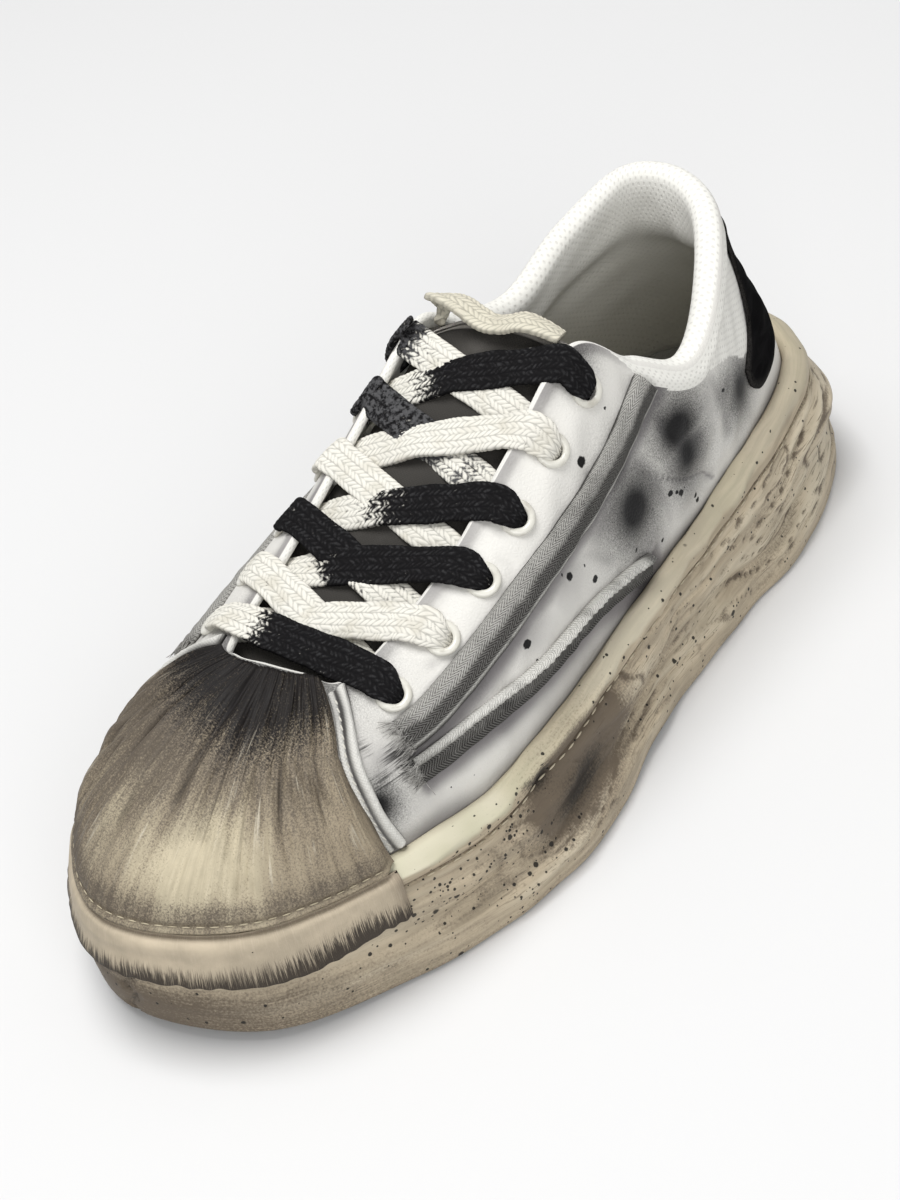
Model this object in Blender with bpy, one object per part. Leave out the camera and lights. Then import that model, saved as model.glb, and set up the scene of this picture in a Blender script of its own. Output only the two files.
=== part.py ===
"""A worn low-top sneaker for the left foot, built as the separate pieces that a maker would join.

Frame: +Z up, the floor at z = 0, the toe towards -Y and the wearer's left (the lateral side) towards +X.
"Along" (s) is the distance forward from the back of the upper; tables are in millimetres.
"""

import math

import bmesh
import bpy
import numpy as np

MM = 0.001

# ---------------------------------------------------------------- driving sizes
HEEL_BACK_Y = 130.8 * MM  # y of the back of the upper, where s = 0
MIDDLE_X = -2.1 * MM  # x of the tables' middle line
GAP = 0.3 * MM  # clearance between pieces that touch
PAIRS = 30  # places along each side of the foot
WALL = 2.4 * MM  # upper's wall: canvas, backing and lining
COLLAR_PAD = 5.5 * MM  # extra thickness of the padded collar
OUTSOLE_THICK = 3.2 * MM
TREAD_DEPTH = 1.6 * MM
TREAD_GROOVE = 3.0 * MM
TREAD_SLOPE = 0.4 * MM  # how far a groove's wall leans
ARCH_LIFT = 1.6 * MM  # the outsole's rise at the waist
ARCH = (100 * MM, 148 * MM)  # from and to, along
TOE_SPRING = 9.0 * MM  # how far the sole lifts at its front end
SPRING = (196 * MM, 286 * MM)  # from and to, along
HEEL_STACK = 26.5  # height of the footbed at the heel, in mm
HEEL_DROP = 6.5  # how much lower it is at the ball, in mm
INSOLE_THICK = 4.0 * MM
INSOLE_DISH = 1.2 * MM  # how far the insole's edge turns up
INSOLE_TOE_GAP = 3.5 * MM  # more room between insole and wall at the toe
CAP_THICK = 2.2 * MM
CAP_GAP = 0.4 * MM  # between the toe's tight curve and the cap
CAP_FLUTES = 11
CAP_INSIDE_RIM = 0.6 * MM  # how far its lower edge stands inside the rim's outer edge
CAP_FLARE_TOP = 0.62  # share of the cap's height over which it swells out to that edge
CAP_ABOVE_RIM = 1.0 * MM  # from the rim up to the toe cap's lower edge
FLUTE_DEPTH = 1.7 * MM
BUMPER_SPAN = (0.438, 0.577)  # from and to, round the foot
TONGUE_THICK = 3.5 * MM
TONGUE_CLEAR = 1.0 * MM  # between the upper's lining and the tongue
TONGUE_HANDLE = 0.33  # how far the tongue's arch holds the eyestays' direction, as a share of its width
TONGUE_LEVEL = 1.6  # how much the arch leans towards the middle, against the eyestays' own direction
TONGUE_TUCK = (13 * MM, 8 * MM, 3.5 * MM)  # how far under the eyestays its three edge lines run
TONGUE_BEYOND = 6 * MM  # its top end, past the eyestays
TONGUE_NOSE = np.array([0.0, 11.0, 5.0]) * MM  # how far back and up its front end lies from where it is sewn in
TONGUE_NOSE_NARROW = np.array([0.72, 1.0, 1.0])
EYELET_INSET = 11 * MM  # from the throat's edge to an eyelet's middle
EYELET_OUTER = 4.8 * MM
EYELET_BORE = 2.7 * MM
EYELET_THICK = 1.1 * MM
EYELET_HOLE = 3.0 * MM  # radius of the hole in the upper
EYELET_SIDES = 8
LACE_WIDTH = 9.0 * MM
LACE_THICK = 2.2 * MM
LACE_LIFT = 0.7 * MM  # clearance between a lace and what it lies over
LACE_EDGE_LIFT = 3.0 * MM  # more clearance where a lace bends over the throat's edge
LACE_END_INSET = 7.0 * MM  # from the throat's edge to where a crossing stops beside it
TAPE_WIDTH = 9.0 * MM
ARCH_TAPE_WIDTH = 7.0 * MM
TAPE_THICK = 1.0 * MM
PIPING_WIDTH = 5.5 * MM
PIPING_THICK = 2.4 * MM
PATCH_THICK = 1.2 * MM
PATCH_GAP = 0.5 * MM  # between the heel's tight curve and what lies over it
LOOP_RADIUS = 2.5 * MM  # the lace's free loop above the top eyelets
LOOP_POINTS = 20

# The last: a row for each section round the foot, from the back of the heel along the lateral side.
# fx, fs: where the section meets the footbed. tx, ts, tz: its top line, which is the collar, the throat's
# edge, or the front of the throat. up, out and drop, over: the two handles that bend the section.
LAST_COLUMNS = ("u", "fx", "fs", "tx", "ts", "tz", "up", "out", "drop", "over")
LAST_ROWS = (
    (0.000, 0.0, 1.0, 0.0, 19.0, 105.0, 32.0, 3.0, 24.0, -5.0),  # back of the heel
    (0.055, 22.0, 11.0, 17.0, 25.0, 102.0, 30.0, 4.0, 22.0, -2.0),  # heel turn, lateral
    (0.110, 31.5, 42.0, 28.5, 42.0, 92.0, 24.0, 4.0, 20.0, 1.0),  # heel side
    (0.180, 35.0, 78.0, 34.0, 64.0, 81.5, 20.0, 4.0, 16.0, 3.0),  # ankle
    (0.245, 39.0, 111.0, 29.5, 81.0, 92.0, 20.0, 4.0, 18.0, 6.0),  # waist
    (0.300, 43.0, 141.0, 21.0, 97.0, 107.0, 24.0, 3.0, 16.0, 14.0),  # top of the eyestay
    (0.350, 46.0, 170.0, 21.0, 128.0, 93.0, 24.0, 2.0, 10.0, 18.0),  # quarter
    (0.395, 45.0, 190.0, 20.0, 158.5, 77.5, 22.0, 1.0, 6.0, 20.0),  # ball
    (0.440, 38.5, 217.0, 15.0, 193.0, 67.5, 22.0, 1.0, 5.0, 22.0),  # little toe
    (0.475, 21.0, 250.0, 6.0, 199.0, 70.5, 24.0, 1.0, 6.0, 30.0),  # toe turn, lateral
    (0.505, -6.0, 263.0, -4.5, 202.0, 71.5, 26.0, 1.0, 6.0, 36.0),  # tip of the toe
    (0.540, -31.2, 250.4, -14.5, 202.5, 70.5, 24.0, 1.0, 6.0, 30.0),  # toe turn, medial
    (0.580, -42.5, 222.0, -22.0, 196.0, 68.0, 24.0, 1.0, 5.0, 20.0),  # big toe
    (0.620, -45.0, 192.0, -26.0, 165.0, 75.5, 24.0, 1.0, 6.0, 16.0),  # ball, medial
    (0.665, -40.0, 164.0, -28.0, 133.0, 88.5, 24.0, 2.0, 10.0, 12.0),  # quarter
    (0.710, -34.5, 138.0, -29.5, 103.0, 101.5, 24.0, 3.0, 16.0, 7.0),  # top of the eyestay
    (0.760, -31.0, 110.0, -31.5, 86.0, 91.0, 20.0, 4.0, 18.0, 4.0),  # waist
    (0.825, -31.0, 76.0, -31.0, 65.0, 83.5, 20.0, 4.0, 16.0, 3.0),  # ankle
    (0.890, -31.0, 41.0, -27.5, 42.0, 93.0, 24.0, 4.0, 20.0, 1.0),  # heel side
    (0.945, -22.0, 11.0, -17.5, 24.0, 102.5, 30.0, 4.0, 22.0, -2.0),  # heel turn
)

# The sole's side: a row for each place round the foot. Each pair is a height and how far that level stands
# out from the footbed's edge: the rolled rim, the crease under it, the belly, the hollow and the base lip.
SOLE_COLUMNS = ("u", "rim_z", "rim", "crease_z", "crease", "belly_z", "belly", "dip_z", "dip", "lip_z", "lip")
SOLE_ROWS = (
    (0.000, 43.0, 8.0, 35.0, 8.0, 27.0, 13.0, 17.0, 11.0, 8.5, 14.0),
    (0.060, 43.5, 7.5, 35.0, 7.5, 27.0, 13.0, 17.0, 11.0, 8.0, 14.0),
    (0.120, 42.0, 7.0, 33.5, 7.5, 26.0, 12.0, 15.5, 11.0, 8.0, 14.0),
    (0.180, 39.0, 7.5, 32.0, 7.0, 25.0, 10.0, 14.5, 9.0, 8.0, 12.0),
    (0.245, 37.5, 8.0, 31.0, 7.0, 23.0, 9.0, 14.0, 7.5, 8.0, 11.0),
    (0.300, 36.5, 7.0, 30.0, 6.5, 22.0, 10.0, 14.0, 9.0, 8.0, 14.0),
    (0.350, 35.0, 6.5, 28.0, 6.0, 21.0, 11.0, 13.0, 10.0, 7.0, 15.0),
    (0.395, 35.0, 6.0, 28.0, 6.0, 21.0, 10.0, 13.0, 9.0, 7.0, 13.0),
    (0.440, 36.5, 6.5, 30.5, 6.0, 23.0, 9.0, 16.5, 7.5, 9.0, 10.0),
    (0.505, 39.0, 6.5, 34.0, 6.0, 27.0, 9.0, 21.0, 7.0, 13.0, 9.0),
    (0.545, 37.6, 4.2, 32.0, 4.2, 25.0, 7.6, 18.6, 6.6, 11.0, 8.6),
    (0.580, 36.5, 5.0, 30.0, 5.5, 23.0, 8.0, 16.0, 7.5, 9.0, 9.0),
    (0.620, 35.0, 7.0, 28.0, 7.0, 21.0, 10.0, 13.0, 9.0, 7.0, 12.0),
    (0.690, 36.0, 7.5, 29.0, 7.5, 21.0, 10.0, 13.0, 8.0, 7.0, 11.0),
    (0.760, 38.0, 7.5, 31.0, 7.5, 23.0, 9.0, 14.0, 7.0, 8.0, 9.0),
    (0.830, 39.0, 7.5, 32.0, 7.5, 25.0, 10.0, 15.0, 8.0, 8.0, 11.0),
    (0.890, 41.5, 7.5, 33.5, 8.0, 26.0, 12.0, 16.0, 10.0, 8.0, 14.0),
    (0.945, 43.5, 8.0, 35.0, 8.0, 27.0, 13.0, 17.0, 11.0, 8.0, 14.0),
)

# The toe band, from its top edge down: two levels of the side and the share between them, then in mm how much
# higher each row runs, how far it clears the wall and how thick the band is.
BUMPER_ROWS = (
    ("rim", "crease", 0.00, 0.5, -1.2, 0.7),
    ("rim", "crease", 0.15, 0.0, 0.5, 1.2),
    ("rim", "crease", 0.60, 0.0, 1.3, 1.5),
    ("crease", "belly", 0.10, 0.0, 1.1, 2.0),
    ("crease", "belly", 0.55, 0.0, 0.8, 1.7),
    ("crease", "belly", 1.05, 0.0, 0.75, 1.3),
)

# The wall's melted waves: for each level, how large they are in mm and where round the foot they start.
MELT = {"rim_z": (0.35, 1.0), "rim": (0.30, 2.6), "crease_z": (0.35, 0.6), "belly": (0.55, 4.0),
        "belly_z": (0.6, 3.1), "dip": (0.45, 0.2), "dip_z": (0.5, 5.0), "lip": (0.35, 1.9)}

# Overlays, as places on the upper: u round the foot and v up the section, on the lateral side.
SIDE_TAPE = ((0.247, 0.92), (0.280, 0.69), (0.305, 0.61), (0.330, 0.61), (0.355, 0.63), (0.386, 0.645),
             (0.405, 0.645), (0.418, 0.645), (0.428, 0.655))  # from the collar to the toe cap
# From the toe cap back to the waist, where it bends down.
ARCH_TAPE = ((0.425, 0.494), (0.413, 0.474), (0.387, 0.435), (0.358, 0.382), (0.332, 0.348), (0.306, 0.324),
             (0.280, 0.316), (0.258, 0.312), (0.240, 0.294))
CAP_EDGE = ((0.19, 0.436), (0.25, 0.440), (0.49, 0.450), (0.717, 0.460), (0.94, 0.462))  # v and u
CAP_TOP = 0.93
MEDIAL_TAPES = 0.94  # the medial tapes run lower: their v, as a share of the lateral ones
PIPING_FROM_CAP = 0.7 * MM  # between the cap's edge and the piping

# The heel patch, a row for each place round the back: u and v of its lower edge, then of its upper edge.
# u is below 0 on the medial side.
PATCH = ((-0.155, 0.80, -0.152, 0.945), (-0.148, 0.66, -0.135, 0.945), (-0.130, 0.58, -0.110, 0.945),
         (-0.085, 0.62, -0.080, 0.945), (-0.045, 0.52, -0.045, 0.945), (0.0, 0.50, 0.0, 0.945),
         (0.034, 0.475, 0.030, 0.945), (0.066, 0.32, 0.052, 0.945), (0.090, 0.31, 0.062, 0.89),
         (0.103, 0.40, 0.070, 0.73), (0.106, 0.50, 0.080, 0.61))
STRIP_HALF = 0.026  # half the heel strip's width, in u
STRIP_TOP = 0.455  # v of its top end

# Eyelets from the toe end up: u on the lateral side and on the medial side.
EYELETS = ((0.427, 0.592), (0.406, 0.611), (0.383, 0.632), (0.359, 0.657), (0.332, 0.682), (0.303, 0.707))

# The free loop's route, as x, distance along and height: out from under the lateral eyestay, over the tongue
# and into the medial side.
LOOP_ROUTE = ((16.5, 95.0, 107.8), (11.5, 96.0, 109.9), (6.0, 97.2, 110.9), (1.0, 98.3, 109.2),
              (-4.0, 98.9, 108.1), (-8.5, 98.8, 109.0), (-13.0, 98.5, 110.6), (-18.0, 98.2, 110.9),
              (-22.3, 97.4, 108.9), (-24.0, 96.3, 105.2), (-23.8, 95.0, 101.5))

# Tread zones along the sole: from, to and the spacing of the grooves. Flat pads lie between them.
TREAD = ((-4.0, 24.0, 7.0), (60.0, 96.0, 7.0), (152.0, 166.0, 7.0), (197.0, 262.0, 7.0))

# Pairs of places that face each other across the foot, for mirroring an overlay.
LATERAL_U = (0.0, 0.055, 0.110, 0.180, 0.245, 0.300, 0.350, 0.395, 0.440, 0.475, 0.505)
MEDIAL_U = (1.0, 0.945, 0.890, 0.825, 0.760, 0.710, 0.665, 0.620, 0.580, 0.540, 0.505)

UP = np.array([0.0, 0.0, 1.0])


def columns(names, rows):
    """The table as a dictionary of one array for each named column."""
    return dict(zip(names, np.array(rows, float).T))


LAST = columns(LAST_COLUMNS, LAST_ROWS)
SOLE = columns(SOLE_COLUMNS, SOLE_ROWS)


def around(keys, values, u):
    """Smooth closed curve through values at the keys, read at u, where one turn is from 0 to 1."""
    keys = np.concatenate([keys[-3:] - 1, keys, keys[:3] + 1])
    values = np.concatenate([values[-3:], values, values[:3]])
    steps = np.diff(keys)
    rise = np.diff(values) / steps
    slope = np.zeros_like(values)
    slope[1:-1] = (rise[:-1] * steps[1:] + rise[1:] * steps[:-1]) / (steps[:-1] + steps[1:])
    u = np.mod(u, 1.0)
    i = np.clip(np.searchsorted(keys, u, side="right") - 1, 0, len(steps) - 1)
    w = steps[i]
    t = (u - keys[i]) / w
    a = values[i] * (1 + 2 * t) * (1 - t) ** 2 + values[i + 1] * t * t * (3 - 2 * t)
    return a + w * (slope[i] * t * (1 - t) ** 2 - slope[i + 1] * t * t * (1 - t))


def last_at(name, u):
    """A column of the last's table at u, in metres."""
    return around(LAST["u"], LAST[name], u) * MM


def sole_at(name, u):
    """A column of the sole's table at u, in metres, with the melted waves of its level."""
    size, phase = MELT.get(name, (0.0, 0.0))
    turn = 2 * math.pi * u
    wave = np.sin(9 * turn + phase) + 0.7 * np.sin(14 * turn + 2.3 * phase) + 0.5 * np.sin(23 * turn + 4.1 * phase)
    return (around(SOLE["u"], SOLE[name], u) + size * wave) * MM


def smooth(x):
    """0 below 0, 1 above 1, and an S between."""
    x = np.clip(x, 0.0, 1.0)
    return x * x * (3 - 2 * x)


def floor_line(s):
    """Height of the sole's underside at s along: flat, with a low arch, then the toe spring."""
    ahead = np.clip((s - SPRING[0]) / (SPRING[1] - SPRING[0]), 0, 1.2)
    across_arch = np.clip((s - ARCH[0]) / (ARCH[1] - ARCH[0]), 0, 1)
    return TOE_SPRING * ahead**2 + ARCH_LIFT * np.sin(math.pi * across_arch) ** 2


def footbed(s):
    """Height of the footbed at s along: high at the heel, low at the ball, up again at the toe."""
    ahead = np.clip((s - SPRING[0]) / (SPRING[1] - SPRING[0]), 0, 1.2)
    return (HEEL_STACK - HEEL_DROP * smooth((s / MM - 55) / 120)) * MM + 0.9 * TOE_SPRING * ahead**2


def feather(u):
    """Edge of the footbed at u."""
    s = last_at("fs", u)
    return np.stack([MIDDLE_X + last_at("fx", u), HEEL_BACK_Y - s, footbed(s)], -1)


def outward(u):
    """Level unit normal of the footbed's edge at u."""
    step = 2e-3
    d = feather(u + step) - feather(u - step)
    n = np.stack([-d[..., 1], d[..., 0], np.zeros_like(d[..., 0])], -1)
    return n / np.linalg.norm(n, axis=-1, keepdims=True)


def top_line(u):
    """Collar, throat edge or front of the throat at u."""
    return np.stack([MIDDLE_X + last_at("tx", u), HEEL_BACK_Y - last_at("ts", u), last_at("tz", u)], -1)


def upper_at(u, v):
    """Outer face of the upper: v runs from 0 at the footbed to 1 at the top line."""
    u, v = np.broadcast_arrays(np.asarray(u, float), np.asarray(v, float))
    foot, top, n = feather(u), top_line(u), outward(u)
    low = foot + last_at("up", u)[..., None] * UP + last_at("out", u)[..., None] * n
    high = top - last_at("drop", u)[..., None] * UP + last_at("over", u)[..., None] * n
    t = v[..., None]
    return foot * (1 - t) ** 3 + 3 * low * t * (1 - t) ** 2 + 3 * high * t * t * (1 - t) + top * t**3


def upper_normal(u, v):
    """Unit normal of the upper's outer face, pointing out."""
    e = 2e-3
    du = upper_at(u + e, v) - upper_at(u - e, v)
    dv = upper_at(u, v + e) - upper_at(u, v - e)
    n = np.cross(dv, du)
    return n / np.linalg.norm(n, axis=-1, keepdims=True)


def unit(x):
    """Vectors made one long."""
    return x / np.linalg.norm(x, axis=-1, keepdims=True)


def toe_u():
    """u of the foremost point of the footbed."""
    dense = np.linspace(0.45, 0.55, 2001)
    return dense[np.argmax(last_at("fs", dense))]


def paired():
    """Places round the foot in pairs, each pair at one distance along: lateral and medial, heel to toe."""
    tip = toe_u()
    lateral = np.linspace(0, tip, PAIRS + 1)
    dense = np.linspace(tip, 1, 4001)
    medial = np.interp(-last_at("fs", lateral), -last_at("fs", dense), dense)
    medial[0], medial[-1] = 1.0, tip
    return lateral, medial


def ring_of(lateral, medial):
    """One closed turn from the pairs: up the lateral side and back down the medial side."""
    return np.concatenate([lateral, medial[-2:0:-1]])


def mirrored(u):
    """The place on the medial side that faces u."""
    return np.interp(u, LATERAL_U, MEDIAL_U)


def v_at_height(u, z):
    """v at which the upper's section at u reaches the height z."""
    v = np.linspace(0, 0.7, 141)
    heights = upper_at(np.asarray(u)[:, None], v[None, :])[..., 2]
    return np.array([np.interp(target, row, v) for target, row in zip(np.broadcast_to(z, np.shape(u)), heights)])


def below_top(u, distance):
    """v at a distance down the section from the top line at u."""
    v = np.linspace(1, 0.3, 141)
    points = upper_at(np.full_like(v, u), v)
    run = np.concatenate([[0], np.cumsum(np.linalg.norm(np.diff(points, axis=0), axis=1))])
    return float(np.interp(distance, run, v))


def rim_v(u):
    """v at which the cup's rim meets the upper."""
    return v_at_height(u, sole_at("rim_z", u) - 0.8 * MM)


def pad_share(u):
    """1 along the padded collar, 0 along the throat."""
    from_heel = np.minimum(np.mod(u, 1.0), 1 - np.mod(u, 1.0))
    return 1 - smooth((from_heel - 0.232) / 0.05)


def wall_at(u, v):
    """Thickness of the upper."""
    return WALL + COLLAR_PAD * pad_share(u) * smooth((v - 0.60) / 0.25)


# ---------------------------------------------------------------- making meshes
def material(name, colour, roughness, metallic=0.0):
    """A plain Principled material."""
    mat = bpy.data.materials.new(name)
    mat.use_nodes = True
    shader = mat.node_tree.nodes["Principled BSDF"]
    shader.inputs["Base Color"].default_value = (*colour, 1.0)
    shader.inputs["Roughness"].default_value = roughness
    shader.inputs["Metallic"].default_value = metallic
    return mat


def add_object(name, points, faces, mat):
    """A mesh object with its faces turned outwards."""
    mesh = bpy.data.meshes.new(name)
    mesh.from_pydata([tuple(map(float, p)) for p in points], [], [tuple(map(int, f)) for f in faces])
    bm = bmesh.new()
    bm.from_mesh(mesh)
    bmesh.ops.recalc_face_normals(bm, faces=bm.faces)
    if bm.calc_volume(signed=True) < 0:
        bmesh.ops.reverse_faces(bm, faces=bm.faces)
    bm.to_mesh(mesh)
    bm.free()
    mesh.shade_smooth()
    mesh.set_sharp_from_angle(angle=math.radians(40))
    obj = bpy.data.objects.new(name, mesh)
    obj.data.materials.append(mat)
    bpy.context.scene.collection.objects.link(obj)
    return obj


def weave(rows, closed_rows, closed_columns):
    """Faces between neighbouring rows of points; each way round may be closed."""
    height, width = rows.shape[:2]
    faces = []
    for i in range(height if closed_rows else height - 1):
        for j in range(width if closed_columns else width - 1):
            k, m = (i + 1) % height, (j + 1) % width
            faces.append((i * width + j, i * width + m, k * width + m, k * width + j))
    return faces


def band(name, rows, mat):
    """A solid whose rows of points each run right round the foot, the last row joining the first."""
    return add_object(name, rows.reshape(-1, 3), weave(rows, True, True), mat)


def slab(name, inner, outer, mat):
    """A solid between two grids of points of the same shape."""
    rows = np.concatenate([outer, inner[:, ::-1]], axis=1)
    faces = weave(rows, False, True)
    width = rows.shape[1]
    half = width // 2
    last = (rows.shape[0] - 1) * width
    for j in range(half - 1):
        faces.append((j, j + 1, width - 2 - j, width - 1 - j))
        faces.append((last + width - 1 - j, last + width - 2 - j, last + j + 1, last + j))
    return add_object(name, rows.reshape(-1, 3), faces, mat)


def bar(name, rings, mat):
    """A solid through a list of equal rings, closed by a face at each end."""
    faces = weave(rings, False, True)
    width = rings.shape[1]
    faces.append(tuple(range(width)))
    faces.append(tuple(range((rings.shape[0] - 1) * width, rings.shape[0] * width))[::-1])
    return add_object(name, rings.reshape(-1, 3), faces, mat)


def through(points, count):
    """A smooth line through a few points, read at evenly spread places (Catmull-Rom)."""
    p = np.array(points, float)
    p = np.concatenate([2 * p[:1] - p[1:2], p, 2 * p[-1:] - p[-2:-1]])
    at = np.linspace(0, len(p) - 3, count)
    i = np.minimum(at.astype(int), len(p) - 4)
    t = (at - i)[:, None]
    a, b, c, d = p[i], p[i + 1], p[i + 2], p[i + 3]
    return 0.5 * (2 * b + (c - a) * t + (2 * a - 5 * b + 4 * c - d) * t**2 + (3 * b - a - 3 * c + d) * t**3)


# ---------------------------------------------------------------- upper, sole and insole
def build_upper(mat):
    """The hollow body: its outer face, the round edge of collar and throat, its lining and its foot edge."""
    u = ring_of(*paired())
    rim = rim_v(u)
    shares = np.linspace(0, 1, 10)[1:]
    outer_v = [rim * k / 3 for k in range(4)] + [rim + (1 - rim) * share for share in shares]
    rows = [upper_at(u, v) for v in outer_v]
    top, normal = upper_at(u, 1.0), upper_normal(u, 1.0)
    along = unit(top - upper_at(u, 0.99))
    radius = wall_at(u, 1.0)[:, None] / 2
    for turn in np.radians([45, 90, 135, 180]):
        rows.append(top - normal * radius + radius * (math.cos(turn) * normal + math.sin(turn) * along))
    for v in (0.90, 0.76, 0.50, 0.22, 0.0):
        rows.append(upper_at(u, v) - upper_normal(u, v) * wall_at(u, v)[:, None])
    rows[-1][:, 2] = rows[0][:, 2]
    return band("upper", np.array(rows), mat)


def outline_at(outs):
    """The outline that stands outs beyond the footbed's edge, as x at each distance along, for each side.

    outs is a function of u. The result is (first, last, x), where x(s) gives the lateral and the medial x."""
    u = np.linspace(0, 1, 2401)
    ring = feather(u) + outward(u) * outs(u)[:, None]
    s = HEEL_BACK_Y - ring[:, 1]
    front, back = np.argmax(s), np.argmin(np.where(u < 0.5, s, 1))
    rear = np.argmin(np.where(u > 0.5, s, 1))
    first, last = max(s[back], s[rear]), s[front]
    lateral = slice(back, front + 1)
    medial = slice(front, rear + 1)

    def x(at):
        return (np.interp(at, s[lateral], ring[lateral, 0]), np.interp(-at, -s[medial], ring[medial, 0]))

    return first, last, x


def build_midsole(mat):
    """The cup: its floor, the inside of its wall, the rolled rim and the side down to the base lip."""
    lateral, medial = paired()
    u = ring_of(lateral, medial)
    level = {name: sole_at(name, u) for name in SOLE_COLUMNS[1:]}
    foot, out = feather(u), outward(u)

    def side(z, distance):
        return foot * [1, 1, 0] + out * distance[:, None] + z[:, None] * UP

    def between(first, second, share):
        return tuple(level[a] * (1 - share) + level[b] * share for a, b in zip(first, second))

    lip, dip = ("lip_z", "lip"), ("dip_z", "dip")
    belly, crease, rim = ("belly_z", "belly"), ("crease_z", "crease"), ("rim_z", "rim")
    rows = [foot - GAP * UP + out * GAP]
    rim_share = rim_v(u)
    for k in (1, 2, 3):
        v = rim_share * k / 3
        rows.append(upper_at(u, v) + upper_normal(u, v) * GAP)
    rows.append(side(level["rim_z"] + 0.3 * MM, level["rim"] - 3.0 * MM))
    rows.append(side(level["rim_z"] - 0.9 * MM, level["rim"] - 0.7 * MM))
    middle = between(rim, crease, 0.4)
    rows.append(side(middle[0], middle[1] + 0.7 * MM))
    rows.append(side(level["crease_z"] + 1.2 * MM, level["crease"] + 0.3 * MM))
    rows.append(side(level["crease_z"], level["crease"] - 0.8 * MM))
    rows.append(side(level["crease_z"] - 1.2 * MM, level["crease"] + 0.4 * MM))
    rows.append(side(*between(crease, belly, 0.6)))
    rows.append(side(level["belly_z"], level["belly"]))
    rows.append(side(*between(belly, dip, 0.5)))
    rows.append(side(level["dip_z"], level["dip"]))
    rows.append(side(*between(dip, lip, 0.6)))
    rows.append(side(level["lip_z"], level["lip"]))
    first, last, x = outline_at(lambda u: sole_at("lip", u) - 0.8 * MM)
    s = last_at("fs", lateral)
    station = first + (last - first) * (s - s[0]) / (s[-1] - s[0])
    lateral_x, medial_x = x(station)
    z = floor_line(station) + OUTSOLE_THICK + GAP
    on_lateral = np.stack([lateral_x, HEEL_BACK_Y - station, z], -1)
    on_medial = np.stack([medial_x, HEEL_BACK_Y - station, z], -1)
    rows.append(np.concatenate([on_lateral, on_medial[-2:0:-1]]))
    rows = np.array(rows)
    faces = weave(rows, False, True)
    count = len(u)
    for start in (0, (len(rows) - 1) * count):
        for i in range(PAIRS):
            ring = [start + i, start + i + 1, start + (count - i - 1) % count, start + (count - i) % count]
            faces.append(tuple(dict.fromkeys(ring)))
    return add_object("midsole", rows.reshape(-1, 3), faces, mat)


def build_outsole(mat):
    """The tread plate: cross bars and flat pads under the heel and the forefoot."""
    first, last, x = outline_at(lambda u: sole_at("lip", u) - 1.0 * MM)
    ends = np.array([0.15, 0.9, 2.4, 4.8, 8.0, 12.0]) * MM
    plain = np.concatenate([first + ends, last - ends, np.arange(24, 262, 9.0) * MM])
    stations = [(s, 0.0) for s in plain]
    for begin, end, pitch in np.array(TREAD) * MM:
        stations = [(s, depth) for s, depth in stations if depth or not begin < s < end]
        for start in np.arange(begin, end, pitch):
            stations.append((start, 0.0))
            stations.append((start + TREAD_SLOPE, TREAD_DEPTH))
            stations.append((start + TREAD_GROOVE - TREAD_SLOPE, TREAD_DEPTH))
            stations.append((start + TREAD_GROOVE, 0.0))
    stations = np.array(sorted(stations))
    s, depth = stations.T
    keep = np.concatenate([[True], np.diff(s) > 0.1 * MM])
    s, depth = s[keep], depth[keep]
    lateral_x, medial_x = x(s)
    low, high = floor_line(s) + depth, floor_line(s) + OUTSOLE_THICK
    y = HEEL_BACK_Y - s
    corners = [(lateral_x, low), (lateral_x, high), (medial_x, high), (medial_x, low)]
    rings = np.stack([np.stack([side, y, z], -1) for side, z in corners], axis=1)
    return bar("outsole", rings, mat)


def build_insole(mat):
    """The footbed's cover: a shallow dish inside the upper."""
    def inset(u):
        return -(WALL + 0.8 * MM + INSOLE_TOE_GAP * smooth((last_at("fs", u) - 215 * MM) / (35 * MM)))

    first, last, x = outline_at(inset)
    ends = np.array([0.3, 1.5, 4.0, 8.0, 13.0]) * MM
    s = np.sort(np.concatenate([first + ends, last - ends, np.linspace(first + 20 * MM, last - 20 * MM, 18)]))
    lateral_x, medial_x = x(s)
    shares = np.array([0.0, 0.14, 0.5, 0.86, 1.0])
    y = HEEL_BACK_Y - s
    floor = footbed(s) + GAP
    top = [(share, INSOLE_THICK + INSOLE_DISH * abs(2 * share - 1) ** 3) for share in shares]
    section = [(0.0, 0.0)] + top + [(1.0, 0.0)]
    width = medial_x - lateral_x
    rings = [np.stack([lateral_x + width * share, y, floor + z], -1) for share, z in section]
    return bar("insole", np.stack(rings, axis=1), mat)


def build_toe_bumper(mat):
    """The band round the front of the sole: over the rim and the crease, down to the belly."""
    u = np.linspace(*BUMPER_SPAN, 21)
    foot, out = feather(u), outward(u)
    level = {name: sole_at(name, u) for name in SOLE_COLUMNS[1:]}
    taper = np.minimum(1, 12 * np.minimum(u - u[0], u[-1] - u) / (u[-1] - u[0]) + 0.45)
    inner, outer = [], []
    for upper, lower, share, rise, clear, thick in BUMPER_ROWS:
        z = level[upper + "_z"] * (1 - share) + level[lower + "_z"] * share + rise * MM
        distance = level[upper] * (1 - share) + level[lower] * share + clear * MM
        base = foot * [1, 1, 0] + z[:, None] * UP
        inner.append(base + out * distance[:, None])
        outer.append(base + out * (distance + thick * MM * taper)[:, None])
    return slab("toe_bumper", np.stack(inner, 1), np.stack(outer, 1), mat)


# ---------------------------------------------------------------- overlays on the upper
def cap_edge(v, lateral):
    """u of the toe cap's edge at v."""
    keys, values = np.array(CAP_EDGE).T
    u = np.interp(v, keys, values)
    return u if lateral else mirrored(u)


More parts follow.
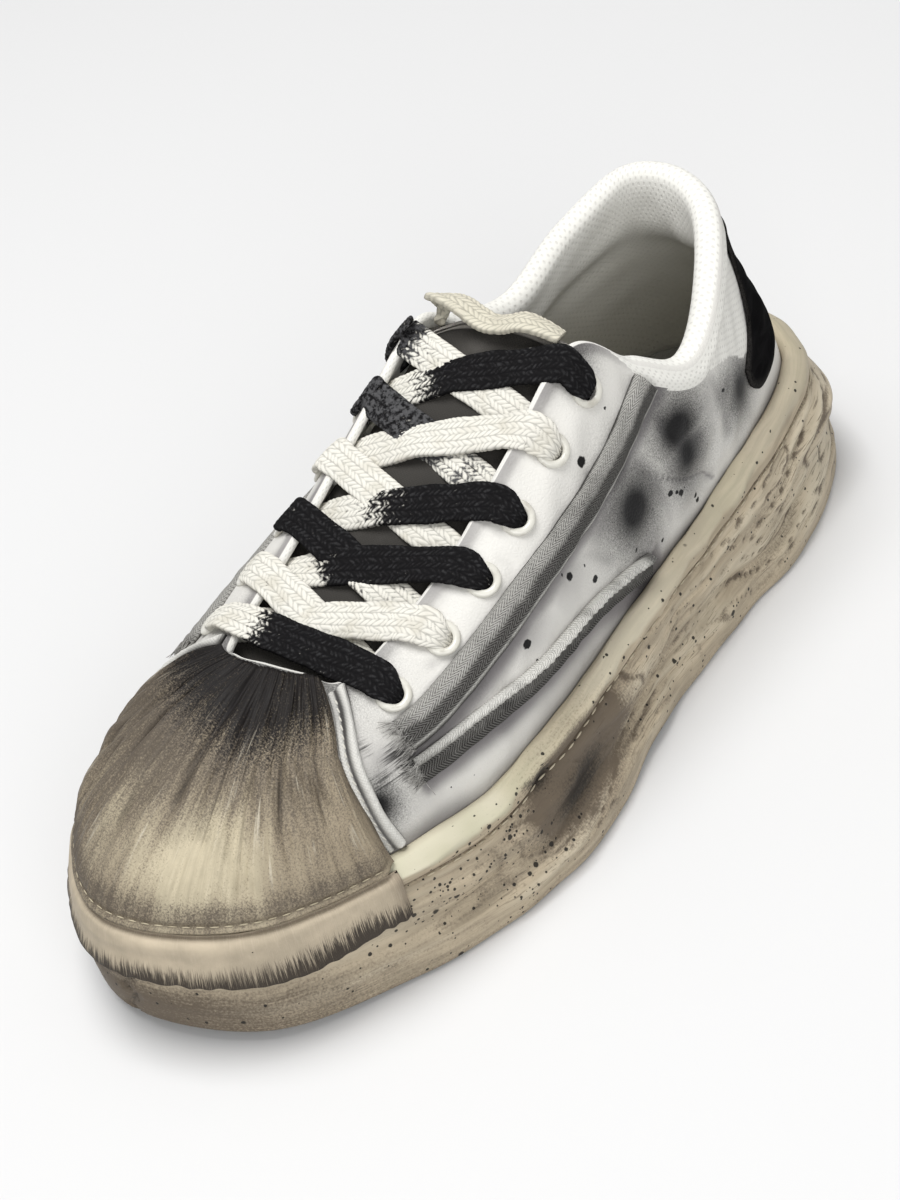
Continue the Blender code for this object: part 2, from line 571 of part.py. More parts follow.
def build_toe_cap(mat):
    """The rubber shell over the toes, with flutes that fan out from the throat."""
    share = np.linspace(0, 1, 4 * CAP_FLUTES + 1)
    around_low = np.linspace(0.42, 0.60, 37)
    rim_low = v_at_height(around_low, sole_at("rim_z", around_low) + CAP_ABOVE_RIM)
    inner, outer = [], []
    for climb in (0, 0.07, 0.22, 0.43, 0.65, 0.86, 1.0):
        v = 0.25 + (CAP_TOP - 0.25) * climb
        u = cap_edge(v, True) + (cap_edge(v, False) - cap_edge(v, True)) * share
        low = np.interp(u, around_low, rim_low)
        v = low + (CAP_TOP - low) * climb
        depth = FLUTE_DEPTH * smooth((0.96 - v) / 0.35) * (0.45 + 0.55 * smooth((v - low) / 0.15))
        flute = np.abs(np.sin(math.pi * CAP_FLUTES * share)) ** 0.7
        thick = CAP_THICK + depth * (flute - 0.6)
        thick = thick * (0.55 + 0.45 * smooth(np.minimum(share, 1 - share) / 0.05))
        thick = thick * (0.6 if climb == 0 else 1.0)
        base, normal, out = upper_at(u, v), upper_normal(u, v), outward(u)
        shell = base + normal * (CAP_GAP + thick)[:, None]
        if climb == 0:
            reach = np.sum((shell - feather(u)) * out, axis=1)
            near_end = smooth(np.minimum(share, 1 - share) / 0.04)
            flare = (sole_at("rim", u) - CAP_INSIDE_RIM - reach) * (0.6 + 0.4 * near_end)
        inner.append(base + normal * CAP_GAP)
        outer.append(shell + out * (flare * (1 - smooth(climb / CAP_FLARE_TOP)))[:, None])
    return slab("toe_cap", np.stack(inner, 1), np.stack(outer, 1), mat)


def strip_on_upper(name, places, width, thick, count, mat, crown=1.0, shift=0.0, gap=GAP):
    """A band of one width laid along places on the upper, its edges thinner by crown, moved aside by shift."""
    line = through(places, count)
    e = 1e-3
    centre = upper_at(line[:, 0], line[:, 1])
    along_u = (upper_at(line[:, 0] + e, line[:, 1]) - upper_at(line[:, 0] - e, line[:, 1])) / (2 * e)
    along_v = (upper_at(line[:, 0], line[:, 1] + e) - upper_at(line[:, 0], line[:, 1] - e)) / (2 * e)
    side = unit(np.cross(upper_normal(line[:, 0], line[:, 1]), unit(np.gradient(centre, axis=0))))
    steps = []
    for a, b, want in zip(along_u, along_v, side):
        steps.append(np.linalg.lstsq(np.stack([a, b], 1), want, rcond=None)[0])
    steps = np.array(steps)
    inner, outer = [], []
    for across, height in ((-1.0, crown), (0.0, 1.0), (1.0, crown)):
        at = line + steps * (across * width / 2 + shift)
        base, normal = upper_at(at[:, 0], at[:, 1]), upper_normal(at[:, 0], at[:, 1])
        inner.append(base + normal * gap)
        outer.append(base + normal * (gap + thick * height))
    return slab(name, np.stack(inner, 1), np.stack(outer, 1), mat)


def build_tapes(mat, piping_mat):
    """The diagonal tapes, the bowed tapes and the piping along the toe cap, on both sides."""
    for side in ("lateral", "medial"):
        def place(points, lower=1.0):
            return [(u, v) if side == "lateral" else (mirrored(u), v * lower) for u, v in points]

        side_line, arch_line = place(SIDE_TAPE, MEDIAL_TAPES), place(ARCH_TAPE, MEDIAL_TAPES)
        strip_on_upper(f"side_tape_{side}", side_line, TAPE_WIDTH, TAPE_THICK, 13, mat, 0.8)
        strip_on_upper(f"arch_tape_{side}", arch_line, ARCH_TAPE_WIDTH, TAPE_THICK * 1.4, 14, mat, 0.6)
        edge = [(u, v) for v, u in CAP_EDGE if v > 0.2]
        away = (PIPING_WIDTH / 2 + PIPING_FROM_CAP) * (-1 if side == "lateral" else 1)
        strip_on_upper(f"cap_piping_{side}", place(edge), PIPING_WIDTH, PIPING_THICK, 9, piping_mat, 0.4, away,
                       PATCH_GAP)


def build_heel(patch_mat, strip_mat):
    """The patch round the back of the collar and the upright strip below it."""
    line = through(PATCH, 21)
    low, high = line[:, :2], line[:, 2:]
    inner, outer = [], []
    for share, thin in ((0, 0.6), (0.12, 1), (0.4, 1), (0.7, 1), (1, 0.6)):
        u, v = (low + (high - low) * share).T
        base, normal = upper_at(u, v), upper_normal(u, v)
        inner.append(base + normal * PATCH_GAP)
        outer.append(base + normal * (PATCH_GAP + PATCH_THICK * thin))
    slab("heel_patch", np.stack(inner, 1), np.stack(outer, 1), patch_mat)
    u = np.linspace(-STRIP_HALF, STRIP_HALF, 7)
    bottom = float(rim_v(np.array([0.0]))[0]) + 0.03
    inner, outer = [], []
    for v in np.linspace(bottom, STRIP_TOP, 4):
        base, normal = upper_at(u, v), upper_normal(u, v)
        inner.append(base + normal * PATCH_GAP)
        outer.append(base + normal * (PATCH_GAP + TAPE_THICK))
    slab("heel_strip", np.stack(inner, 1), np.stack(outer, 1), strip_mat)


# ---------------------------------------------------------------- tongue, eyelets and laces
def tongue_section(lateral_u, medial_u):
    """The tongue's outer face across one station, from under one eyestay to under the other."""
    depth = WALL + TONGUE_CLEAR
    ends = []
    for u in (lateral_u, medial_u):
        v = np.array([below_top(u, d) for d in TONGUE_TUCK])
        ends.append(upper_at(np.full_like(v, u), v) - upper_normal(np.full_like(v, u), v) * depth)
    start, stop = ends[0][-1], ends[1][-1]
    chord = stop - start
    reach = TONGUE_HANDLE * np.linalg.norm(chord)
    first = start + reach * unit(unit(start - ends[0][-2]) + TONGUE_LEVEL * unit(chord))
    last = stop + reach * unit(unit(stop - ends[1][-2]) - TONGUE_LEVEL * unit(chord))
    t = np.linspace(0, 1, 7)[1:-1, None]
    bridge = start * (1 - t) ** 3 + 3 * first * t * (1 - t) ** 2 + 3 * last * t * t * (1 - t) + stop * t**3
    return np.concatenate([ends[0], bridge, ends[1][::-1]])


def tongue_sections():
    """Every station of the tongue, from the front of the throat to its top end."""
    lateral = np.array([0.438, 0.42, 0.395, 0.365, 0.335, 0.305])
    medial = np.interp(lateral, [low for low, _ in EYELETS][::-1], [high for _, high in EYELETS][::-1])
    medial = np.where(lateral > EYELETS[0][0], mirrored(lateral), medial)
    sections = [tongue_section(a, b) for a, b in zip(lateral, medial)]
    sections.insert(0, (sections[0] - sections[0][5]) * TONGUE_NOSE_NARROW + sections[0][5] - TONGUE_NOSE)
    step = unit(sections[-1][5] - sections[-2][5])
    middle = sections[-1][5] * [1, 0, 0]
    for beyond, narrow in ((0.5, 0.98), (1.0, 0.94)):
        moved = sections[6] + step * TONGUE_BEYOND * beyond
        sections.append((moved - middle) * [narrow, 1, 1] + middle)
    return np.array(sections)


def build_tongue(mat):
    """The padded tongue."""
    outer = tongue_sections()
    along, across = np.gradient(outer, axis=0), np.gradient(outer, axis=1)
    normal = unit(np.cross(along, across))
    normal = np.where(normal[..., 2:] < 0, -normal, normal)
    normal = unit(normal + unit(normal.mean(axis=1, keepdims=True)))
    edge = np.array([0.45, 0.8, 1, 1, 1, 1, 1, 1, 1, 0.8, 0.45])[None, :, None]
    end = np.array([0.5] + [1.0] * (len(outer) - 2) + [0.7])[:, None, None]
    inner = outer - normal * TONGUE_THICK * edge * end
    return slab("tongue", inner, outer, mat)


def eyelet_at(u):
    """Middle and outward normal of the eyelet at u, on the upper's face."""
    v = below_top(u, EYELET_INSET)
    return upper_at(u, v), upper_normal(u, v)


def circle(centre, normal, radius, sides):
    """Points round a circle across a normal."""
    first = unit(np.cross(normal, [0.45, 0.9, 0.1]))
    second = np.cross(normal, first)
    turn = np.linspace(0, 2 * math.pi, sides, endpoint=False)[:, None]
    return centre + radius * (np.cos(turn) * first + np.sin(turn) * second)


def build_eyelets(upper, mat):
    """A ring at each eyelet, and the hole that it lines."""
    holes, hole_faces = [], []
    for number, pair in enumerate(EYELETS, 1):
        for side, u in zip(("lateral", "medial"), pair):
            centre, normal = eyelet_at(u)
            low, high = centre + normal * GAP * 1.6, centre + normal * (GAP * 1.6 + EYELET_THICK)
            rows = [circle(low, normal, EYELET_OUTER, EYELET_SIDES),
                    circle(high, normal, EYELET_OUTER - 0.5 * MM, EYELET_SIDES),
                    circle(high, normal, EYELET_BORE, EYELET_SIDES),
                    circle(low, normal, EYELET_BORE, EYELET_SIDES)]
            band(f"eyelet_{side}_{number}", np.array(rows), mat)
            start = len(holes)
            for depth in (-3.5 * MM, 2 * MM):
                holes.extend(circle(centre + normal * depth, normal, EYELET_HOLE, EYELET_SIDES))
            n = EYELET_SIDES
            hole_faces.append(tuple(start + i for i in range(n)))
            hole_faces.append(tuple(start + n + i for i in reversed(range(n))))
            for i in range(n):
                j = (i + 1) % n
                hole_faces.append((start + i, start + n + i, start + n + j, start + j))
    cutter = add_object("eyelet_holes", holes, hole_faces, mat)
    apply_boolean(upper, cutter, "DIFFERENCE")


def apply_boolean(target, tool, operation):
    """Cuts or joins the tool into the target and removes the tool."""
    modifier = target.modifiers.new("boolean", "BOOLEAN")
    modifier.operation = operation
    modifier.object = tool
    modifier.solver = "EXACT"
    graph = bpy.context.evaluated_depsgraph_get()
    mesh = bpy.data.meshes.new_from_object(target.evaluated_get(graph))
    target.modifiers.remove(modifier)
    bm = bmesh.new()
    bm.from_mesh(mesh)
    bmesh.ops.remove_doubles(bm, verts=bm.verts, dist=0.005 * MM)
    bmesh.ops.dissolve_degenerate(bm, edges=bm.edges, dist=0.005 * MM)
    bmesh.ops.triangulate(bm, faces=bm.faces)
    bm.to_mesh(mesh)
    bm.free()
    target.data = mesh
    bpy.data.objects.remove(tool)


def tongue_skin():
    """The tongue's outer face as many points, and the normal at each."""
    sections = tongue_sections()
    dense = np.stack([through(line, 60) for line in sections.transpose(1, 0, 2)], axis=1)
    dense = np.stack([through(line, 80) for line in dense], axis=0)
    normal = unit(np.cross(np.gradient(dense, axis=0), np.gradient(dense, axis=1)))
    normal = np.where(normal[..., 2:] < 0, -normal, normal)
    return dense.reshape(-1, 3), normal.reshape(-1, 3)


def on_tongue(skin, point):
    """The place on the tongue below or above a point, and the normal there."""
    points, normals = skin
    nearest = np.argmin(np.sum((points[:, :2] - point[:2]) ** 2, axis=1))
    return points[nearest], normals[nearest]


def lace_strap(skin, start, stop, layer, closed):
    """One stretch of lace from the eyelet start, over the tongue, to the eyelet or the throat's edge stop.

    start and stop are (row, side). layer 0 lies on the tongue and layer 1 crosses over it."""
    clear = LACE_THICK / 2 + LACE_LIFT
    ends = [EYELETS[row][("lateral", "medial").index(side)] for row, side in (start, stop)]
    eyes = [eyelet_at(u) for u in ends]
    edges = [upper_at(u, 1.0) for u in ends]
    lift = clear + layer * (LACE_THICK - 0.6 * MM)
    points = [eyes[0][0] + eyes[0][1] * (clear + EYELET_THICK + 5 * GAP)]
    flats = [eyes[0][1]]
    inward = unit(edges[1] - edges[0])
    place, normal = on_tongue(skin, edges[0] + inward * 3 * MM)
    points.append(edges[0] + unit(eyes[0][1] + normal) * (clear + LACE_EDGE_LIFT))
    flats.append(unit(eyes[0][1] + normal))
    for share in (0.3, 0.5, 0.7):
        place, normal = on_tongue(skin, edges[0] + (edges[1] - edges[0]) * share)
        points.append(place + normal * lift)
        flats.append(normal)
    place, normal = on_tongue(skin, edges[1] - inward * LACE_END_INSET)
    if closed:
        points.append(edges[1] + unit(eyes[1][1] + normal) * (clear + LACE_EDGE_LIFT))
        flats.append(unit(eyes[1][1] + normal))
        points.append(eyes[1][0] + eyes[1][1] * (clear + EYELET_THICK + 5 * GAP))
        flats.append(eyes[1][1])
    else:
        points.append(place + normal * (clear + 0.3 * MM))
        flats.append(normal)
    line, flat = through(points, 11), unit(through(flats, 11))
    along = unit(np.gradient(line, axis=0))
    across = unit(np.cross(along, flat))
    normal = np.cross(across, along)
    w, t = LACE_WIDTH / 2, LACE_THICK / 2
    corners = ((-w, t), (w, t), (w, -t), (-w, -t))
    return np.stack([line + across * a + normal * b for a, b in corners], axis=1)


def build_laces(mat):
    """The crossings and the lowest bar, joined into one solid."""
    skin = tongue_skin()
    straps = [lace_strap(skin, (0, "lateral"), (0, "medial"), 1, True)]
    for k in range(1, len(EYELETS)):
        straps.append(lace_strap(skin, (k, "medial"), (k - 1, "lateral"), 0, False))
        straps.append(lace_strap(skin, (k, "lateral"), (k - 1, "medial"), 1, False))
    laces = bar("lace_crossings", straps[0], mat)
    for rings in straps[1:]:
        apply_boolean(laces, bar("strap", rings, mat), "UNION")
    return laces


def build_loop(mat):
    """The lace's free loop: a plain tube along its route."""
    curve = bpy.data.curves.new("lace_loop", "CURVE")
    curve.dimensions = "3D"
    curve.bevel_depth = LOOP_RADIUS
    curve.bevel_resolution = 2
    curve.use_fill_caps = True
    x, along, height = through(np.array(LOOP_ROUTE) * MM, LOOP_POINTS).T
    route = np.stack([MIDDLE_X + x, HEEL_BACK_Y - along, height], -1)
    spline = curve.splines.new("POLY")
    spline.points.add(len(route) - 1)
    for point, place in zip(spline.points, route):
        point.co = (*place, 1.0)
    curve.materials.append(mat)
    bpy.context.scene.collection.objects.link(bpy.data.objects.new("lace_loop", curve))


def main():
    """Builds every piece."""
    for obj in list(bpy.data.objects):
        bpy.data.objects.remove(obj)
    canvas = material("upper_canvas", (0.80, 0.79, 0.78), 0.8)
    upper = build_upper(canvas)
    build_midsole(material("midsole_rubber", (0.62, 0.56, 0.42), 0.6))
    build_outsole(material("outsole_rubber", (0.10, 0.09, 0.08), 0.8))
    build_insole(material("insole_cloth", (0.62, 0.60, 0.55), 0.9))
    build_toe_bumper(material("bumper_rubber", (0.50, 0.42, 0.30), 0.6))
    build_toe_cap(material("toe_cap_rubber", (0.58, 0.50, 0.38), 0.5))
    build_tapes(material("tape", (0.35, 0.35, 0.37), 0.9), material("piping", (0.82, 0.82, 0.80), 0.7))
    build_heel(material("patch_suede", (0.01, 0.01, 0.012), 0.95), material("heel_strip", (0.7, 0.7, 0.7), 0.8))
    build_tongue(material("tongue_canvas", (0.75, 0.75, 0.73), 0.85))
    build_eyelets(upper, material("eyelet_enamel", (0.9, 0.9, 0.9), 0.25))
    lace = material("lace", (0.70, 0.69, 0.62), 0.9)
    build_laces(lace)
    build_loop(lace)


if __name__ == "__main__":
    main()
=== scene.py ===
"""Dresses a worn left-foot sneaker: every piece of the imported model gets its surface, wear and stitching.

Frame: +Z up, the floor at z = 0, the toe towards -Y and the lateral side towards +X. "Along" is the
distance forward from the back of the upper. u runs once round the foot, from the back of the heel by the
lateral side and the toe, and v runs up the upper from the footbed (0) to its top line (1).
"""

import logging
import math
from dataclasses import dataclass, field
from enum import Enum
from functools import cache
from typing import Callable, Sequence

import bpy
import numpy as np
from mathutils import Matrix, Vector


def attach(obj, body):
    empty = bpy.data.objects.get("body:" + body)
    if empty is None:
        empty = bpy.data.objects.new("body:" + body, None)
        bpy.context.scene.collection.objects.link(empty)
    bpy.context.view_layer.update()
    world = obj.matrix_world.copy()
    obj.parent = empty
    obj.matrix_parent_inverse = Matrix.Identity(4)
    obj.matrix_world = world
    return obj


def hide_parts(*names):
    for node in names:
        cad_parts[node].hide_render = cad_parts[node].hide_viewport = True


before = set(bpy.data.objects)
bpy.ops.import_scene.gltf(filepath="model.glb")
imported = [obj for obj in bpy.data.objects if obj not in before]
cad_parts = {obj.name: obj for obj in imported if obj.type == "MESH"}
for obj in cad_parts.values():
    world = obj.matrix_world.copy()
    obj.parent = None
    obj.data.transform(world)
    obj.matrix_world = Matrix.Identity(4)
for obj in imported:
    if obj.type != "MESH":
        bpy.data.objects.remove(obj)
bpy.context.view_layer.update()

MM = 0.001
UP = np.array([0.0, 0.0, 1.0])
MERGE = 2e-7
EYELET_DROP = 11 * MM
Colour = tuple[float, float, float]
Places = Sequence[tuple[float, float]]
Profile = Callable[[np.ndarray, np.ndarray], np.ndarray]
log = logging.getLogger("sneaker")


class Side(Enum):
    """The outer and the inner side of the foot."""

    LATERAL = "lateral"
    MEDIAL = "medial"


# ---------------------------------------------------------------- small maths
def smooth(x: np.ndarray | float) -> np.ndarray:
    """0 below 0, 1 above 1, and an S between."""
    x = np.clip(x, 0.0, 1.0)
    return x * x * (3 - 2 * x)


def bell(x: np.ndarray | float, width: float) -> np.ndarray:
    """A soft hump, 1 at 0, that fades out over about twice its width."""
    return np.exp(-((np.asarray(x, float) / width) ** 2))


def unit(x: np.ndarray) -> np.ndarray:
    """Vectors made one long."""
    return x / np.maximum(np.linalg.norm(x, axis=-1, keepdims=True), 1e-12)


def through(points: Sequence, count: int) -> np.ndarray:
    """A smooth line through a few points (Catmull-Rom).

    Args:
        points: The points, or rows of points, to pass through.
        count: How many places to read, evenly spread.

    Returns:
        The places, with the first axis of length count.
    """
    p = np.asarray(points, float)
    p = np.concatenate([2 * p[:1] - p[1:2], p, 2 * p[-1:] - p[-2:-1]])
    at = np.linspace(0, len(p) - 3, count)
    i = np.minimum(at.astype(int), len(p) - 4)
    t = (at - i).reshape((-1,) + (1,) * (p.ndim - 1))
    a, b, c, d = p[i], p[i + 1], p[i + 2], p[i + 3]
    return 0.5 * (2 * b + (c - a) * t + (2 * a - 5 * b + 4 * c - d) * t**2 + (3 * b - a - 3 * c + d) * t**3)


def evenly(points: np.ndarray, count: int, values: np.ndarray | None = None) -> np.ndarray:
    """A line, or what it carries, read at places an equal distance apart.

    Args:
        points: The line.
        count: How many places to read.
        values: A row for each point, if not the points themselves.

    Returns:
        What stands at the places.
    """
    run = lengths(points)
    wanted = points if values is None else values
    at = np.linspace(0, run[-1], count)
    return np.stack([np.interp(at, run, column) for column in wanted.T], -1)


def lengths(points: np.ndarray) -> np.ndarray:
    """Distance covered at each point of a line (or of each line, along the first axis)."""
    steps = np.linalg.norm(np.diff(points, axis=0), axis=-1)
    return np.concatenate([np.zeros_like(steps[:1]), np.cumsum(steps, axis=0)])


def ripple(x: np.ndarray, y: np.ndarray, seed: int, waves: int = 7, spread: float = 1.0) -> np.ndarray:
    """Gentle unevenness between about -1 and 1: a few crossing waves.

    Args:
        x: First coordinate, one wave for each unit.
        y: Second coordinate.
        seed: Picks the waves, the same each run.
        waves: How many are added.
        spread: How far their lengths differ.

    Returns:
        The height at each place.
    """
    pick = np.random.RandomState(seed)
    total = np.zeros(np.broadcast(x, y).shape)
    for _ in range(waves):
        turn, size = pick.uniform(0, 2 * math.pi), 1 + spread * pick.uniform(-0.5, 1.0)
        total += np.sin(2 * math.pi * size * (x * math.cos(turn) + y * math.sin(turn)) + pick.uniform(0, 6.3))
    return total / math.sqrt(waves)


def patches(x: np.ndarray, y: np.ndarray, *spots: tuple[float, ...]) -> np.ndarray:
    """Soft patches added up, each given by its strength, x, reach in x, y and reach in y."""
    return sum(k * bell(x - at_x, wide) * bell(y - at_y, high) for k, at_x, wide, at_y, high in spots)


def toned(colour: Colour, share: float) -> Colour:
    """A colour made darker or lighter."""
    return tuple(min(1.0, c * share) for c in colour)


def off_seam(u: np.ndarray) -> np.ndarray:
    """Nought at the heel's seam and one away from it, so that the first and last columns of a ring meet."""
    return smooth(np.minimum(u, 1 - u) / 0.02)


# ---------------------------------------------------------------- the last and the sole
@dataclass(frozen=True)
class Form:
    """The shape that every piece follows: sections of the last round the foot, and the side of the sole."""

    heel_back_y: float = 130.8 * MM
    middle_x: float = -2.1 * MM
    heel_stack: float = 26.5
    heel_drop: float = 6.5
    toe_spring: float = 9.0 * MM
    spring: tuple[float, float] = (196 * MM, 286 * MM)
    arch: tuple[float, float] = (100 * MM, 148 * MM)
    arch_lift: float = 1.6 * MM
    wall: float = 2.4 * MM
    collar_pad: float = 5.5 * MM
    last_columns: tuple[str, ...] = ("u", "fx", "fs", "tx", "ts", "tz", "up", "out", "drop", "over")
    last_rows: tuple = (
        (0.000, 0.0, 1.0, 0.0, 19.0, 105.0, 32.0, 3.0, 24.0, -5.0),
        (0.055, 22.0, 11.0, 17.0, 25.0, 102.0, 30.0, 4.0, 22.0, -2.0),
        (0.110, 31.5, 42.0, 28.5, 42.0, 92.0, 24.0, 4.0, 20.0, 1.0),
        (0.180, 35.0, 78.0, 34.0, 64.0, 81.5, 20.0, 4.0, 16.0, 3.0),
        (0.245, 39.0, 111.0, 29.5, 81.0, 92.0, 20.0, 4.0, 18.0, 6.0),
        (0.300, 43.0, 141.0, 21.0, 97.0, 107.0, 24.0, 3.0, 16.0, 14.0),
        (0.350, 46.0, 170.0, 21.0, 128.0, 93.0, 24.0, 2.0, 10.0, 18.0),
        (0.395, 45.0, 190.0, 20.0, 158.5, 77.5, 22.0, 1.0, 6.0, 20.0),
        (0.440, 38.5, 217.0, 15.0, 193.0, 67.5, 22.0, 1.0, 5.0, 22.0),
        (0.475, 21.0, 250.0, 6.0, 199.0, 70.5, 24.0, 1.0, 6.0, 30.0),
        (0.505, -6.0, 263.0, -4.5, 202.0, 71.5, 26.0, 1.0, 6.0, 36.0),
        (0.540, -31.2, 250.4, -14.5, 202.5, 70.5, 24.0, 1.0, 6.0, 30.0),
        (0.580, -42.5, 222.0, -22.0, 196.0, 68.0, 24.0, 1.0, 5.0, 20.0),
        (0.620, -45.0, 192.0, -26.0, 165.0, 75.5, 24.0, 1.0, 6.0, 16.0),
        (0.665, -40.0, 164.0, -28.0, 133.0, 88.5, 24.0, 2.0, 10.0, 12.0),
        (0.710, -34.5, 138.0, -29.5, 103.0, 101.5, 24.0, 3.0, 16.0, 7.0),
        (0.760, -31.0, 110.0, -31.5, 86.0, 91.0, 20.0, 4.0, 18.0, 4.0),
        (0.825, -31.0, 76.0, -31.0, 65.0, 83.5, 20.0, 4.0, 16.0, 3.0),
        (0.890, -31.0, 41.0, -27.5, 42.0, 93.0, 24.0, 4.0, 20.0, 1.0),
        (0.945, -22.0, 11.0, -17.5, 24.0, 102.5, 30.0, 4.0, 22.0, -2.0),
    )
    sole_columns: tuple[str, ...] = (
        "u", "rim_z", "rim", "crease_z", "crease", "belly_z", "belly", "dip_z", "dip", "lip_z", "lip")
    sole_rows: tuple = (
        (0.000, 43.0, 8.0, 35.0, 8.0, 27.0, 13.0, 17.0, 11.0, 8.5, 14.0),
        (0.060, 43.5, 7.5, 35.0, 7.5, 27.0, 13.0, 17.0, 11.0, 8.0, 14.0),
        (0.120, 42.0, 7.0, 33.5, 7.5, 26.0, 12.0, 15.5, 11.0, 8.0, 14.0),
        (0.180, 39.0, 7.5, 32.0, 7.0, 25.0, 10.0, 14.5, 9.0, 8.0, 12.0),
        (0.245, 37.5, 8.0, 31.0, 7.0, 23.0, 9.0, 14.0, 7.5, 8.0, 11.0),
        (0.300, 36.5, 7.0, 30.0, 6.5, 22.0, 10.0, 14.0, 9.0, 8.0, 14.0),
        (0.350, 35.0, 6.5, 28.0, 6.0, 21.0, 11.0, 13.0, 10.0, 7.0, 15.0),
        (0.395, 35.0, 6.0, 28.0, 6.0, 21.0, 10.0, 13.0, 9.0, 7.0, 13.0),
        (0.440, 36.5, 6.5, 30.5, 6.0, 23.0, 9.0, 16.5, 7.5, 9.0, 10.0),
        (0.505, 39.0, 6.5, 34.0, 6.0, 27.0, 9.0, 21.0, 7.0, 13.0, 9.0),
        (0.545, 37.6, 4.2, 32.0, 4.2, 25.0, 7.6, 18.6, 6.6, 11.0, 8.6),
        (0.580, 36.5, 5.0, 30.0, 5.5, 23.0, 8.0, 16.0, 7.5, 9.0, 9.0),
        (0.620, 35.0, 7.0, 28.0, 7.0, 21.0, 10.0, 13.0, 9.0, 7.0, 12.0),
        (0.690, 36.0, 7.5, 29.0, 7.5, 21.0, 10.0, 13.0, 8.0, 7.0, 11.0),
        (0.760, 38.0, 7.5, 31.0, 7.5, 23.0, 9.0, 14.0, 7.0, 8.0, 9.0),
        (0.830, 39.0, 7.5, 32.0, 7.5, 25.0, 10.0, 15.0, 8.0, 8.0, 11.0),
        (0.890, 41.5, 7.5, 33.5, 8.0, 26.0, 12.0, 16.0, 10.0, 8.0, 14.0),
        (0.945, 43.5, 8.0, 35.0, 8.0, 27.0, 13.0, 17.0, 11.0, 8.0, 14.0),
    )
    melt: tuple = (
        ("rim_z", 0.35, 1.0), ("rim", 0.30, 2.6), ("crease_z", 0.35, 0.6), ("belly", 0.55, 4.0),
        ("belly_z", 0.6, 3.1), ("dip", 0.45, 0.2), ("dip_z", 0.5, 5.0), ("lip", 0.35, 1.9))
    lateral_u: tuple = (0.0, 0.055, 0.110, 0.180, 0.245, 0.300, 0.350, 0.395, 0.440, 0.475, 0.505)
    medial_u: tuple = (1.0, 0.945, 0.890, 0.825, 0.760, 0.710, 0.665, 0.620, 0.580, 0.540, 0.505)

    @staticmethod
    def around(keys: np.ndarray, values: np.ndarray, u: np.ndarray) -> np.ndarray:
        """Smooth closed curve through values at the keys, read at u.

        Args:
            keys: Where the values stand, from 0 up to 1.
            values: The values.
            u: Places round the foot.

        Returns:
            The curve at u.
        """
        keys = np.concatenate([keys[-3:] - 1, keys, keys[:3] + 1])
        values = np.concatenate([values[-3:], values, values[:3]])
        steps = np.diff(keys)
        rise = np.diff(values) / steps
        slope = np.zeros_like(values)
        slope[1:-1] = (rise[:-1] * steps[1:] + rise[1:] * steps[:-1]) / (steps[:-1] + steps[1:])
        u = np.mod(u, 1.0)
        i = np.clip(np.searchsorted(keys, u, side="right") - 1, 0, len(steps) - 1)
        w = steps[i]
        t = (u - keys[i]) / w
        a = values[i] * (1 + 2 * t) * (1 - t) ** 2 + values[i + 1] * t * t * (3 - 2 * t)
        return a + w * (slope[i] * t * (1 - t) ** 2 - slope[i + 1] * t * t * (1 - t))

    def last(self, name: str, u: np.ndarray) -> np.ndarray:
        """A column of the last's table at u, in metres."""
        table = np.array(self.last_rows)
        return self.around(table[:, 0], table[:, self.last_columns.index(name)], u) * MM

    def sole(self, name: str, u: np.ndarray) -> np.ndarray:
        """A column of the sole's table at u, in metres, with the melted waves of its level.

        Args:
            name: The column.
            u: Places round the foot.

        Returns:
            Its value at u.
        """
        size, phase = {key: (a, b) for key, a, b in self.melt}.get(name, (0.0, 0.0))
        turn = 2 * math.pi * u
        wave = np.sin(9 * turn + phase) + 0.7 * np.sin(14 * turn + 2.3 * phase)
        wave += 0.5 * np.sin(23 * turn + 4.1 * phase)
        table = np.array(self.sole_rows)
        return (self.around(table[:, 0], table[:, self.sole_columns.index(name)], u) + size * wave) * MM

    def ahead(self, s: np.ndarray) -> np.ndarray:
        """How far into the toe spring s along is."""
        return np.clip((s - self.spring[0]) / (self.spring[1] - self.spring[0]), 0, 1.2)

    def floor_line(self, s: np.ndarray) -> np.ndarray:
        """Height of the sole's underside at s along."""
        across_arch = np.clip((s - self.arch[0]) / (self.arch[1] - self.arch[0]), 0, 1)
        return self.toe_spring * self.ahead(s) ** 2 + self.arch_lift * np.sin(math.pi * across_arch) ** 2

    def footbed(self, s: np.ndarray) -> np.ndarray:
        """Height of the footbed at s along."""
        level = self.heel_stack - self.heel_drop * smooth((s / MM - 55) / 120)
        return level * MM + 0.9 * self.toe_spring * self.ahead(s) ** 2

    def foot(self, u: np.ndarray) -> np.ndarray:
        """Edge of the footbed at u."""
        s = self.last("fs", u)
        return np.stack([self.middle_x + self.last("fx", u), self.heel_back_y - s, self.footbed(s)], -1)

    def out(self, u: np.ndarray) -> np.ndarray:
        """Level unit normal of the footbed's edge at u.

        Args:
            u: Places round the foot.

        Returns:
            A vector for each place.
        """
        step = 2e-3
        d = self.foot(u + step) - self.foot(u - step)
        return unit(np.stack([-d[..., 1], d[..., 0], np.zeros_like(d[..., 0])], -1))

    def top(self, u: np.ndarray) -> np.ndarray:
        """Collar, throat edge or front of the throat at u."""
        x, y = self.middle_x + self.last("tx", u), self.heel_back_y - self.last("ts", u)
        return np.stack([x, y, self.last("tz", u)], -1)

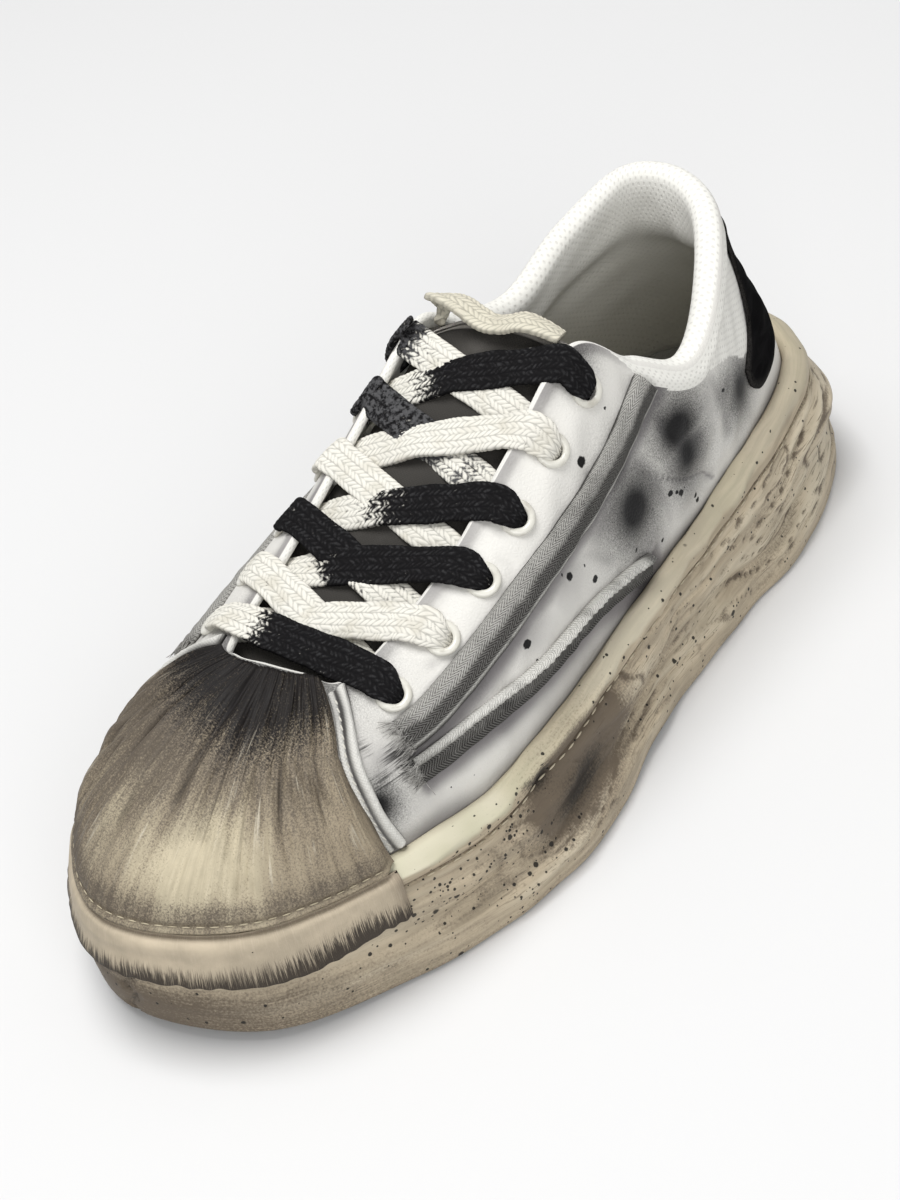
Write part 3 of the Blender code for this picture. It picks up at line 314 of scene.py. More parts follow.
    def face(self, u: np.ndarray, v: np.ndarray) -> np.ndarray:
        """Outer face of the upper at u round the foot and v up the section.

        Args:
            u: Places round the foot.
            v: Places up the section.

        Returns:
            A point for each place.
        """
        u, v = np.broadcast_arrays(np.asarray(u, float), np.asarray(v, float))
        foot, top, n = self.foot(u), self.top(u), self.out(u)
        low = foot + self.last("up", u)[..., None] * UP + self.last("out", u)[..., None] * n
        high = top - self.last("drop", u)[..., None] * UP + self.last("over", u)[..., None] * n
        t = v[..., None]
        return foot * (1 - t) ** 3 + 3 * low * t * (1 - t) ** 2 + 3 * high * t * t * (1 - t) + top * t**3

    def normal(self, u: np.ndarray, v: np.ndarray) -> np.ndarray:
        """Unit normal of the upper's outer face, pointing out.

        Args:
            u: Places round the foot.
            v: Places up the section.

        Returns:
            A vector for each place.
        """
        e = 2e-3
        du = self.face(u + e, v) - self.face(u - e, v)
        dv = self.face(u, v + e) - self.face(u, v - e)
        return unit(np.cross(dv, du))

    def mirrored(self, u: np.ndarray | float) -> np.ndarray:
        """The place on the medial side that faces u."""
        return np.interp(u, self.lateral_u, self.medial_u)

    def side(self, u: np.ndarray, side: Side) -> np.ndarray:
        """u itself on the lateral side, and its mirror place on the medial side."""
        return np.asarray(u, float) if side is Side.LATERAL else self.mirrored(u)

    def v_at_height(self, u: np.ndarray, z: np.ndarray) -> np.ndarray:
        """v at which the upper's section at u reaches the height z.

        Args:
            u: Places round the foot.
            z: The height at each place.

        Returns:
            v at each place.
        """
        v = np.linspace(0, 0.7, 141)
        heights = self.face(np.asarray(u)[:, None], v[None, :])[..., 2]
        wanted = np.broadcast_to(z, np.shape(u))
        return np.array([np.interp(target, row, v) for target, row in zip(wanted, heights)])

    def below_top(self, u: float, distance: float) -> float:
        """v at a distance down the section from the top line at u."""
        v = np.linspace(1, 0.3, 141)
        return float(np.interp(distance, lengths(self.face(np.full_like(v, u), v)), v))

    def rim_v(self, u: np.ndarray) -> np.ndarray:
        """v at which the cup's rim meets the upper."""
        return self.v_at_height(u, self.sole("rim_z", u) - 0.8 * MM)

    def padding(self, u: np.ndarray) -> np.ndarray:
        """1 along the padded collar, 0 along the throat."""
        from_heel = np.minimum(np.mod(u, 1.0), 1 - np.mod(u, 1.0))
        return 1 - smooth((from_heel - 0.232) / 0.05)

    def wall_at(self, u: np.ndarray, v: np.ndarray) -> np.ndarray:
        """Thickness of the upper."""
        return self.wall + self.collar_pad * self.padding(u) * smooth((v - 0.60) / 0.25)


FORM = Form()


# ---------------------------------------------------------------- making meshes
@dataclass
class Skin:
    """A surface as rows and columns of points, with its cloth coordinates and its painted marks.

    The last column repeats the first where the surface closes on itself.
    """

    points: np.ndarray
    uv: np.ndarray
    marks: dict[str, np.ndarray] = field(default_factory=dict)
    slots: np.ndarray | None = None


def deselect() -> None:
    """Leaves nothing selected and no piece in edit mode."""
    if bpy.context.object and bpy.context.object.mode != "OBJECT":
        bpy.ops.object.mode_set(mode="OBJECT")
    bpy.ops.object.select_all(action="DESELECT")


def edit(piece: bpy.types.Object, *steps: Callable[[], object]) -> None:
    """Runs edit-mode steps on the whole of one piece.

    Args:
        piece: The piece.
        steps: What to do, in order.
    """
    deselect()
    bpy.context.view_layer.objects.active = piece
    piece.select_set(True)
    bpy.ops.object.mode_set(mode="EDIT")
    bpy.ops.mesh.select_all(action="SELECT")
    for step in steps:
        step()
    bpy.ops.object.mode_set(mode="OBJECT")
    deselect()


def closed_round(points: np.ndarray) -> np.ndarray:
    """The rows with their first column repeated at the end."""
    return np.concatenate([points, points[:, :1]], axis=1)


def cloth_of(points: np.ndarray) -> np.ndarray:
    """Cloth coordinates in metres: distance down the rows and distance across the columns.

    Args:
        points: Rows and columns of points.

    Returns:
        A pair for each point.
    """
    down = lengths(points).mean(axis=1)
    across = lengths(points.transpose(1, 0, 2)).mean(axis=1)
    return np.stack(np.meshgrid(down, across, indexing="ij"), -1)


def sewn(name: str, skin: Skin, materials: Sequence[bpy.types.Material]) -> bpy.types.Object:
    """Shapes a grid into a skin, merges its seams, closes its ends and turns its faces out.

    Args:
        name: The piece's name.
        skin: Its points, cloth coordinates, marks and material slots.
        materials: Its materials, in slot order.

    Returns:
        The piece.
    """
    rows, columns = skin.points.shape[:2]
    deselect()
    bpy.ops.mesh.primitive_grid_add(x_subdivisions=columns - 1, y_subdivisions=rows - 1, size=1,
                                    calc_uvs=True)
    piece = bpy.context.object
    piece.name = name
    mesh = piece.data
    mesh.name = name
    mesh.vertices.foreach_set("co", skin.points.reshape(-1).astype(np.float32))
    corner = np.zeros(len(mesh.loops), np.int32)
    mesh.loops.foreach_get("vertex_index", corner)
    flat = skin.uv.reshape(-1, 2)[corner]
    mesh.uv_layers.active.data.foreach_set("uv", flat.reshape(-1).astype(np.float32))
    for mark, values in skin.marks.items():
        layer = mesh.attributes.new(mark, "FLOAT", "POINT")
        layer.data.foreach_set("value",
                               np.broadcast_to(values, (rows, columns)).reshape(-1).astype(np.float32))
    for each in materials:
        mesh.materials.append(each)
    if skin.slots is not None:
        mesh.polygons.foreach_set("material_index", skin.slots.reshape(-1).astype(np.int32))
    edit(piece,
         lambda: bpy.ops.mesh.remove_doubles(threshold=MERGE),
         lambda: bpy.ops.mesh.fill_holes(sides=0),
         lambda: bpy.ops.mesh.select_all(action="SELECT"),
         lambda: bpy.ops.mesh.normals_make_consistent(inside=False),
         lambda: bpy.ops.mesh.faces_shade_smooth())
    return piece


def slab_skin(outer: np.ndarray, inner: np.ndarray, marks: dict[str, np.ndarray] | None = None) -> Skin:
    """A skin right round a flat piece: its outer face, then its inner face back again.

    Args:
        outer: Rows of points of the outer face.
        inner: Rows of points of the inner face; it may have fewer columns.
        marks: Marks of the outer face; the inner face takes those of the nearer edge.

    Returns:
        The closed skin.
    """
    points = closed_round(np.concatenate([outer, inner[:, ::-1]], axis=1))
    uv = cloth_of(outer)
    spare = points.shape[1] - outer.shape[1]
    wrap = lambda a: np.concatenate([a, np.repeat(a[:, -1:], spare - 1, axis=1), a[:, :1]], axis=1)
    return Skin(points, wrap(uv), {key: wrap(values) for key, values in (marks or {}).items()})


def joined(name: str, pieces: Sequence[bpy.types.Object]) -> bpy.types.Object:
    """Several pieces as one mesh.

    Args:
        name: The mesh's name.
        pieces: The pieces; the first takes in the others.

    Returns:
        The joined piece.
    """
    deselect()
    for piece in pieces:
        piece.select_set(True)
    bpy.context.view_layer.objects.active = pieces[0]
    bpy.ops.object.join()
    pieces[0].name = name
    pieces[0].data.name = name
    return pieces[0]


def strewn(name: str, seed: bpy.types.Object, centres: np.ndarray, axes: np.ndarray,
           material: bpy.types.Material) -> bpy.types.Object:
    """Copies one small shape to many places, as one mesh, and removes the first shape.

    Args:
        name: The new piece's name.
        seed: The shape, about the origin, one unit across.
        centres: A place for each copy.
        axes: For each copy, three vectors that its x, y and z become.
        material: Its material.

    Returns:
        The piece.
    """
    shape = np.array([v.co for v in seed.data.vertices])
    faces = [tuple(p.vertices) for p in seed.data.polygons]
    points = centres[:, None] + np.einsum("vk,nkc->nvc", shape, axes)
    every = [tuple(n * len(shape) + i for i in face) for n in range(len(centres)) for face in faces]
    bpy.data.objects.remove(seed)
    mesh = bpy.data.meshes.new(name)
    mesh.from_pydata(points.reshape(-1, 3).tolist(), [], every)
    mesh.materials.append(material)
    mesh.shade_smooth()
    piece = bpy.data.objects.new(name, mesh)
    bpy.context.scene.collection.objects.link(piece)
    return piece


def seed_bead(segments: int = 8, rings: int = 5) -> bpy.types.Object:
    """A small ball to be copied and stretched.

    Args:
        segments: Faces round it.
        rings: Faces from end to end.

    Returns:
        The ball.
    """
    deselect()
    bpy.ops.mesh.primitive_uv_sphere_add(segments=segments, ring_count=rings, radius=0.5)
    return bpy.context.object


def stitches(name: str, line: np.ndarray, normal: np.ndarray, pitch: float, width: float, height: float,
             material: bpy.types.Material, share: float = 0.72, slant: float = 0.0) -> bpy.types.Object:
    """A row of stitches along a line, as one mesh.

    Args:
        name: The piece's name.
        line: Points along the seam.
        normal: The surface's normal at each point.
        pitch: From one stitch to the next, in metres.
        width: A stitch's width.
        height: A stitch's height.
        material: The thread.
        share: How much of the pitch a stitch covers.
        slant: How far each stitch leans across the seam.

    Returns:
        The piece.
    """
    run = lengths(line)
    at = np.arange(pitch / 2, run[-1], pitch)
    read = lambda a: np.stack([np.interp(at, run, a[:, k]) for k in range(3)], -1)
    centres, up = read(line), unit(read(normal))
    along = unit(read(np.gradient(line, axis=0)))
    across = unit(np.cross(up, along))
    lean = unit(along + slant * across)
    axes = np.stack([lean * pitch * share, unit(np.cross(up, lean)) * width, up * height], axis=1)
    return strewn(name, seed_bead(), centres, axes, material)


def settle(piece: bpy.types.Object, slot: str, *nodes: str) -> bpy.types.Object:
    """Puts a finished piece on the shoe: its body, and hides the solids that it stands for.

    Args:
        piece: The piece.
        slot: Its material slot; not used.
        nodes: The solids that it stands for.

    Returns:
        The same piece.
    """
    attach(piece, "root")
    if nodes:
        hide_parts(*nodes)
    log.info("%s: %d faces", piece.name, len(piece.data.polygons))
    return piece


# ---------------------------------------------------------------- nodes
class Signal:
    """A node's output, which can be reckoned with: each sign places the node that does the sum."""

    def __init__(self, wires: "Wires", socket: bpy.types.NodeSocket) -> None:
        """Holds an output and the tree's wires."""
        self.wires, self.socket = wires, socket

    def __add__(self, other: "Value") -> "Signal":
        """This plus the other."""
        return self.wires.sum("ADD", self, other)

    def __sub__(self, other: "Value") -> "Signal":
        """This less the other."""
        return self.wires.sum("SUBTRACT", self, other)

    def __rsub__(self, other: "Value") -> "Signal":
        """The other less this."""
        return self.wires.sum("SUBTRACT", other, self)

    def __mul__(self, other: "Value") -> "Signal":
        """This times the other."""
        return self.wires.sum("MULTIPLY", self, other)

    def __truediv__(self, other: "Value") -> "Signal":
        """This over the other."""
        return self.wires.sum("DIVIDE", self, other)

    __radd__, __rmul__ = __add__, __mul__


Value = Signal | float | Colour


class Wires:
    """Places and joins the nodes of one material or group."""

    def __init__(self, tree: bpy.types.NodeTree) -> None:
        """Starts on an empty tree."""
        self.tree = tree
        tree.nodes.clear()

    def add(self, kind: str, feeds: dict | None = None, **settings: object) -> bpy.types.Node:
        """Adds a node.

        Args:
            kind: Its type, without the ShaderNode in front.
            feeds: What goes into which input.
            settings: The node's own choices.

        Returns:
            The node.
        """
        node = self.tree.nodes.new(kind if kind.startswith("Node") else "ShaderNode" + kind)
        for key, value in settings.items():
            setattr(node, key, value)
        for key, value in (feeds or {}).items():
            self.feed(node.inputs[key], value)
        return node

    def feed(self, socket: bpy.types.NodeSocket, value: Value) -> None:
        """Joins a socket to an output, or sets it to a plain value.

        Args:
            socket: The input.
            value: What goes into it.
        """
        if isinstance(value, Signal):
            self.tree.links.new(value.socket, socket)
        elif socket.type == "RGBA":
            socket.default_value = (*value, 1.0)
        else:
            socket.default_value = value

    def out(self, node: bpy.types.Node, key: int | str = 0) -> Signal:
        """One of a node's outputs."""
        return Signal(self, node.outputs[key])

    def sum(self, operation: str, a: Value, b: Value = 0.0, c: Value = 0.0, clamp: bool = False) -> Signal:
        """One step of arithmetic, as its result."""
        return self.out(self.add("Math", {0: a, 1: b, 2: c}, operation=operation, use_clamp=clamp))

    def most(self, *values: Value) -> Signal:
        """The largest of several values.

        Args:
            values: The values.

        Returns:
            The largest.
        """
        top = values[0]
        for value in values[1:]:
            top = self.sum("MAXIMUM", top, value)
        return top

    def mix(self, share: Value, a: Value, b: Value) -> Signal:
        """Colour a where share is 0 and b where it is 1."""
        return self.out(self.add("Mix", {0: share, 6: a, 7: b}, data_type="RGBA", clamp_factor=True), 2)

    def span(self, value: Value, low: Value, high: Value, to_low: Value = 0.0,
             to_high: Value = 1.0) -> Signal:
        """A soft step: to_low below low, to_high above high."""
        feeds = {0: value, 1: low, 2: high, 3: to_low, 4: to_high}
        return self.out(self.add("MapRange", feeds, interpolation_type="SMOOTHSTEP"))

    def noise(self, vector: Signal, scale: Value, detail: float = 2.0, rough: float = 0.5,
              twist: float = 0.0) -> Signal:
        """Cloudy unevenness from 0 to 1."""
        feeds = {"Vector": vector, "Scale": scale, "Detail": detail, "Roughness": rough, "Distortion": twist}
        return self.out(self.add("TexNoise", feeds), "Fac")

    def cells(self, vector: Signal, scale: Value, feature: str = "F1") -> bpy.types.Node:
        """Scattered cells."""
        return self.add("TexVoronoi", {"Vector": vector, "Scale": scale}, feature=feature)

    def mark(self, name: str) -> Signal:
        """A mark painted on the piece's points."""
        return self.out(self.add("Attribute", attribute_name=name), "Fac")

    def place(self) -> Signal:
        """Position in the shoe's own frame."""
        return self.out(self.add("TexCoord"), "Object")

    def cloth(self) -> Signal:
        """Position on the cloth, in metres."""
        return self.out(self.add("TexCoord"), "UV")

    def stretch(self, vector: Signal, scale: tuple[float, float, float]) -> Signal:
        """A vector stretched along its axes."""
        return self.out(self.add("Mapping", {"Vector": vector, "Scale": scale}))

    def shift(self, operation: str, a: Value, b: Value = (0.0, 0.0, 0.0), key: int | str = 0) -> Signal:
        """One step of vector arithmetic, as one of its results."""
        return self.out(self.add("VectorMath", {0: a, 1: b}, operation=operation), key)

    def split(self, vector: Signal) -> tuple[Signal, Signal, Signal]:
        """The three parts of a vector."""
        node = self.add("SeparateXYZ", {0: vector})
        return self.out(node, 0), self.out(node, 1), self.out(node, 2)

    def group(self, tree: bpy.types.NodeTree, **feeds: Value) -> bpy.types.Node:
        """Places a shared effect, with its own values.

        Args:
            tree: The effect.
            feeds: What goes into its inputs.

        Returns:
            The node.
        """
        node = self.add("Group", node_tree=tree)
        for key, value in feeds.items():
            self.feed(node.inputs[key], value)
        return node


class Effects:
    """Effects that several finishes share, each built once as a node group."""

    @staticmethod
    def _new(name: str, inputs: Sequence[tuple[str, str, object]],
             outputs: Sequence[str]) -> tuple[bpy.types.NodeTree, Wires, dict[str, Signal]]:
        """An empty group with named sockets.

        Args:
            name: The group's name.
            inputs: Each input's name, kind and usual value.
            outputs: The names of its outputs, all plain values.

        Returns:
            The group, its wires and the output of its inputs.
        """
        tree = bpy.data.node_groups.new(name, "ShaderNodeTree")
        for title, kind, usual in inputs:
            socket = tree.interface.new_socket(title, in_out="INPUT", socket_type="NodeSocket" + kind)
            if usual is not None:
                socket.default_value = usual
        for title in outputs:
            tree.interface.new_socket(title, in_out="OUTPUT", socket_type="NodeSocketFloat")
        wires = Wires(tree)
        given = wires.add("NodeGroupInput")
        return tree, wires, {title: wires.out(given, title) for title, _, _ in inputs}

    @staticmethod
    def _end(wires: Wires, **values: Value) -> None:
        """Feeds a group's outputs.

        Args:
            wires: The group's wires.
            values: What each output gives.
        """
        last = wires.add("NodeGroupOutput")
        for key, value in values.items():
            wires.feed(last.inputs[key], value)

    @staticmethod
    @cache
    def specks() -> bpy.types.NodeTree:
        """Flicked ink: round drops of many sizes, more of them where Amount is high.

        Returns:
            The group.
        """
        tree, w, given = Effects._new("specks", [("Vector", "Vector", None), ("Scale", "Float", 300.0),
                                                 ("Size", "Float", 0.3), ("Amount", "Float", 0.1)],
                                      ["Mask"])
        cell = w.cells(given["Vector"], given["Scale"])
        tone = w.add("SeparateColor", {0: w.out(cell, "Color")})
        size = given["Size"] * (0.25 + w.out(tone) * (w.out(tone) * 0.9))
        ragged = w.noise(given["Vector"], given["Scale"] * 5.0)
        edge = w.out(cell, "Distance") + (ragged - 0.5) * 0.12
        drop = w.span(edge, size, size * 0.72)
        there = w.sum("LESS_THAN", w.out(tone, 1), given["Amount"])
        Effects._end(w, Mask=drop * there)
        return tree

    @staticmethod
    @cache
    def soot() -> bpy.types.NodeTree:
        """Sprayed soot: a soft mark that breaks up into fine speckle towards its edge.

        Returns:
            The group.
        """
        tree, w, given = Effects._new("soot", [("Vector", "Vector", None), ("Amount", "Float", 0.0),
                                               ("Grain", "Float", 2500.0), ("Speckle", "Float", 0.5)],
                                      ["Mask"])
        fine = w.noise(given["Vector"], given["Grain"], 3.0, 0.7)
        edge = given["Amount"] * (1.0 - given["Amount"]) * 4.0
        spread = (fine - 0.5) * (given["Speckle"] * 3.0 * edge)
        Effects._end(w, Mask=w.sum("ADD", given["Amount"], spread, clamp=True))
        return tree

    @staticmethod
    @cache
    def pores() -> bpy.types.NodeTree:
        """Fine leather grain: small plump cells between shallow wrinkles.

        Returns:
            The group.
        """
        tree, w, given = Effects._new("pores", [("Vector", "Vector", None), ("Scale", "Float", 900.0)],
                                      ["Height"])
        warp = w.add("TexNoise", {"Vector": given["Vector"], "Scale": 260.0})
        moved = w.shift("MULTIPLY", w.out(warp, "Color"), (0.0012, 0.0012, 0.0012))
        spot = w.shift("ADD", given["Vector"], moved)
        cell = w.out(w.cells(spot, given["Scale"], "DISTANCE_TO_EDGE"), "Distance")
        plump = w.span(cell, 0.0, 0.28)
        broad = w.noise(given["Vector"], 180.0, 3.0)
        Effects._end(w, Height=plump * 0.7 + broad * 0.6)
        return tree

    @staticmethod
    @cache
    def twill() -> bpy.types.NodeTree:
        """Herringbone tape: slanting ribs that turn back in columns. U runs along the tape, V across.

        Returns:
            The group.
        """
        tree, w, given = Effects._new("twill", [("Vector", "Vector", None), ("Rib", "Float", 0.0011),
                                                ("Column", "Float", 0.003)], ["Height", "Tone"])
        along, across, _ = w.split(given["Vector"])
        fold = w.sum("PINGPONG", across / given["Column"], 1.0)
        phase = along / given["Rib"] + fold * 2.2
        rib = w.sum("ABSOLUTE", w.sum("SINE", phase * math.pi))
        weft = w.sum("ABSOLUTE", w.sum("SINE", across * (math.pi / 0.0005)))
        tone = w.noise(w.out(w.add("CombineXYZ", {0: w.sum("FLOOR", phase), 1: fold})), 3.1, 0.0)
        Effects._end(w, Height=rib + weft * 0.3, Tone=tone)
        return tree

    @staticmethod
    @cache
    def knit() -> bpy.types.NodeTree:
        """Spacer mesh: small round holes in offset rows.

        Returns:
            The group.
        """
        tree, w, given = Effects._new("knit", [("Vector", "Vector", None), ("Pitch", "Float", 0.0023)],
                                      ["Height"])
        along, across, _ = w.split(given["Vector"])
        down, over = [w.sum("COSINE", x / given["Pitch"] * (2 * math.pi)) for x in (along, across)]
        Effects._end(w, Height=w.span(down * over, 0.85, 0.25))
        return tree


@dataclass(frozen=True)
class Finish:
    """A surface's look. Its own sockets are set once; paint() gives what varies over the surface."""

    name: str
    roughness: float = 0.6
    bump: float = 0.4
    depth: float = 0.2 * MM
    coat: float = 0.0
    sheen: float = 0.0
    specular: float = 0.5

    def paint(self, w: Wires) -> dict[str, Value]:
        """What feeds Base Color, Roughness and the bump's Height."""
        raise NotImplementedError

    def material(self) -> bpy.types.Material:
        """The material, built from paint().

        Returns:
            The material.
        """
        mat = bpy.data.materials.new(self.name)
        mat.use_nodes = True
        w = Wires(mat.node_tree)
        painted = self.paint(w)
        shader = w.add("BsdfPrincipled", {"Roughness": self.roughness, "Coat Weight": self.coat,
                                          "Sheen Weight": self.sheen, "Specular IOR Level": self.specular,
                                          "Coat Roughness": 0.25, "Sheen Roughness": 0.6})
        height = painted.pop("Height", None)
        for key, value in painted.items():
            w.feed(shader.inputs[key], value)
        if height is not None:
            bump = w.add("Bump", {"Strength": self.bump, "Distance": self.depth, "Height": height})
            w.feed(shader.inputs["Normal"], w.out(bump))
        w.add("OutputMaterial", {0: w.out(shader)})
        return mat


# ---------------------------------------------------------------- finishes
@dataclass(frozen=True)
class Leather(Finish):
    """White leather: fine grain, lavender-grey shade in the folds, sprayed soot and flicked ink."""

    tint: Colour = (0.72, 0.705, 0.665)
    shaded: Colour = (0.115, 0.104, 0.112)
    ink: Colour = (0.003, 0.0027, 0.003)
    drops: tuple = ()

    def paint(self, w: Wires) -> dict[str, Value]:
        """Shade, soot and drops over a warm white.

        Args:
            w: The material's wires.

        Returns:
            What feeds the shader's inputs and the bump's height.
        """
        place = w.place()
        cloudy = w.noise(place, 45.0, 3.0)
        shade = w.span(w.mark("shade") + (cloudy - 0.5) * 0.5, 0.12, 0.95)
        soot = w.out(w.group(Effects.soot(), Vector=place, Amount=w.mark("soot"), Grain=2600.0,
                             Speckle=0.5))
        strands = w.noise(w.stretch(w.cloth(), (1500.0, 110.0, 1.0)), 1.0, 3.0, 0.6, 0.5)
        brushed = w.span(w.mark("strand") + (strands - 0.5) * 2.4, 0.52, 1.2)
        many = 0.035 + w.mark("splash") * 0.5
        fine = w.out(w.group(Effects.specks(), Vector=place, Scale=260.0, Size=0.16, Amount=many))
        ragged = w.out(w.add("TexNoise", {"Vector": place, "Scale": 900.0}), "Color")
        spot = w.shift("ADD", place, w.shift("MULTIPLY", ragged, (0.0012, 0.0012, 0.0012)))
        drops = fine
        for centre, radius in self.drops:
            moved = tuple(c + 0.0006 for c in centre)
            far = w.shift("DISTANCE", spot, moved, "Value")
            drops = w.most(drops, w.span(far, radius, radius * 0.75))
        colour = w.mix(cloudy * 0.35, self.tint, toned(self.tint, 0.86))
        colour = w.mix(shade * 0.88, colour, self.shaded)
        colour = w.mix(brushed * 0.93, colour, self.ink)
        colour = w.mix(soot, colour, self.ink)
        colour = w.mix(drops, colour, self.ink)
        pores = w.out(w.group(Effects.pores(), Vector=place))
        rough = self.roughness + (w.noise(place, 120.0) - 0.5) * 0.2
        return {"Base Color": colour, "Roughness": rough, "Height": pores}


@dataclass(frozen=True)
class Lining(Finish):
    """Spacer knit on the collar's roll, greyed down inside by painted shade."""

    tint: Colour = (0.79, 0.78, 0.735)
    # inside: the painted shade that the knit takes deep in the shoe
    inside: Colour = (0.52, 0.50, 0.43)

    def paint(self, w: Wires) -> dict[str, Value]:
        """Darkened knit holes over a tint that darkens inwards: both are painted shade.

        Args:
            w: The material's wires.

        Returns:
            What feeds the shader's inputs and the bump's height.
        """
        knit = w.out(w.group(Effects.knit(), Vector=w.cloth()))
        cloudy = w.noise(w.place(), 40.0, 4.0)
        # Painted shade: the knit darkens towards the inside of the shoe, where Deep is high.
        deep = w.span(w.mark("deep") + (cloudy - 0.5) * 0.3, 0.0, 1.0)
        colour = w.mix(deep, self.tint, self.inside)
        # Painted shade in the knit's holes, strongest on the roll.
        holes = (1.0 - knit) * w.span(w.mark("deep"), 0.3, 0.05, 0.03, 0.18)
        colour = w.mix(holes, colour, toned(self.inside, 0.4))
        return {"Base Color": colour, "Height": knit}


@dataclass(frozen=True)
class CapRubber(Finish):
    """Cream rubber: painted shade in the valleys, charcoal sprayed over the top, painted highlights."""

    cream: Colour = (0.54, 0.475, 0.34)
    brown: Colour = (0.085, 0.070, 0.056)
    char: Colour = (0.007, 0.006, 0.0065)

    def paint(self, w: Wires) -> dict[str, Value]:
        """Three tones led by height up the cap and by the flutes.

        Args:
            w: The material's wires.

        Returns:
            What feeds the shader's inputs and the bump's height.
        """
        place = w.place()
        cloudy = w.noise(place, 60.0, 4.0, 0.6)
        streak = w.noise(w.stretch(w.cloth(), (1100.0, 55.0, 1.0)), 1.0, 4.0, 0.65)
        broad = w.noise(w.stretch(w.cloth(), (240.0, 26.0, 1.0)), 1.0, 3.0, 0.6)
        grain = w.noise(place, 2100.0, 3.0, 0.7)
        ridge = w.mark("ridge")
        colour = w.mix(w.span(cloudy + (streak - 0.5) * 0.8, 0.3, 0.75), toned(self.cream, 0.74),
                       self.cream)
        # The Tan mark is left out under the painted pool of light, which stays cream.
        tan_and_highlight = w.mark("tan") + (broad - 0.5) * 1.1
        colour = w.mix(w.span(tan_and_highlight, 0.15, 0.95) * 0.85, colour, (0.27, 0.22, 0.155))
        # Brown speckle follows the grime mark, which thins under the painted pool of light.
        dust = w.mark("grime_and_painted_light") + ((broad - 0.5) * 0.8 + (streak - 0.5) * 0.7)
        bar = w.span((grain - 0.5) * 1.9 - (0.5 - dust), -0.42, 0.4)
        colour = w.mix(bar * 0.9, colour, self.brown)
        # Painted shade in the flutes' valleys.
        valley = w.span(ridge + (streak - 0.5) * 0.5, 0.45, 0.0)
        colour = w.mix(valley * 0.72, colour, toned(self.brown, 0.55))
        top = w.mark("soot") + ((broad - 0.5) * 0.5 + (grain - 0.5) * 1.5)
        colour = w.mix(w.span(top, 0.28, 0.92) * 0.96, colour, self.char)
        # Painted highlight: pale lines along the flutes' crests, where the Worn mark allows.
        ridge_highlight = w.span(ridge + (streak - 0.5) * 1.3, 1.02, 1.25) * w.mark("worn")
        colour = w.mix(ridge_highlight * 0.6, colour, (0.6, 0.55, 0.44))
        colour = w.mix(w.mark("edge") * 0.55, colour, (0.1, 0.078, 0.055))
        rough = self.roughness + (cloudy - 0.5) * 0.25
        height = streak * 0.7 + w.noise(place, 700.0, 2.0)
        return {"Base Color": colour, "Roughness": rough, "Height": height}


@dataclass(frozen=True)
class CupRubber(Finish):
    """Aged rubber: a cream rim, tan streaks, brown grime, painted shade and highlights, black splatter."""

    rim: Colour = (0.59, 0.55, 0.43)
    tan: Colour = (0.47, 0.395, 0.285)
    brown: Colour = (0.105, 0.080, 0.056)
    dark: Colour = (0.012, 0.010, 0.008)

    def paint(self, w: Wires) -> dict[str, Value]:
        """Streaks run along the sole; marks darken hollows and creases, partly as painted shade.

        Args:
            w: The material's wires.

        Returns:
            What feeds the shader's inputs and the bump's height.
        """
        place = w.place()
        flow = w.noise(w.stretch(w.cloth(), (30.0, 420.0, 1.0)), 1.0, 5.0, 0.58, 0.5)
        fine = w.noise(w.stretch(w.cloth(), (110.0, 2300.0, 1.0)), 1.0, 3.0, 0.6, 0.3)
        cloudy = w.noise(place, 38.0, 4.0, 0.6)
        grain = w.noise(place, 1500.0, 2.0, 0.6)
        colour = w.mix(w.span(flow + (cloudy - 0.5) * 0.6, 0.32, 0.7), toned(self.tan, 0.74),
                       toned(self.tan, 1.1))
        # Pale: the painted highlight on the wall's bulges.
        colour = w.mix(w.mark("pale") * w.span(cloudy, 0.2, 0.6), colour, (0.57, 0.505, 0.385))
        colour = w.mix(w.span(cloudy, 0.5, 0.75) * 0.4, colour, (0.34, 0.29, 0.21))
        rim = w.mix(w.span(w.noise(place, 30.0, 3.0), 0.4, 0.62), self.rim, (0.5, 0.475, 0.34))
        colour = w.mix(w.mark("rim"), colour, rim)
        green = w.mark("rim") * w.span(w.noise(place, 22.0), 0.52, 0.68)
        colour = w.mix(green * 0.22, colour, (0.44, 0.47, 0.29))
        lines = w.span(fine, 0.46, 0.34) * (w.mark("flow") * w.span(cloudy, 0.38, 0.56))
        colour = w.mix(lines * 0.68, colour, self.brown)
        # Brown grime: dirt, and painted shade in the creases and valleys.
        grime_and_painted_light = w.mark("grime_and_painted_light") + ((fine - 0.5) * 0.6 + (grain - 0.5) * 0.9)
        grimy_and_shaded = w.span(grime_and_painted_light, 0.1, 0.88)
        colour = w.mix(grimy_and_shaded * 0.92, colour, self.brown)
        black = w.mark("black") + ((fine - 0.5) * 0.5 + (grain - 0.5) * 0.8)
        colour = w.mix(w.span(black, 0.22, 0.95) * 0.9, colour, self.dark)
        splash = w.mark("splash")
        sizes = ((400.0, 0.38, splash * 0.75), (230.0, 0.3, splash * 0.42),
                 (820.0, 0.44, 0.03 + splash * 0.8))
        specks = [w.out(w.group(Effects.specks(), Vector=place, Scale=scale, Size=size, Amount=many))
                  for scale, size, many in sizes]
        drops = w.most(*specks)
        colour = w.mix(drops * 0.95, colour, self.dark)
        scuff = w.span(fine, 0.66, 0.75) * w.span(w.noise(place, 55.0), 0.5, 0.7)
        colour = w.mix(scuff * 0.5, colour, (0.6, 0.54, 0.43))
        rough = self.roughness + (flow - 0.5) * 0.3
        height = flow * 0.6 + fine * 0.4 + w.noise(place, 900.0, 2.0) * 0.35
        return {"Base Color": colour, "Roughness": rough, "Height": height}


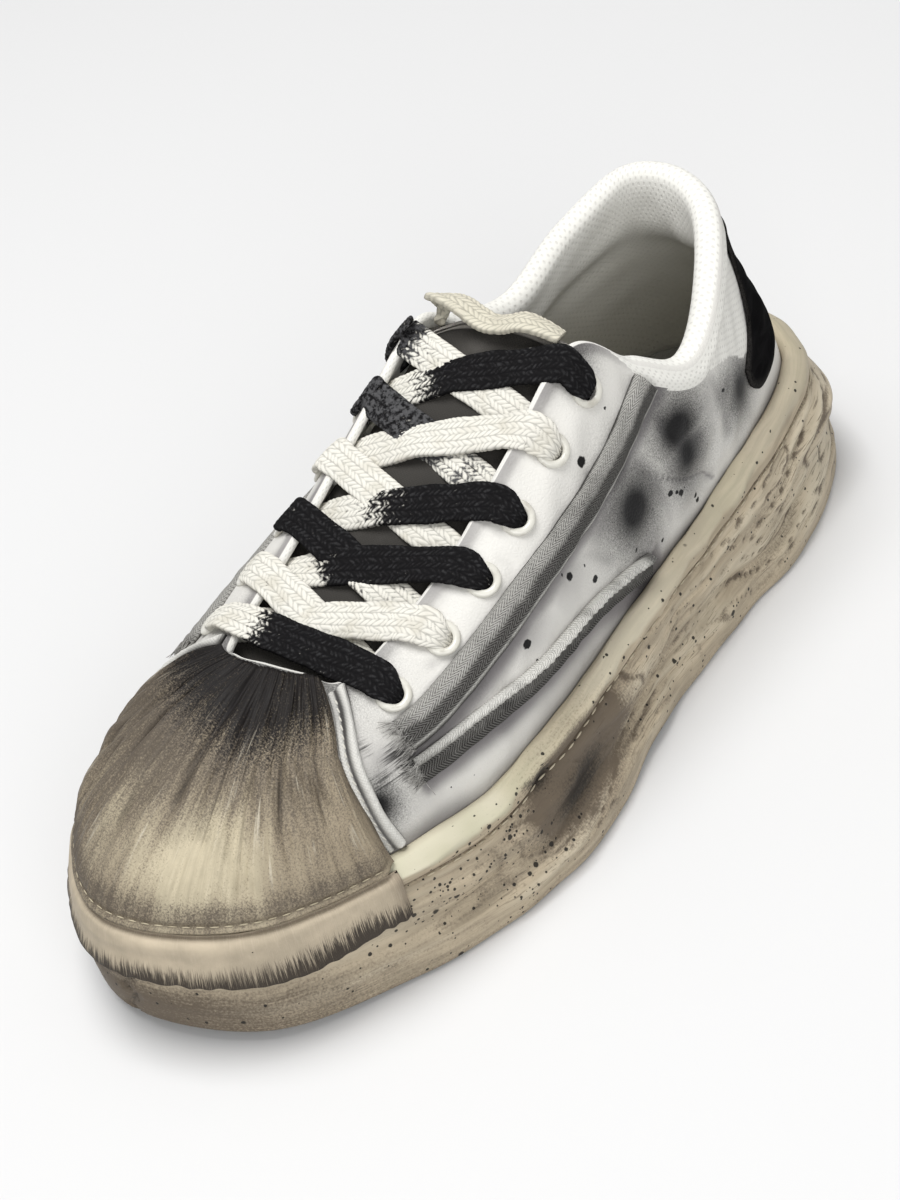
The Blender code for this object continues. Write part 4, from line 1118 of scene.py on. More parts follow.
@dataclass(frozen=True)
class BandRubber(Finish):
    """The tan toe band: hair-like strokes of dirt stand up from its lower edge."""

    tan: Colour = (0.50, 0.425, 0.315)
    dark: Colour = (0.022, 0.015, 0.011)

    def paint(self, w: Wires) -> dict[str, Value]:
        """Strokes by comparing a comb of noise with the height above the edge.

        Args:
            w: The material's wires.

        Returns:
            What feeds the shader's inputs and the bump's height.
        """
        place = w.place()
        comb = w.span(w.noise(w.stretch(w.cloth(), (3000.0, 120.0, 1.0)), 1.0, 3.0, 0.75), 0.3, 0.7)
        clump = w.noise(w.stretch(w.cloth(), (120.0, 8.0, 1.0)), 1.0, 2.0)
        rise = w.mark("rise")
        reach = (comb * 1.9 + clump * 1.5) * w.mark("hair")
        stroke = w.span(reach * 0.21 - rise, -0.08, 0.2)
        cloudy = w.noise(place, 55.0, 4.0, 0.6)
        colour = w.mix(w.span(cloudy, 0.35, 0.7), toned(self.tan, 0.8), toned(self.tan, 1.1))
        # Darkens the band where the grime mark is high, with painted shade under the cap's lip.
        colour = w.mix(w.mark("grime_and_painted_light") * 0.8, colour, (0.16, 0.125, 0.09))
        colour = w.mix(w.span(comb, 0.6, 0.75) * 0.25, colour, (0.55, 0.47, 0.36))
        colour = w.mix(stroke * 0.93, colour, self.dark)
        specks = w.out(w.group(Effects.specks(), Vector=place, Scale=200.0, Size=0.2, Amount=0.07))
        colour = w.mix(specks, colour, self.dark)
        height = comb * (0.25 + stroke) + w.noise(place, 800.0) * 0.3
        return {"Base Color": colour, "Height": height}


@dataclass(frozen=True)
class Twill(Finish):
    """Herringbone tape, pale along one edge and dark along the other, with painted shade between its ribs."""

    light: Colour = (0.36, 0.352, 0.33)
    dark: Colour = (0.014, 0.013, 0.0125)
    rib: float = 0.9 * MM
    column: float = 2.2 * MM

    def paint(self, w: Wires) -> dict[str, Value]:
        """Ribs with painted shade in the hollows between them; the Soot mark darkens one side.

        Args:
            w: The material's wires.

        Returns:
            What feeds the shader's inputs and the bump's height.
        """
        twill = w.group(Effects.twill(), Vector=w.cloth(), Rib=self.rib, Column=self.column)
        height, tone = (w.out(twill, "Height"), w.out(twill, "Tone"))
        cloudy = w.noise(w.place(), 130.0, 4.0, 0.65)
        amount = w.mark("soot") + ((cloudy - 0.5) * 0.9 + (tone - 0.5) * 0.4)
        sooty = w.span(amount, 0.18, 0.95)
        # Between: painted shade in the hollows between the ribs.
        between = w.span(height, 0.85, 0.2)
        colour = w.mix(tone * 0.4, self.light, toned(self.light, 1.5))
        colour = w.mix(between * 0.78, colour, toned(self.light, 0.16))
        colour = w.mix(sooty * w.span(height, 0.2, 1.1, 0.98, 0.72), colour, self.dark)
        colour = w.mix(w.mark("white") * w.span(cloudy, 0.3, 0.5, 0.35, 1.0), colour, (0.66, 0.65, 0.61))
        return {"Base Color": colour, "Height": height}


@dataclass(frozen=True)
class Braid(Finish):
    """Flat braided lace: cream plaits, or soaked black, with loose fibres."""

    cream: Colour = (0.73, 0.71, 0.645)
    black: Colour = (0.0035, 0.0033, 0.0045)

    def paint(self, w: Wires) -> dict[str, Value]:
        """Plait relief comes from the mesh; painted shade between the plaits, fibres and soot from here.

        Args:
            w: The material's wires.

        Returns:
            What feeds the shader's inputs and the bump's height.
        """
        place = w.place()
        plait = w.mark("plait")
        fibres = w.noise(w.stretch(w.cloth(), (900.0, 3600.0, 1.0)), 1.0, 3.0, 0.7, 0.3)
        tufts = w.noise(place, 700.0, 3.0, 0.7)
        cloudy = w.noise(place, 150.0, 3.0)
        amount = w.mark("soot") + ((cloudy - 0.5) * 0.9 + (tufts - 0.5) * 1.1)
        sooty = w.span(amount - (plait - 0.5) * 0.3, 0.32, 0.66)
        # Painted shade: the cream darkens between the plaits' strands.
        colour = w.mix(w.span(plait, 0.0, 0.7), toned(self.cream, 0.56), self.cream)
        colour = w.mix(w.span(cloudy, 0.48, 0.72) * 0.45, colour, (0.47, 0.44, 0.36))
        colour = w.mix(w.span(fibres, 0.5, 0.7) * 0.25, colour, (0.8, 0.78, 0.7))
        # Grey fibres in the black, partly a painted highlight on the plaits' crests.
        worn = w.span(plait * 0.5 + tufts * 1.8, 1.15, 1.7) * 0.5
        dyed = w.mix(worn, self.black, (0.05, 0.05, 0.053))
        dyed = w.mix(w.mark("grey") * w.span(tufts, 0.4, 0.6), dyed, (0.16, 0.16, 0.165))
        colour = w.mix(sooty * 0.99, colour, dyed)
        return {"Base Color": colour, "Height": fibres}


@dataclass(frozen=True)
class Canvas(Finish):
    """Plain woven cloth with a dusty tone that darkens where Deep is high."""

    tint: Colour = (0.56, 0.54, 0.50)
    deep: Colour = (0.10, 0.095, 0.08)
    pitch: float = 0.0009

    def paint(self, w: Wires) -> dict[str, Value]:
        """An even weave, darkened in broad patches where Deep is high.

        Args:
            w: The material's wires.

        Returns:
            What feeds the shader's inputs and the bump's height.
        """
        along, across, _ = w.split(w.cloth())
        warp = w.sum("SINE", along * (2 * math.pi / self.pitch))
        weft = w.sum("SINE", across * (2 * math.pi / self.pitch))
        weave = warp * weft * 0.5 + 0.5
        cloudy = w.noise(w.place(), 60.0, 4.0, 0.6)
        # Deep: painted shade on the tongue and the piping; on the insole, darker at the heel, the ball and
        # towards the toe.
        deep = w.span(w.mark("deep") + (cloudy - 0.5) * 0.5, 0.0, 1.0)
        colour = w.mix(weave * 0.3, self.tint, toned(self.tint, 0.6))
        return {"Base Color": w.mix(deep, colour, self.deep), "Height": weave}


@dataclass(frozen=True)
class Suede(Finish):
    """Black nap, brushed in patches and greyed with dust at its edge."""

    black: Colour = (0.0028, 0.0026, 0.0030)

    def paint(self, w: Wires) -> dict[str, Value]:
        """Brushed patches and a dusty rim.

        Args:
            w: The material's wires.

        Returns:
            What feeds the shader's inputs and the bump's height.
        """
        place = w.place()
        nap = w.noise(place, 1900.0, 4.0, 0.8)
        brushed = w.noise(w.stretch(place, (60.0, 60.0, 160.0)), 1.0, 3.0, 0.6, 1.0)
        colour = w.mix(w.span(brushed, 0.4, 0.65), self.black, (0.007, 0.0068, 0.0072))
        colour = w.mix(w.mark("edge") * w.span(nap, 0.35, 0.6), colour, (0.035, 0.033, 0.031))
        colour = w.mix(w.span(nap, 0.66, 0.8), colour, (0.03, 0.028, 0.027))
        return {"Base Color": colour, "Height": nap}


@dataclass(frozen=True)
class Plain(Finish):
    """An even surface with a little dirt: enamel, thread or tread rubber."""

    tint: Colour = (0.66, 0.64, 0.57)
    dirt: Colour = (0.20, 0.18, 0.15)
    scale: float = 300.0
    amount: float = 0.45

    def paint(self, w: Wires) -> dict[str, Value]:
        """Tint broken by cloudy dirt.

        Args:
            w: The material's wires.

        Returns:
            What feeds the shader's inputs and the bump's height.
        """
        cloudy = w.noise(w.place(), self.scale, 4.0, 0.6)
        colour = w.mix(w.span(cloudy, 0.45, 0.72) * self.amount, self.tint, self.dirt)
        return {"Base Color": colour, "Height": cloudy}


@dataclass(frozen=True)
class StripCloth(Finish):
    """The heel strip: white cloth with upright streaks of soot."""

    tint: Colour = (0.60, 0.59, 0.56)
    dark: Colour = (0.02, 0.019, 0.02)

    def paint(self, w: Wires) -> dict[str, Value]:
        """Streaks stretched up the strip.

        Args:
            w: The material's wires.

        Returns:
            What feeds the shader's inputs and the bump's height.
        """
        streak = w.noise(w.stretch(w.cloth(), (60.0, 1300.0, 1.0)), 1.0, 4.0, 0.7)
        fine = w.noise(w.stretch(w.cloth(), (300.0, 3500.0, 1.0)), 1.0, 2.0)
        amount = streak + (fine - 0.5) * 0.4
        colour = w.mix(w.span(amount, 0.48, 0.62), self.tint, self.dark)
        return {"Base Color": colour, "Height": fine}


# ---------------------------------------------------------------- upper
@dataclass(frozen=True)
class Crease:
    """A soft trough with raised shoulders, along places (u, v) on the upper. Sizes are in millimetres."""

    places: Places
    width: float
    depth: float


@dataclass(frozen=True)
class Spot:
    """A soft mark at (u, v) on the upper: its radius in millimetres and its strength."""

    u: float
    v: float
    radius: float
    strength: float


@dataclass
class Upper:
    """The leather body: outer face with its creases, the collar's roll, the lining and the eyelet holes."""

    columns: int = 561
    outer_rows: int = 74
    roll_rows: int = 13
    lining_rows: int = 34
    stitch_inset: float = 2.6 * MM
    collar_knit: float = 5.5 * MM
    hole_radius: float = 3.0 * MM
    hole_depth: float = 9 * MM
    eyelets: tuple = ((0.427, 0.592), (0.406, 0.611), (0.383, 0.632), (0.359, 0.657), (0.332, 0.682),
                      (0.303, 0.707))
    creases: tuple[Crease, ...] = (
        Crease(((0.436, 0.60), (0.425, 0.56), (0.412, 0.55)), 3.0, 0.55),
        Crease(((0.432, 0.72), (0.418, 0.66), (0.402, 0.60), (0.392, 0.58)), 3.2, 0.6),
        Crease(((0.412, 0.78), (0.402, 0.72), (0.396, 0.68)), 2.6, 0.4),
        Crease(((0.372, 0.80), (0.368, 0.74), (0.371, 0.69)), 2.6, 0.35),
        Crease(((0.345, 0.56), (0.325, 0.52), (0.305, 0.47), (0.285, 0.41)), 4.0, 0.55),
        Crease(((0.400, 0.40), (0.370, 0.36), (0.340, 0.31)), 4.2, 0.5),
        Crease(((0.262, 0.64), (0.240, 0.56), (0.222, 0.46), (0.215, 0.38)), 4.5, 0.6),
        Crease(((0.240, 0.80), (0.222, 0.70), (0.200, 0.64), (0.182, 0.62)), 4.5, 0.7),
        Crease(((0.200, 0.50), (0.180, 0.44), (0.165, 0.34)), 4.5, 0.5),
        Crease(((0.160, 0.82), (0.150, 0.68), (0.142, 0.55), (0.140, 0.42)), 4.0, 0.55),
        Crease(((0.090, 0.46), (0.075, 0.40), (0.055, 0.38)), 3.6, 0.5),
        Crease(((0.580, 0.62), (0.592, 0.57), (0.606, 0.56)), 3.2, 0.6),
        Crease(((0.590, 0.74), (0.604, 0.67), (0.620, 0.62), (0.632, 0.60)), 3.4, 0.65),
        Crease(((0.630, 0.44), (0.655, 0.42), (0.685, 0.38)), 4.4, 0.6),
        Crease(((0.670, 0.54), (0.700, 0.50), (0.720, 0.43)), 4.2, 0.55),
        Crease(((0.745, 0.66), (0.765, 0.58), (0.780, 0.47), (0.786, 0.38)), 4.6, 0.65),
        Crease(((0.760, 0.82), (0.782, 0.72), (0.806, 0.65), (0.826, 0.62)), 4.6, 0.7),
        Crease(((0.800, 0.50), (0.822, 0.43), (0.838, 0.34)), 4.6, 0.5),
        Crease(((0.845, 0.82), (0.852, 0.66), (0.858, 0.50)), 4.2, 0.55),
        Crease(((0.915, 0.46), (0.930, 0.40), (0.950, 0.38)), 3.6, 0.5),
    )
    knit_edge: tuple = ((0.0, 0.96), (0.055, 0.94), (0.064, 0.9), (0.07, 0.72), (0.08, 0.6), (0.09, 0.52),
                        (0.102, 0.55), (0.125, 0.72), (0.155, 0.86), (0.19, 0.93), (0.245, 0.97),
                        (0.26, 2.0), (1.0, 2.0))
    seams: tuple = (((0.309, 0.657), (0.250, 0.603), (0.205, 0.50), (0.175, 0.407), (0.160, 0.30)),)
    soot: tuple[Spot, ...] = (
        Spot(0.214, 0.735, 8.5, 1.0), Spot(0.232, 0.700, 7.0, 0.6), Spot(0.201, 0.600, 8.5, 0.95),
        Spot(0.214, 0.655, 6.0, 0.6), Spot(0.262, 0.510, 10.0, 1.0), Spot(0.118, 0.500, 8.0, 0.95),
        Spot(0.135, 0.620, 6.0, 0.7), Spot(0.190, 0.70, 6.0, 0.5),
        Spot(0.441, 0.461, 5.0, 1.0), Spot(0.302, 0.965, 5.0, 0.6), Spot(0.282, 0.61, 7.0, 0.55),
        Spot(0.246, 0.292, 4.5, 0.9), Spot(0.499, 1.0, 16.0, 0.8), Spot(0.47, 0.99, 9.0, 0.8),
        Spot(0.790, 0.700, 8.0, 0.9), Spot(0.752, 0.560, 8.5, 0.9), Spot(0.700, 0.470, 8.0, 0.85),
        Spot(0.655, 0.420, 7.5, 0.8), Spot(0.572, 0.455, 5.0, 0.95), Spot(0.885, 0.470, 8.0, 0.8),
        Spot(0.845, 0.560, 7.0, 0.6))
    shade: tuple[Spot, ...] = (
        Spot(0.36, 0.545, 8.0, 0.55), Spot(0.33, 0.53, 8.0, 0.5), Spot(0.395, 0.56, 6.0, 0.5),
        Spot(0.30, 0.545, 9.0, 0.6), Spot(0.25, 0.84, 7.0, 0.5), Spot(0.20, 0.40, 12.0, 0.35),
        Spot(0.235, 0.31, 8.0, 0.55), Spot(0.16, 0.70, 9.0, 0.3), Spot(0.42, 0.35, 10.0, 0.35),
        Spot(0.436, 0.62, 6.0, 0.45), Spot(0.66, 0.53, 9.0, 0.5), Spot(0.72, 0.42, 10.0, 0.5),
        Spot(0.81, 0.40, 12.0, 0.4), Spot(0.60, 0.38, 9.0, 0.4), Spot(0.86, 0.66, 9.0, 0.35))
    drops: tuple = ((0.314, 0.705, 1.7), (0.291, 0.775, 0.6), (0.143, 0.655, 0.8), (0.219, 0.485, 1.2),
                    (0.207, 0.455, 1.3), (0.212, 0.47, 0.7), (0.180, 0.30, 0.9), (0.183, 0.34, 0.8),
                    (0.324, 0.49, 1.3), (0.330, 0.52, 0.6), (0.298, 0.395, 1.3), (0.358, 0.485, 1.5),
                    (0.256, 0.385, 0.7), (0.224, 0.325, 0.7), (0.31, 0.46, 0.5), (0.334, 0.55, 0.5),
                    (0.296, 0.80, 0.5), (0.690, 0.60, 1.5), (0.735, 0.44, 1.2), (0.742, 0.47, 0.7),
                    (0.650, 0.50, 1.3), (0.800, 0.45, 1.1), (0.840, 0.36, 0.8), (0.715, 0.70, 1.2))

    strands: tuple = ((0.431, 0.6, 6.0, 1.0), (0.428, 0.53, 5.5, 1.0), (0.42, 0.565, 4.0, 0.7),
                      (0.438, 0.55, 5.0, 0.8), (0.415, 0.59, 4.0, 0.5), (0.446, 0.72, 3.5, 0.8),
                      (0.444, 0.4, 5.0, 0.7))

    def marked(self, base: np.ndarray, spots: tuple[Spot, ...]) -> np.ndarray:
        """Strength of the strongest of several soft spots at each point.

        Args:
            base: Points of the plain outer face.
            spots: The spots.

        Returns:
            A strength from 0 to 1 for each point.
        """
        total = np.zeros(base.shape[:-1])
        for spot in spots:
            far = np.linalg.norm(base - FORM.face(np.array(spot.u), np.array(spot.v)), axis=-1)
            total = np.maximum(total, np.clip(1.08 * spot.strength * bell(far, 1.45 * spot.radius * MM), 0,
                                              1))
        return total

    def line_distance(self, base: np.ndarray, places: Places) -> np.ndarray:
        """Distance from each point to a line laid through places on the upper, in metres.

        Args:
            base: Points of the plain outer face.
            places: Places (u, v) along the line.

        Returns:
            A distance for each point.
        """
        line = through(places, 30)
        path = FORM.face(line[:, 0], line[:, 1])
        best = np.full(base.shape[:-1], 1.0)
        for point in path:
            best = np.minimum(best, np.linalg.norm(base - point, axis=-1))
        return best

    def beside(self, base: np.ndarray, places: Places, half: float) -> tuple[np.ndarray, np.ndarray]:
        """Distance of each point from a tape's edge, and how far it lies on the tape's lower, heelward side.

        Args:
            base: Points of the plain outer face.
            places: Places (u, v) along the tape's middle.
            half: Half its width.

        Returns:
            Distances, below 0 under the tape, and shares from 0 to 1.
        """
        line = through(places, 60)
        path = FORM.face(line[:, 0], line[:, 1])
        heelward = -1.0 if line[0, 0] < 0.5 else 1.0
        below = unit(FORM.face(line[:, 0] + 0.010 * heelward, line[:, 1] - 0.05) - path)
        best, under = np.full(base.shape[:-1], 1.0), np.zeros(base.shape[:-1])
        for point, way in zip(path, below):
            off = base - point
            far = np.linalg.norm(off, axis=-1)
            nearer = far < best
            best = np.where(nearer, far, best)
            under = np.where(nearer, off @ way / np.maximum(far, 1e-6), under)
        return best - half, smooth((under + 0.2) / 0.5)

    def relief(self, base: np.ndarray, u: np.ndarray, v: np.ndarray) -> tuple[np.ndarray, np.ndarray]:
        """How far the creased surface stands off the plain one, and how much each place lies in a fold.

        Args:
            base: Points of the plain outer face.
            u: u of each point.
            v: v of each point.

        Returns:
            Heights in metres, and folds from 0 to 1.
        """
        height, fold = np.zeros(base.shape[:-1]), np.zeros(base.shape[:-1])
        for crease in self.creases:
            x = self.line_distance(base, crease.places) / (crease.width * MM)
            height -= crease.depth * MM * (1 - 1.1 * x * x) * np.exp(-x * x)
            fold = np.maximum(fold, crease.depth * bell(x, 0.8))
        for places in self.seams:
            for mirrored in (False, True):
                line = [(float(FORM.mirrored(a)), b * 0.94) for a, b in places] if mirrored else places
                far = self.line_distance(base, line)
                height -= 0.5 * MM * bell(far, 0.8 * MM)
                fold = np.maximum(fold, 0.9 * bell(far, 0.9 * MM))
        height += 0.22 * MM * ripple(u * 26, v * 5, 3) * smooth((v - 0.15) / 0.2) * off_seam(u)
        return height, fold

    def build(self) -> bpy.types.Object:
        """Makes the upper, cuts its eyelet holes and dresses it.

        Returns:
            The finished piece.
        """
        u = np.linspace(0, 1, self.columns)
        rim = FORM.rim_v(u)
        share = np.linspace(0, 1, self.outer_rows)[:, None]
        v = rim * 0.55 + (1 - rim * 0.55) * share
        uu = np.broadcast_to(u, v.shape)
        base, normal = FORM.face(uu, v), FORM.normal(uu, v)
        height, fold = self.relief(base, uu, v)
        near_top = lengths(base[::-1])[::-1]
        pad = FORM.padding(u)
        throat = 1 - pad
        height *= smooth(near_top / (5 * MM))
        beside_patch = bell(uu - 0.088, 0.030)
        height += (0.7 * MM * bell(near_top - 2.4 * MM, 2.2 * MM)
                   - 0.6 * MM * (1 - beside_patch) * bell(near_top - 5.9 * MM, 0.8 * MM)) * pad
        height -= 0.35 * MM * bell(near_top - self.stitch_inset, 0.7 * MM) * throat
        height += 0.35 * MM * smooth(1 - (near_top - self.stitch_inset) / (0.6 * MM)) * throat
        outer = base + normal * height[..., None]
        top, n = FORM.face(u, 1.0), FORM.normal(u, 1.0)
        along = unit(top - FORM.face(u, 0.99))
        radius = FORM.wall_at(u, 1.0)[:, None] / 2
        start = outer[-1] - top
        roll = []
        for turn in np.linspace(0, math.pi, self.roll_rows + 1)[1:]:
            keep = 1 - turn / math.pi
            arm = math.cos(turn) * n + math.sin(turn) * along
            roll.append(top - n * radius + radius * arm + start * keep)
        low = 1 - np.linspace(0, 1, self.lining_rows + 1)[1:, None] * np.ones_like(u)
        uu_low = np.broadcast_to(u, low.shape)
        lining_n = FORM.normal(uu_low, low)
        puff = 0.5 * MM * ripple(uu_low * 9, low * 3, 8) * smooth((low - 0.2) / 0.3) * smooth((1 - low) / 0.1)
        puff *= off_seam(uu_low)
        lining = FORM.face(uu_low, low) - lining_n * (FORM.wall_at(uu_low, low) - puff)[..., None]
        rows = np.concatenate([outer, np.array(roll), lining, outer[:1]])
        count = len(rows)
        # Deep: painted shade that grows down the roll and the lining into the shoe.
        deep = np.concatenate([np.zeros(self.outer_rows), np.linspace(0, 0.12, self.roll_rows),
                               np.linspace(0.12, 1.0, self.lining_rows) ** 0.8, [1.0]])[:, None]
        fill = lambda a: np.concatenate([a, np.repeat(a[-1:] * 0, count - len(a), axis=0)])
        near_rim = smooth(1 - (v - rim) / 0.10)
        shade = np.maximum(self.marked(base, self.shade), 0.75 * fold)
        strand = np.zeros_like(shade)
        tapes = Tapes()
        for side in Side:
            lower = 1.0 if side is Side.LATERAL else 0.94
            for strip, near in ((tapes.diagonal, 0.85), (tapes.bowed, 0.75)):
                places = [(float(FORM.side(a, side)), b * lower) for a, b in strip.places]
                far, under = self.beside(base, places, strip.width / 2)
                shade = np.maximum(shade, (0.35 + (near - 0.10) * under) * bell(far, 1.3 * MM))
                shade = np.maximum(shade, under * (0.84 * bell(far - 0.5 * MM, 5.0 * MM)))
            for a, b, radius, strength in self.strands:
                spot = FORM.face(FORM.side(a, side), np.array(b * lower))
                far = np.linalg.norm(base - spot, axis=-1)
                strand = np.maximum(strand, strength * bell(far, radius * MM))
        inward = throat * smooth((0.452 - np.minimum(uu, 1 - uu)) / 0.01)
        shade = np.maximum(shade, 0.62 * inward * bell(near_top, 4.6 * MM))
        shade = np.clip(shade + 0.42 * near_rim + 0.04, 0, 1)
        splash = bell(uu - 0.21, 0.03) * bell(v - 0.42, 0.16) + bell(uu - 0.43,
                                                                     0.02) * 0.5 * bell(v - 0.35, 0.1)
        marks = {"shade": fill(shade), "soot": fill(self.marked(base, self.soot)), "splash": fill(splash),
                 "strand": fill(strand), "deep": np.broadcast_to(deep, rows.shape[:2])}
        slots = np.zeros((count - 1, self.columns - 1), int)
        slots[self.outer_rows + 2:] = 1
        knit_u, knit_v = np.array(self.knit_edge).T
        knit = (near_top < self.collar_knit * pad) | (v > np.interp(uu, knit_u, knit_v))
        slots[:self.outer_rows][knit[:, :-1]] = 1
        drops = tuple((tuple(FORM.face(np.array(a), np.array(b)).tolist()), r * MM) for a, b, r in self.drops)
        leather = Leather("white_leather", roughness=0.52, bump=0.45, depth=0.14 * MM, specular=0.25,
                          drops=drops)
        lining_knit = Lining("collar_knit", roughness=0.95, bump=0.45, depth=0.25 * MM, specular=0.15)
        uv = np.stack([np.broadcast_to(lengths(rows).mean(axis=1)[:, None], rows.shape[:2]),
                       np.broadcast_to(lengths(top), rows.shape[:2])], -1)
        piece = sewn("upper_leather", Skin(rows, uv, marks, slots),
                     [leather.material(), lining_knit.material()])
        self.pierce(piece)
        return settle(piece, "upper", "upper")

    def places(self) -> list[tuple[np.ndarray, np.ndarray, float]]:
        """Middle, outward normal and u of every eyelet: lateral then medial, from the toe end up.

        Returns:
            An entry for each eyelet.
        """
        found = []
        for pair in self.eyelets:
            for u in pair:
                v = FORM.below_top(u, EYELET_DROP)
                found.append((FORM.face(np.array(u), np.array(v)), FORM.normal(np.array(u), np.array(v)), u))
        return found

    def pierce(self, piece: bpy.types.Object) -> None:
        """Cuts the eyelet holes with one joined set of rods.

        Args:
            piece: The upper.
        """
        rods = []
        for centre, normal, _ in self.places():
            deselect()
            turn = Vector(normal).to_track_quat("Z", "Y").to_euler()
            bpy.ops.mesh.primitive_cylinder_add(vertices=20, radius=self.hole_radius, depth=self.hole_depth,
                                                location=tuple(centre), rotation=turn)
            bpy.ops.object.transform_apply(location=True, rotation=True, scale=True)
            rods.append(bpy.context.object)
        cutter = joined("eyelet_rods", rods)
        deselect()
        piece.select_set(True)
        bpy.context.view_layer.objects.active = piece
        cut = piece.modifiers.new("holes", "BOOLEAN")
        cut.object, cut.operation, cut.solver = cutter, "DIFFERENCE", "EXACT"
        bpy.ops.object.modifier_apply(modifier="holes")
        bpy.data.objects.remove(cutter)


# ---------------------------------------------------------------- toe cap, band and sole
@dataclass
class ToeCap:
    """The fluted rubber shell over the toes, down to the toe band, with a sewn lip at its lower edge."""

    flutes: int = 11
    thick: float = 2.2 * MM
    gap: float = 0.4 * MM
    flute_depth: float = 1.9 * MM
    inside_rim: float = 0.6 * MM
    above_rim: float = 1.0 * MM
    flare_top: float = 0.62
    bottom_v: float = 0.25
    lip_at: float = 0.035
    lip_width: float = 0.016
    top_v: float = 0.985
    folds: tuple = ((0.06, 0.30, 0.17, 0.80, 2.2, 0.7), (0.15, 0.34, 0.28, 0.92, 2.4, 0.9),
                    (0.25, 0.12, 0.31, 0.50, 2.0, 0.6), (0.36, 0.30, 0.41, 0.78, 2.6, 0.9),
                    (0.44, 0.42, 0.45, 0.95, 2.2, 0.8), (0.52, 0.25, 0.51, 0.66, 2.4, 0.7),
                    (0.60, 0.34, 0.57, 0.88, 2.2, 0.8), (0.70, 0.18, 0.65, 0.74, 2.8, 0.9),
                    (0.80, 0.30, 0.73, 0.86, 2.6, 0.9), (0.90, 0.20, 0.82, 0.70, 2.6, 0.8))
    edge: tuple = ((0.19, 0.436), (0.25, 0.440), (0.49, 0.450), (0.717, 0.460), (0.94, 0.462))
    across: int = 460
    up: int = 84

    def edge_u(self, v: np.ndarray, side: Side) -> np.ndarray:
        """u of the cap's side edge at v."""
        keys, values = np.array(self.edge).T
        return FORM.side(np.interp(v, keys, values), side)

    def build(self) -> list[bpy.types.Object]:
        """The shell and its lip's stitches.

        Returns:
            The two pieces.
        """
        share = np.linspace(0, 1, self.across)[:, None]
        climb = np.linspace(0, 1, self.up)[None, :] ** 1.15
        low_u = np.linspace(0.42, 0.60, 61)
        rim_low = FORM.v_at_height(low_u, FORM.sole("rim_z", low_u) + self.above_rim)
        v = self.bottom_v + (self.top_v - self.bottom_v) * climb
        left, right = self.edge_u(v, Side.LATERAL), self.edge_u(v, Side.MEDIAL)
        inside = smooth(share / 0.08) * smooth((1 - share) / 0.08)
        wobble = 0.010 * ripple(share * 2.3, climb * 0.9, 5) * inside
        u = left + (right - left) * share
        low = np.interp(u, low_u, rim_low)
        v = low + (self.top_v - low) * climb
        phase = self.flutes * (share + wobble)
        wave = np.abs(np.sin(math.pi * phase)) ** 0.62
        depth = self.flute_depth * smooth((1.04 - v) / 0.30) * (0.12 + 0.88 * smooth((climb - 0.04) / 0.42))
        depth = depth * (0.85 + 0.30 * ripple(share * 6, climb * 0.8, 6))
        depth = depth * (0.75 + 0.45 * smooth((share - 0.45) / 0.4))
        crumple = 0.28 * MM * ripple(share * 21, climb * 2.6, 11) + 0.12 * MM * ripple(share * 60,
                                                                                       climb * 3.0, 12)
        thick = self.thick + depth * (wave - 0.6) + crumple * smooth(climb / 0.1)
        span = (96 - 46 * climb) * MM
        trough = np.zeros_like(thick)
        for share_0, climb_0, share_1, climb_1, width, deep in self.folds:
            t = np.clip((climb - climb_0) / (climb_1 - climb_0), 0, 1)
            off = (share - share_0 - (share_1 - share_0) * t) * span / (width * MM)
            ends_in = smooth((climb - climb_0) / 0.08) * smooth((climb_1 - climb) / 0.12)
            thick = thick - deep * MM * (1 - 1.4 * off**2) * np.exp(-(off**2)) * ends_in
            trough = np.maximum(trough, bell(off, 0.85) * ends_in)
        ends = smooth(np.minimum(share, 1 - share) / 0.03)
        thick = thick * (0.55 + 0.45 * ends)
        lip = bell(climb - self.lip_at, self.lip_width)
        thick = thick - 0.75 * MM * lip * ends
        base, normal = FORM.face(u, v), FORM.normal(u, v)
        out = FORM.out(u)
        at_low = FORM.face(u, low)
        reach = np.sum((at_low + FORM.normal(u, low) * (self.gap + self.thick * 0.6) - FORM.foot(u)) * out,
                       axis=-1)
        near_end = smooth(np.minimum(share, 1 - share) / 0.04)
        flare = (FORM.sole("rim", u) - self.inside_rim - reach) * (0.6 + 0.4 * near_end)
        flare = flare * (1 - smooth(climb / self.flare_top))
        outer = base + normal * (self.gap + thick)[..., None] + out * flare[..., None]
        inner = (base + normal * self.gap)[:, [0, self.up // 3, 2 * self.up // 3, self.up - 1]]
        ridge = np.clip(wave + 0.12 * ripple(share * 60, climb * 3.0, 12), 0, 1.2)
        ridge = 1 - (1 - ridge) * smooth((1.04 - v) / 0.3) * (0.1 + 0.75 * smooth((climb - 0.10) / 0.35))
        ridge = ridge * (1 - 0.5 * trough)
        soot = smooth((climb - 0.47 + 0.08 * bell(share - 0.30, 0.16)) / 0.53) * 1.1
        # glow: a painted pool of light, low on the cap.
        glow = patches(share, climb, (1.0, 0.345, 0.115, 0.27, 0.19), (0.40, 0.56, 0.03, 0.34, 0.2))
        # Speckle thickens up the cap and thins under the painted pool of light.
        grime_and_painted_light = 0.46 + 0.26 * smooth((climb - 0.20) / 0.45) - 0.50 * glow + 0.30 * bell(climb - 0.09, 0.05)
        grime_and_painted_light = grime_and_painted_light - 0.21 * smooth((0.34 - share) / 0.14) + 0.14 * smooth((share - 0.44) / 0.16)
        grime_and_painted_light = grime_and_painted_light + 0.12 * bell(share - 0.16, 0.10)
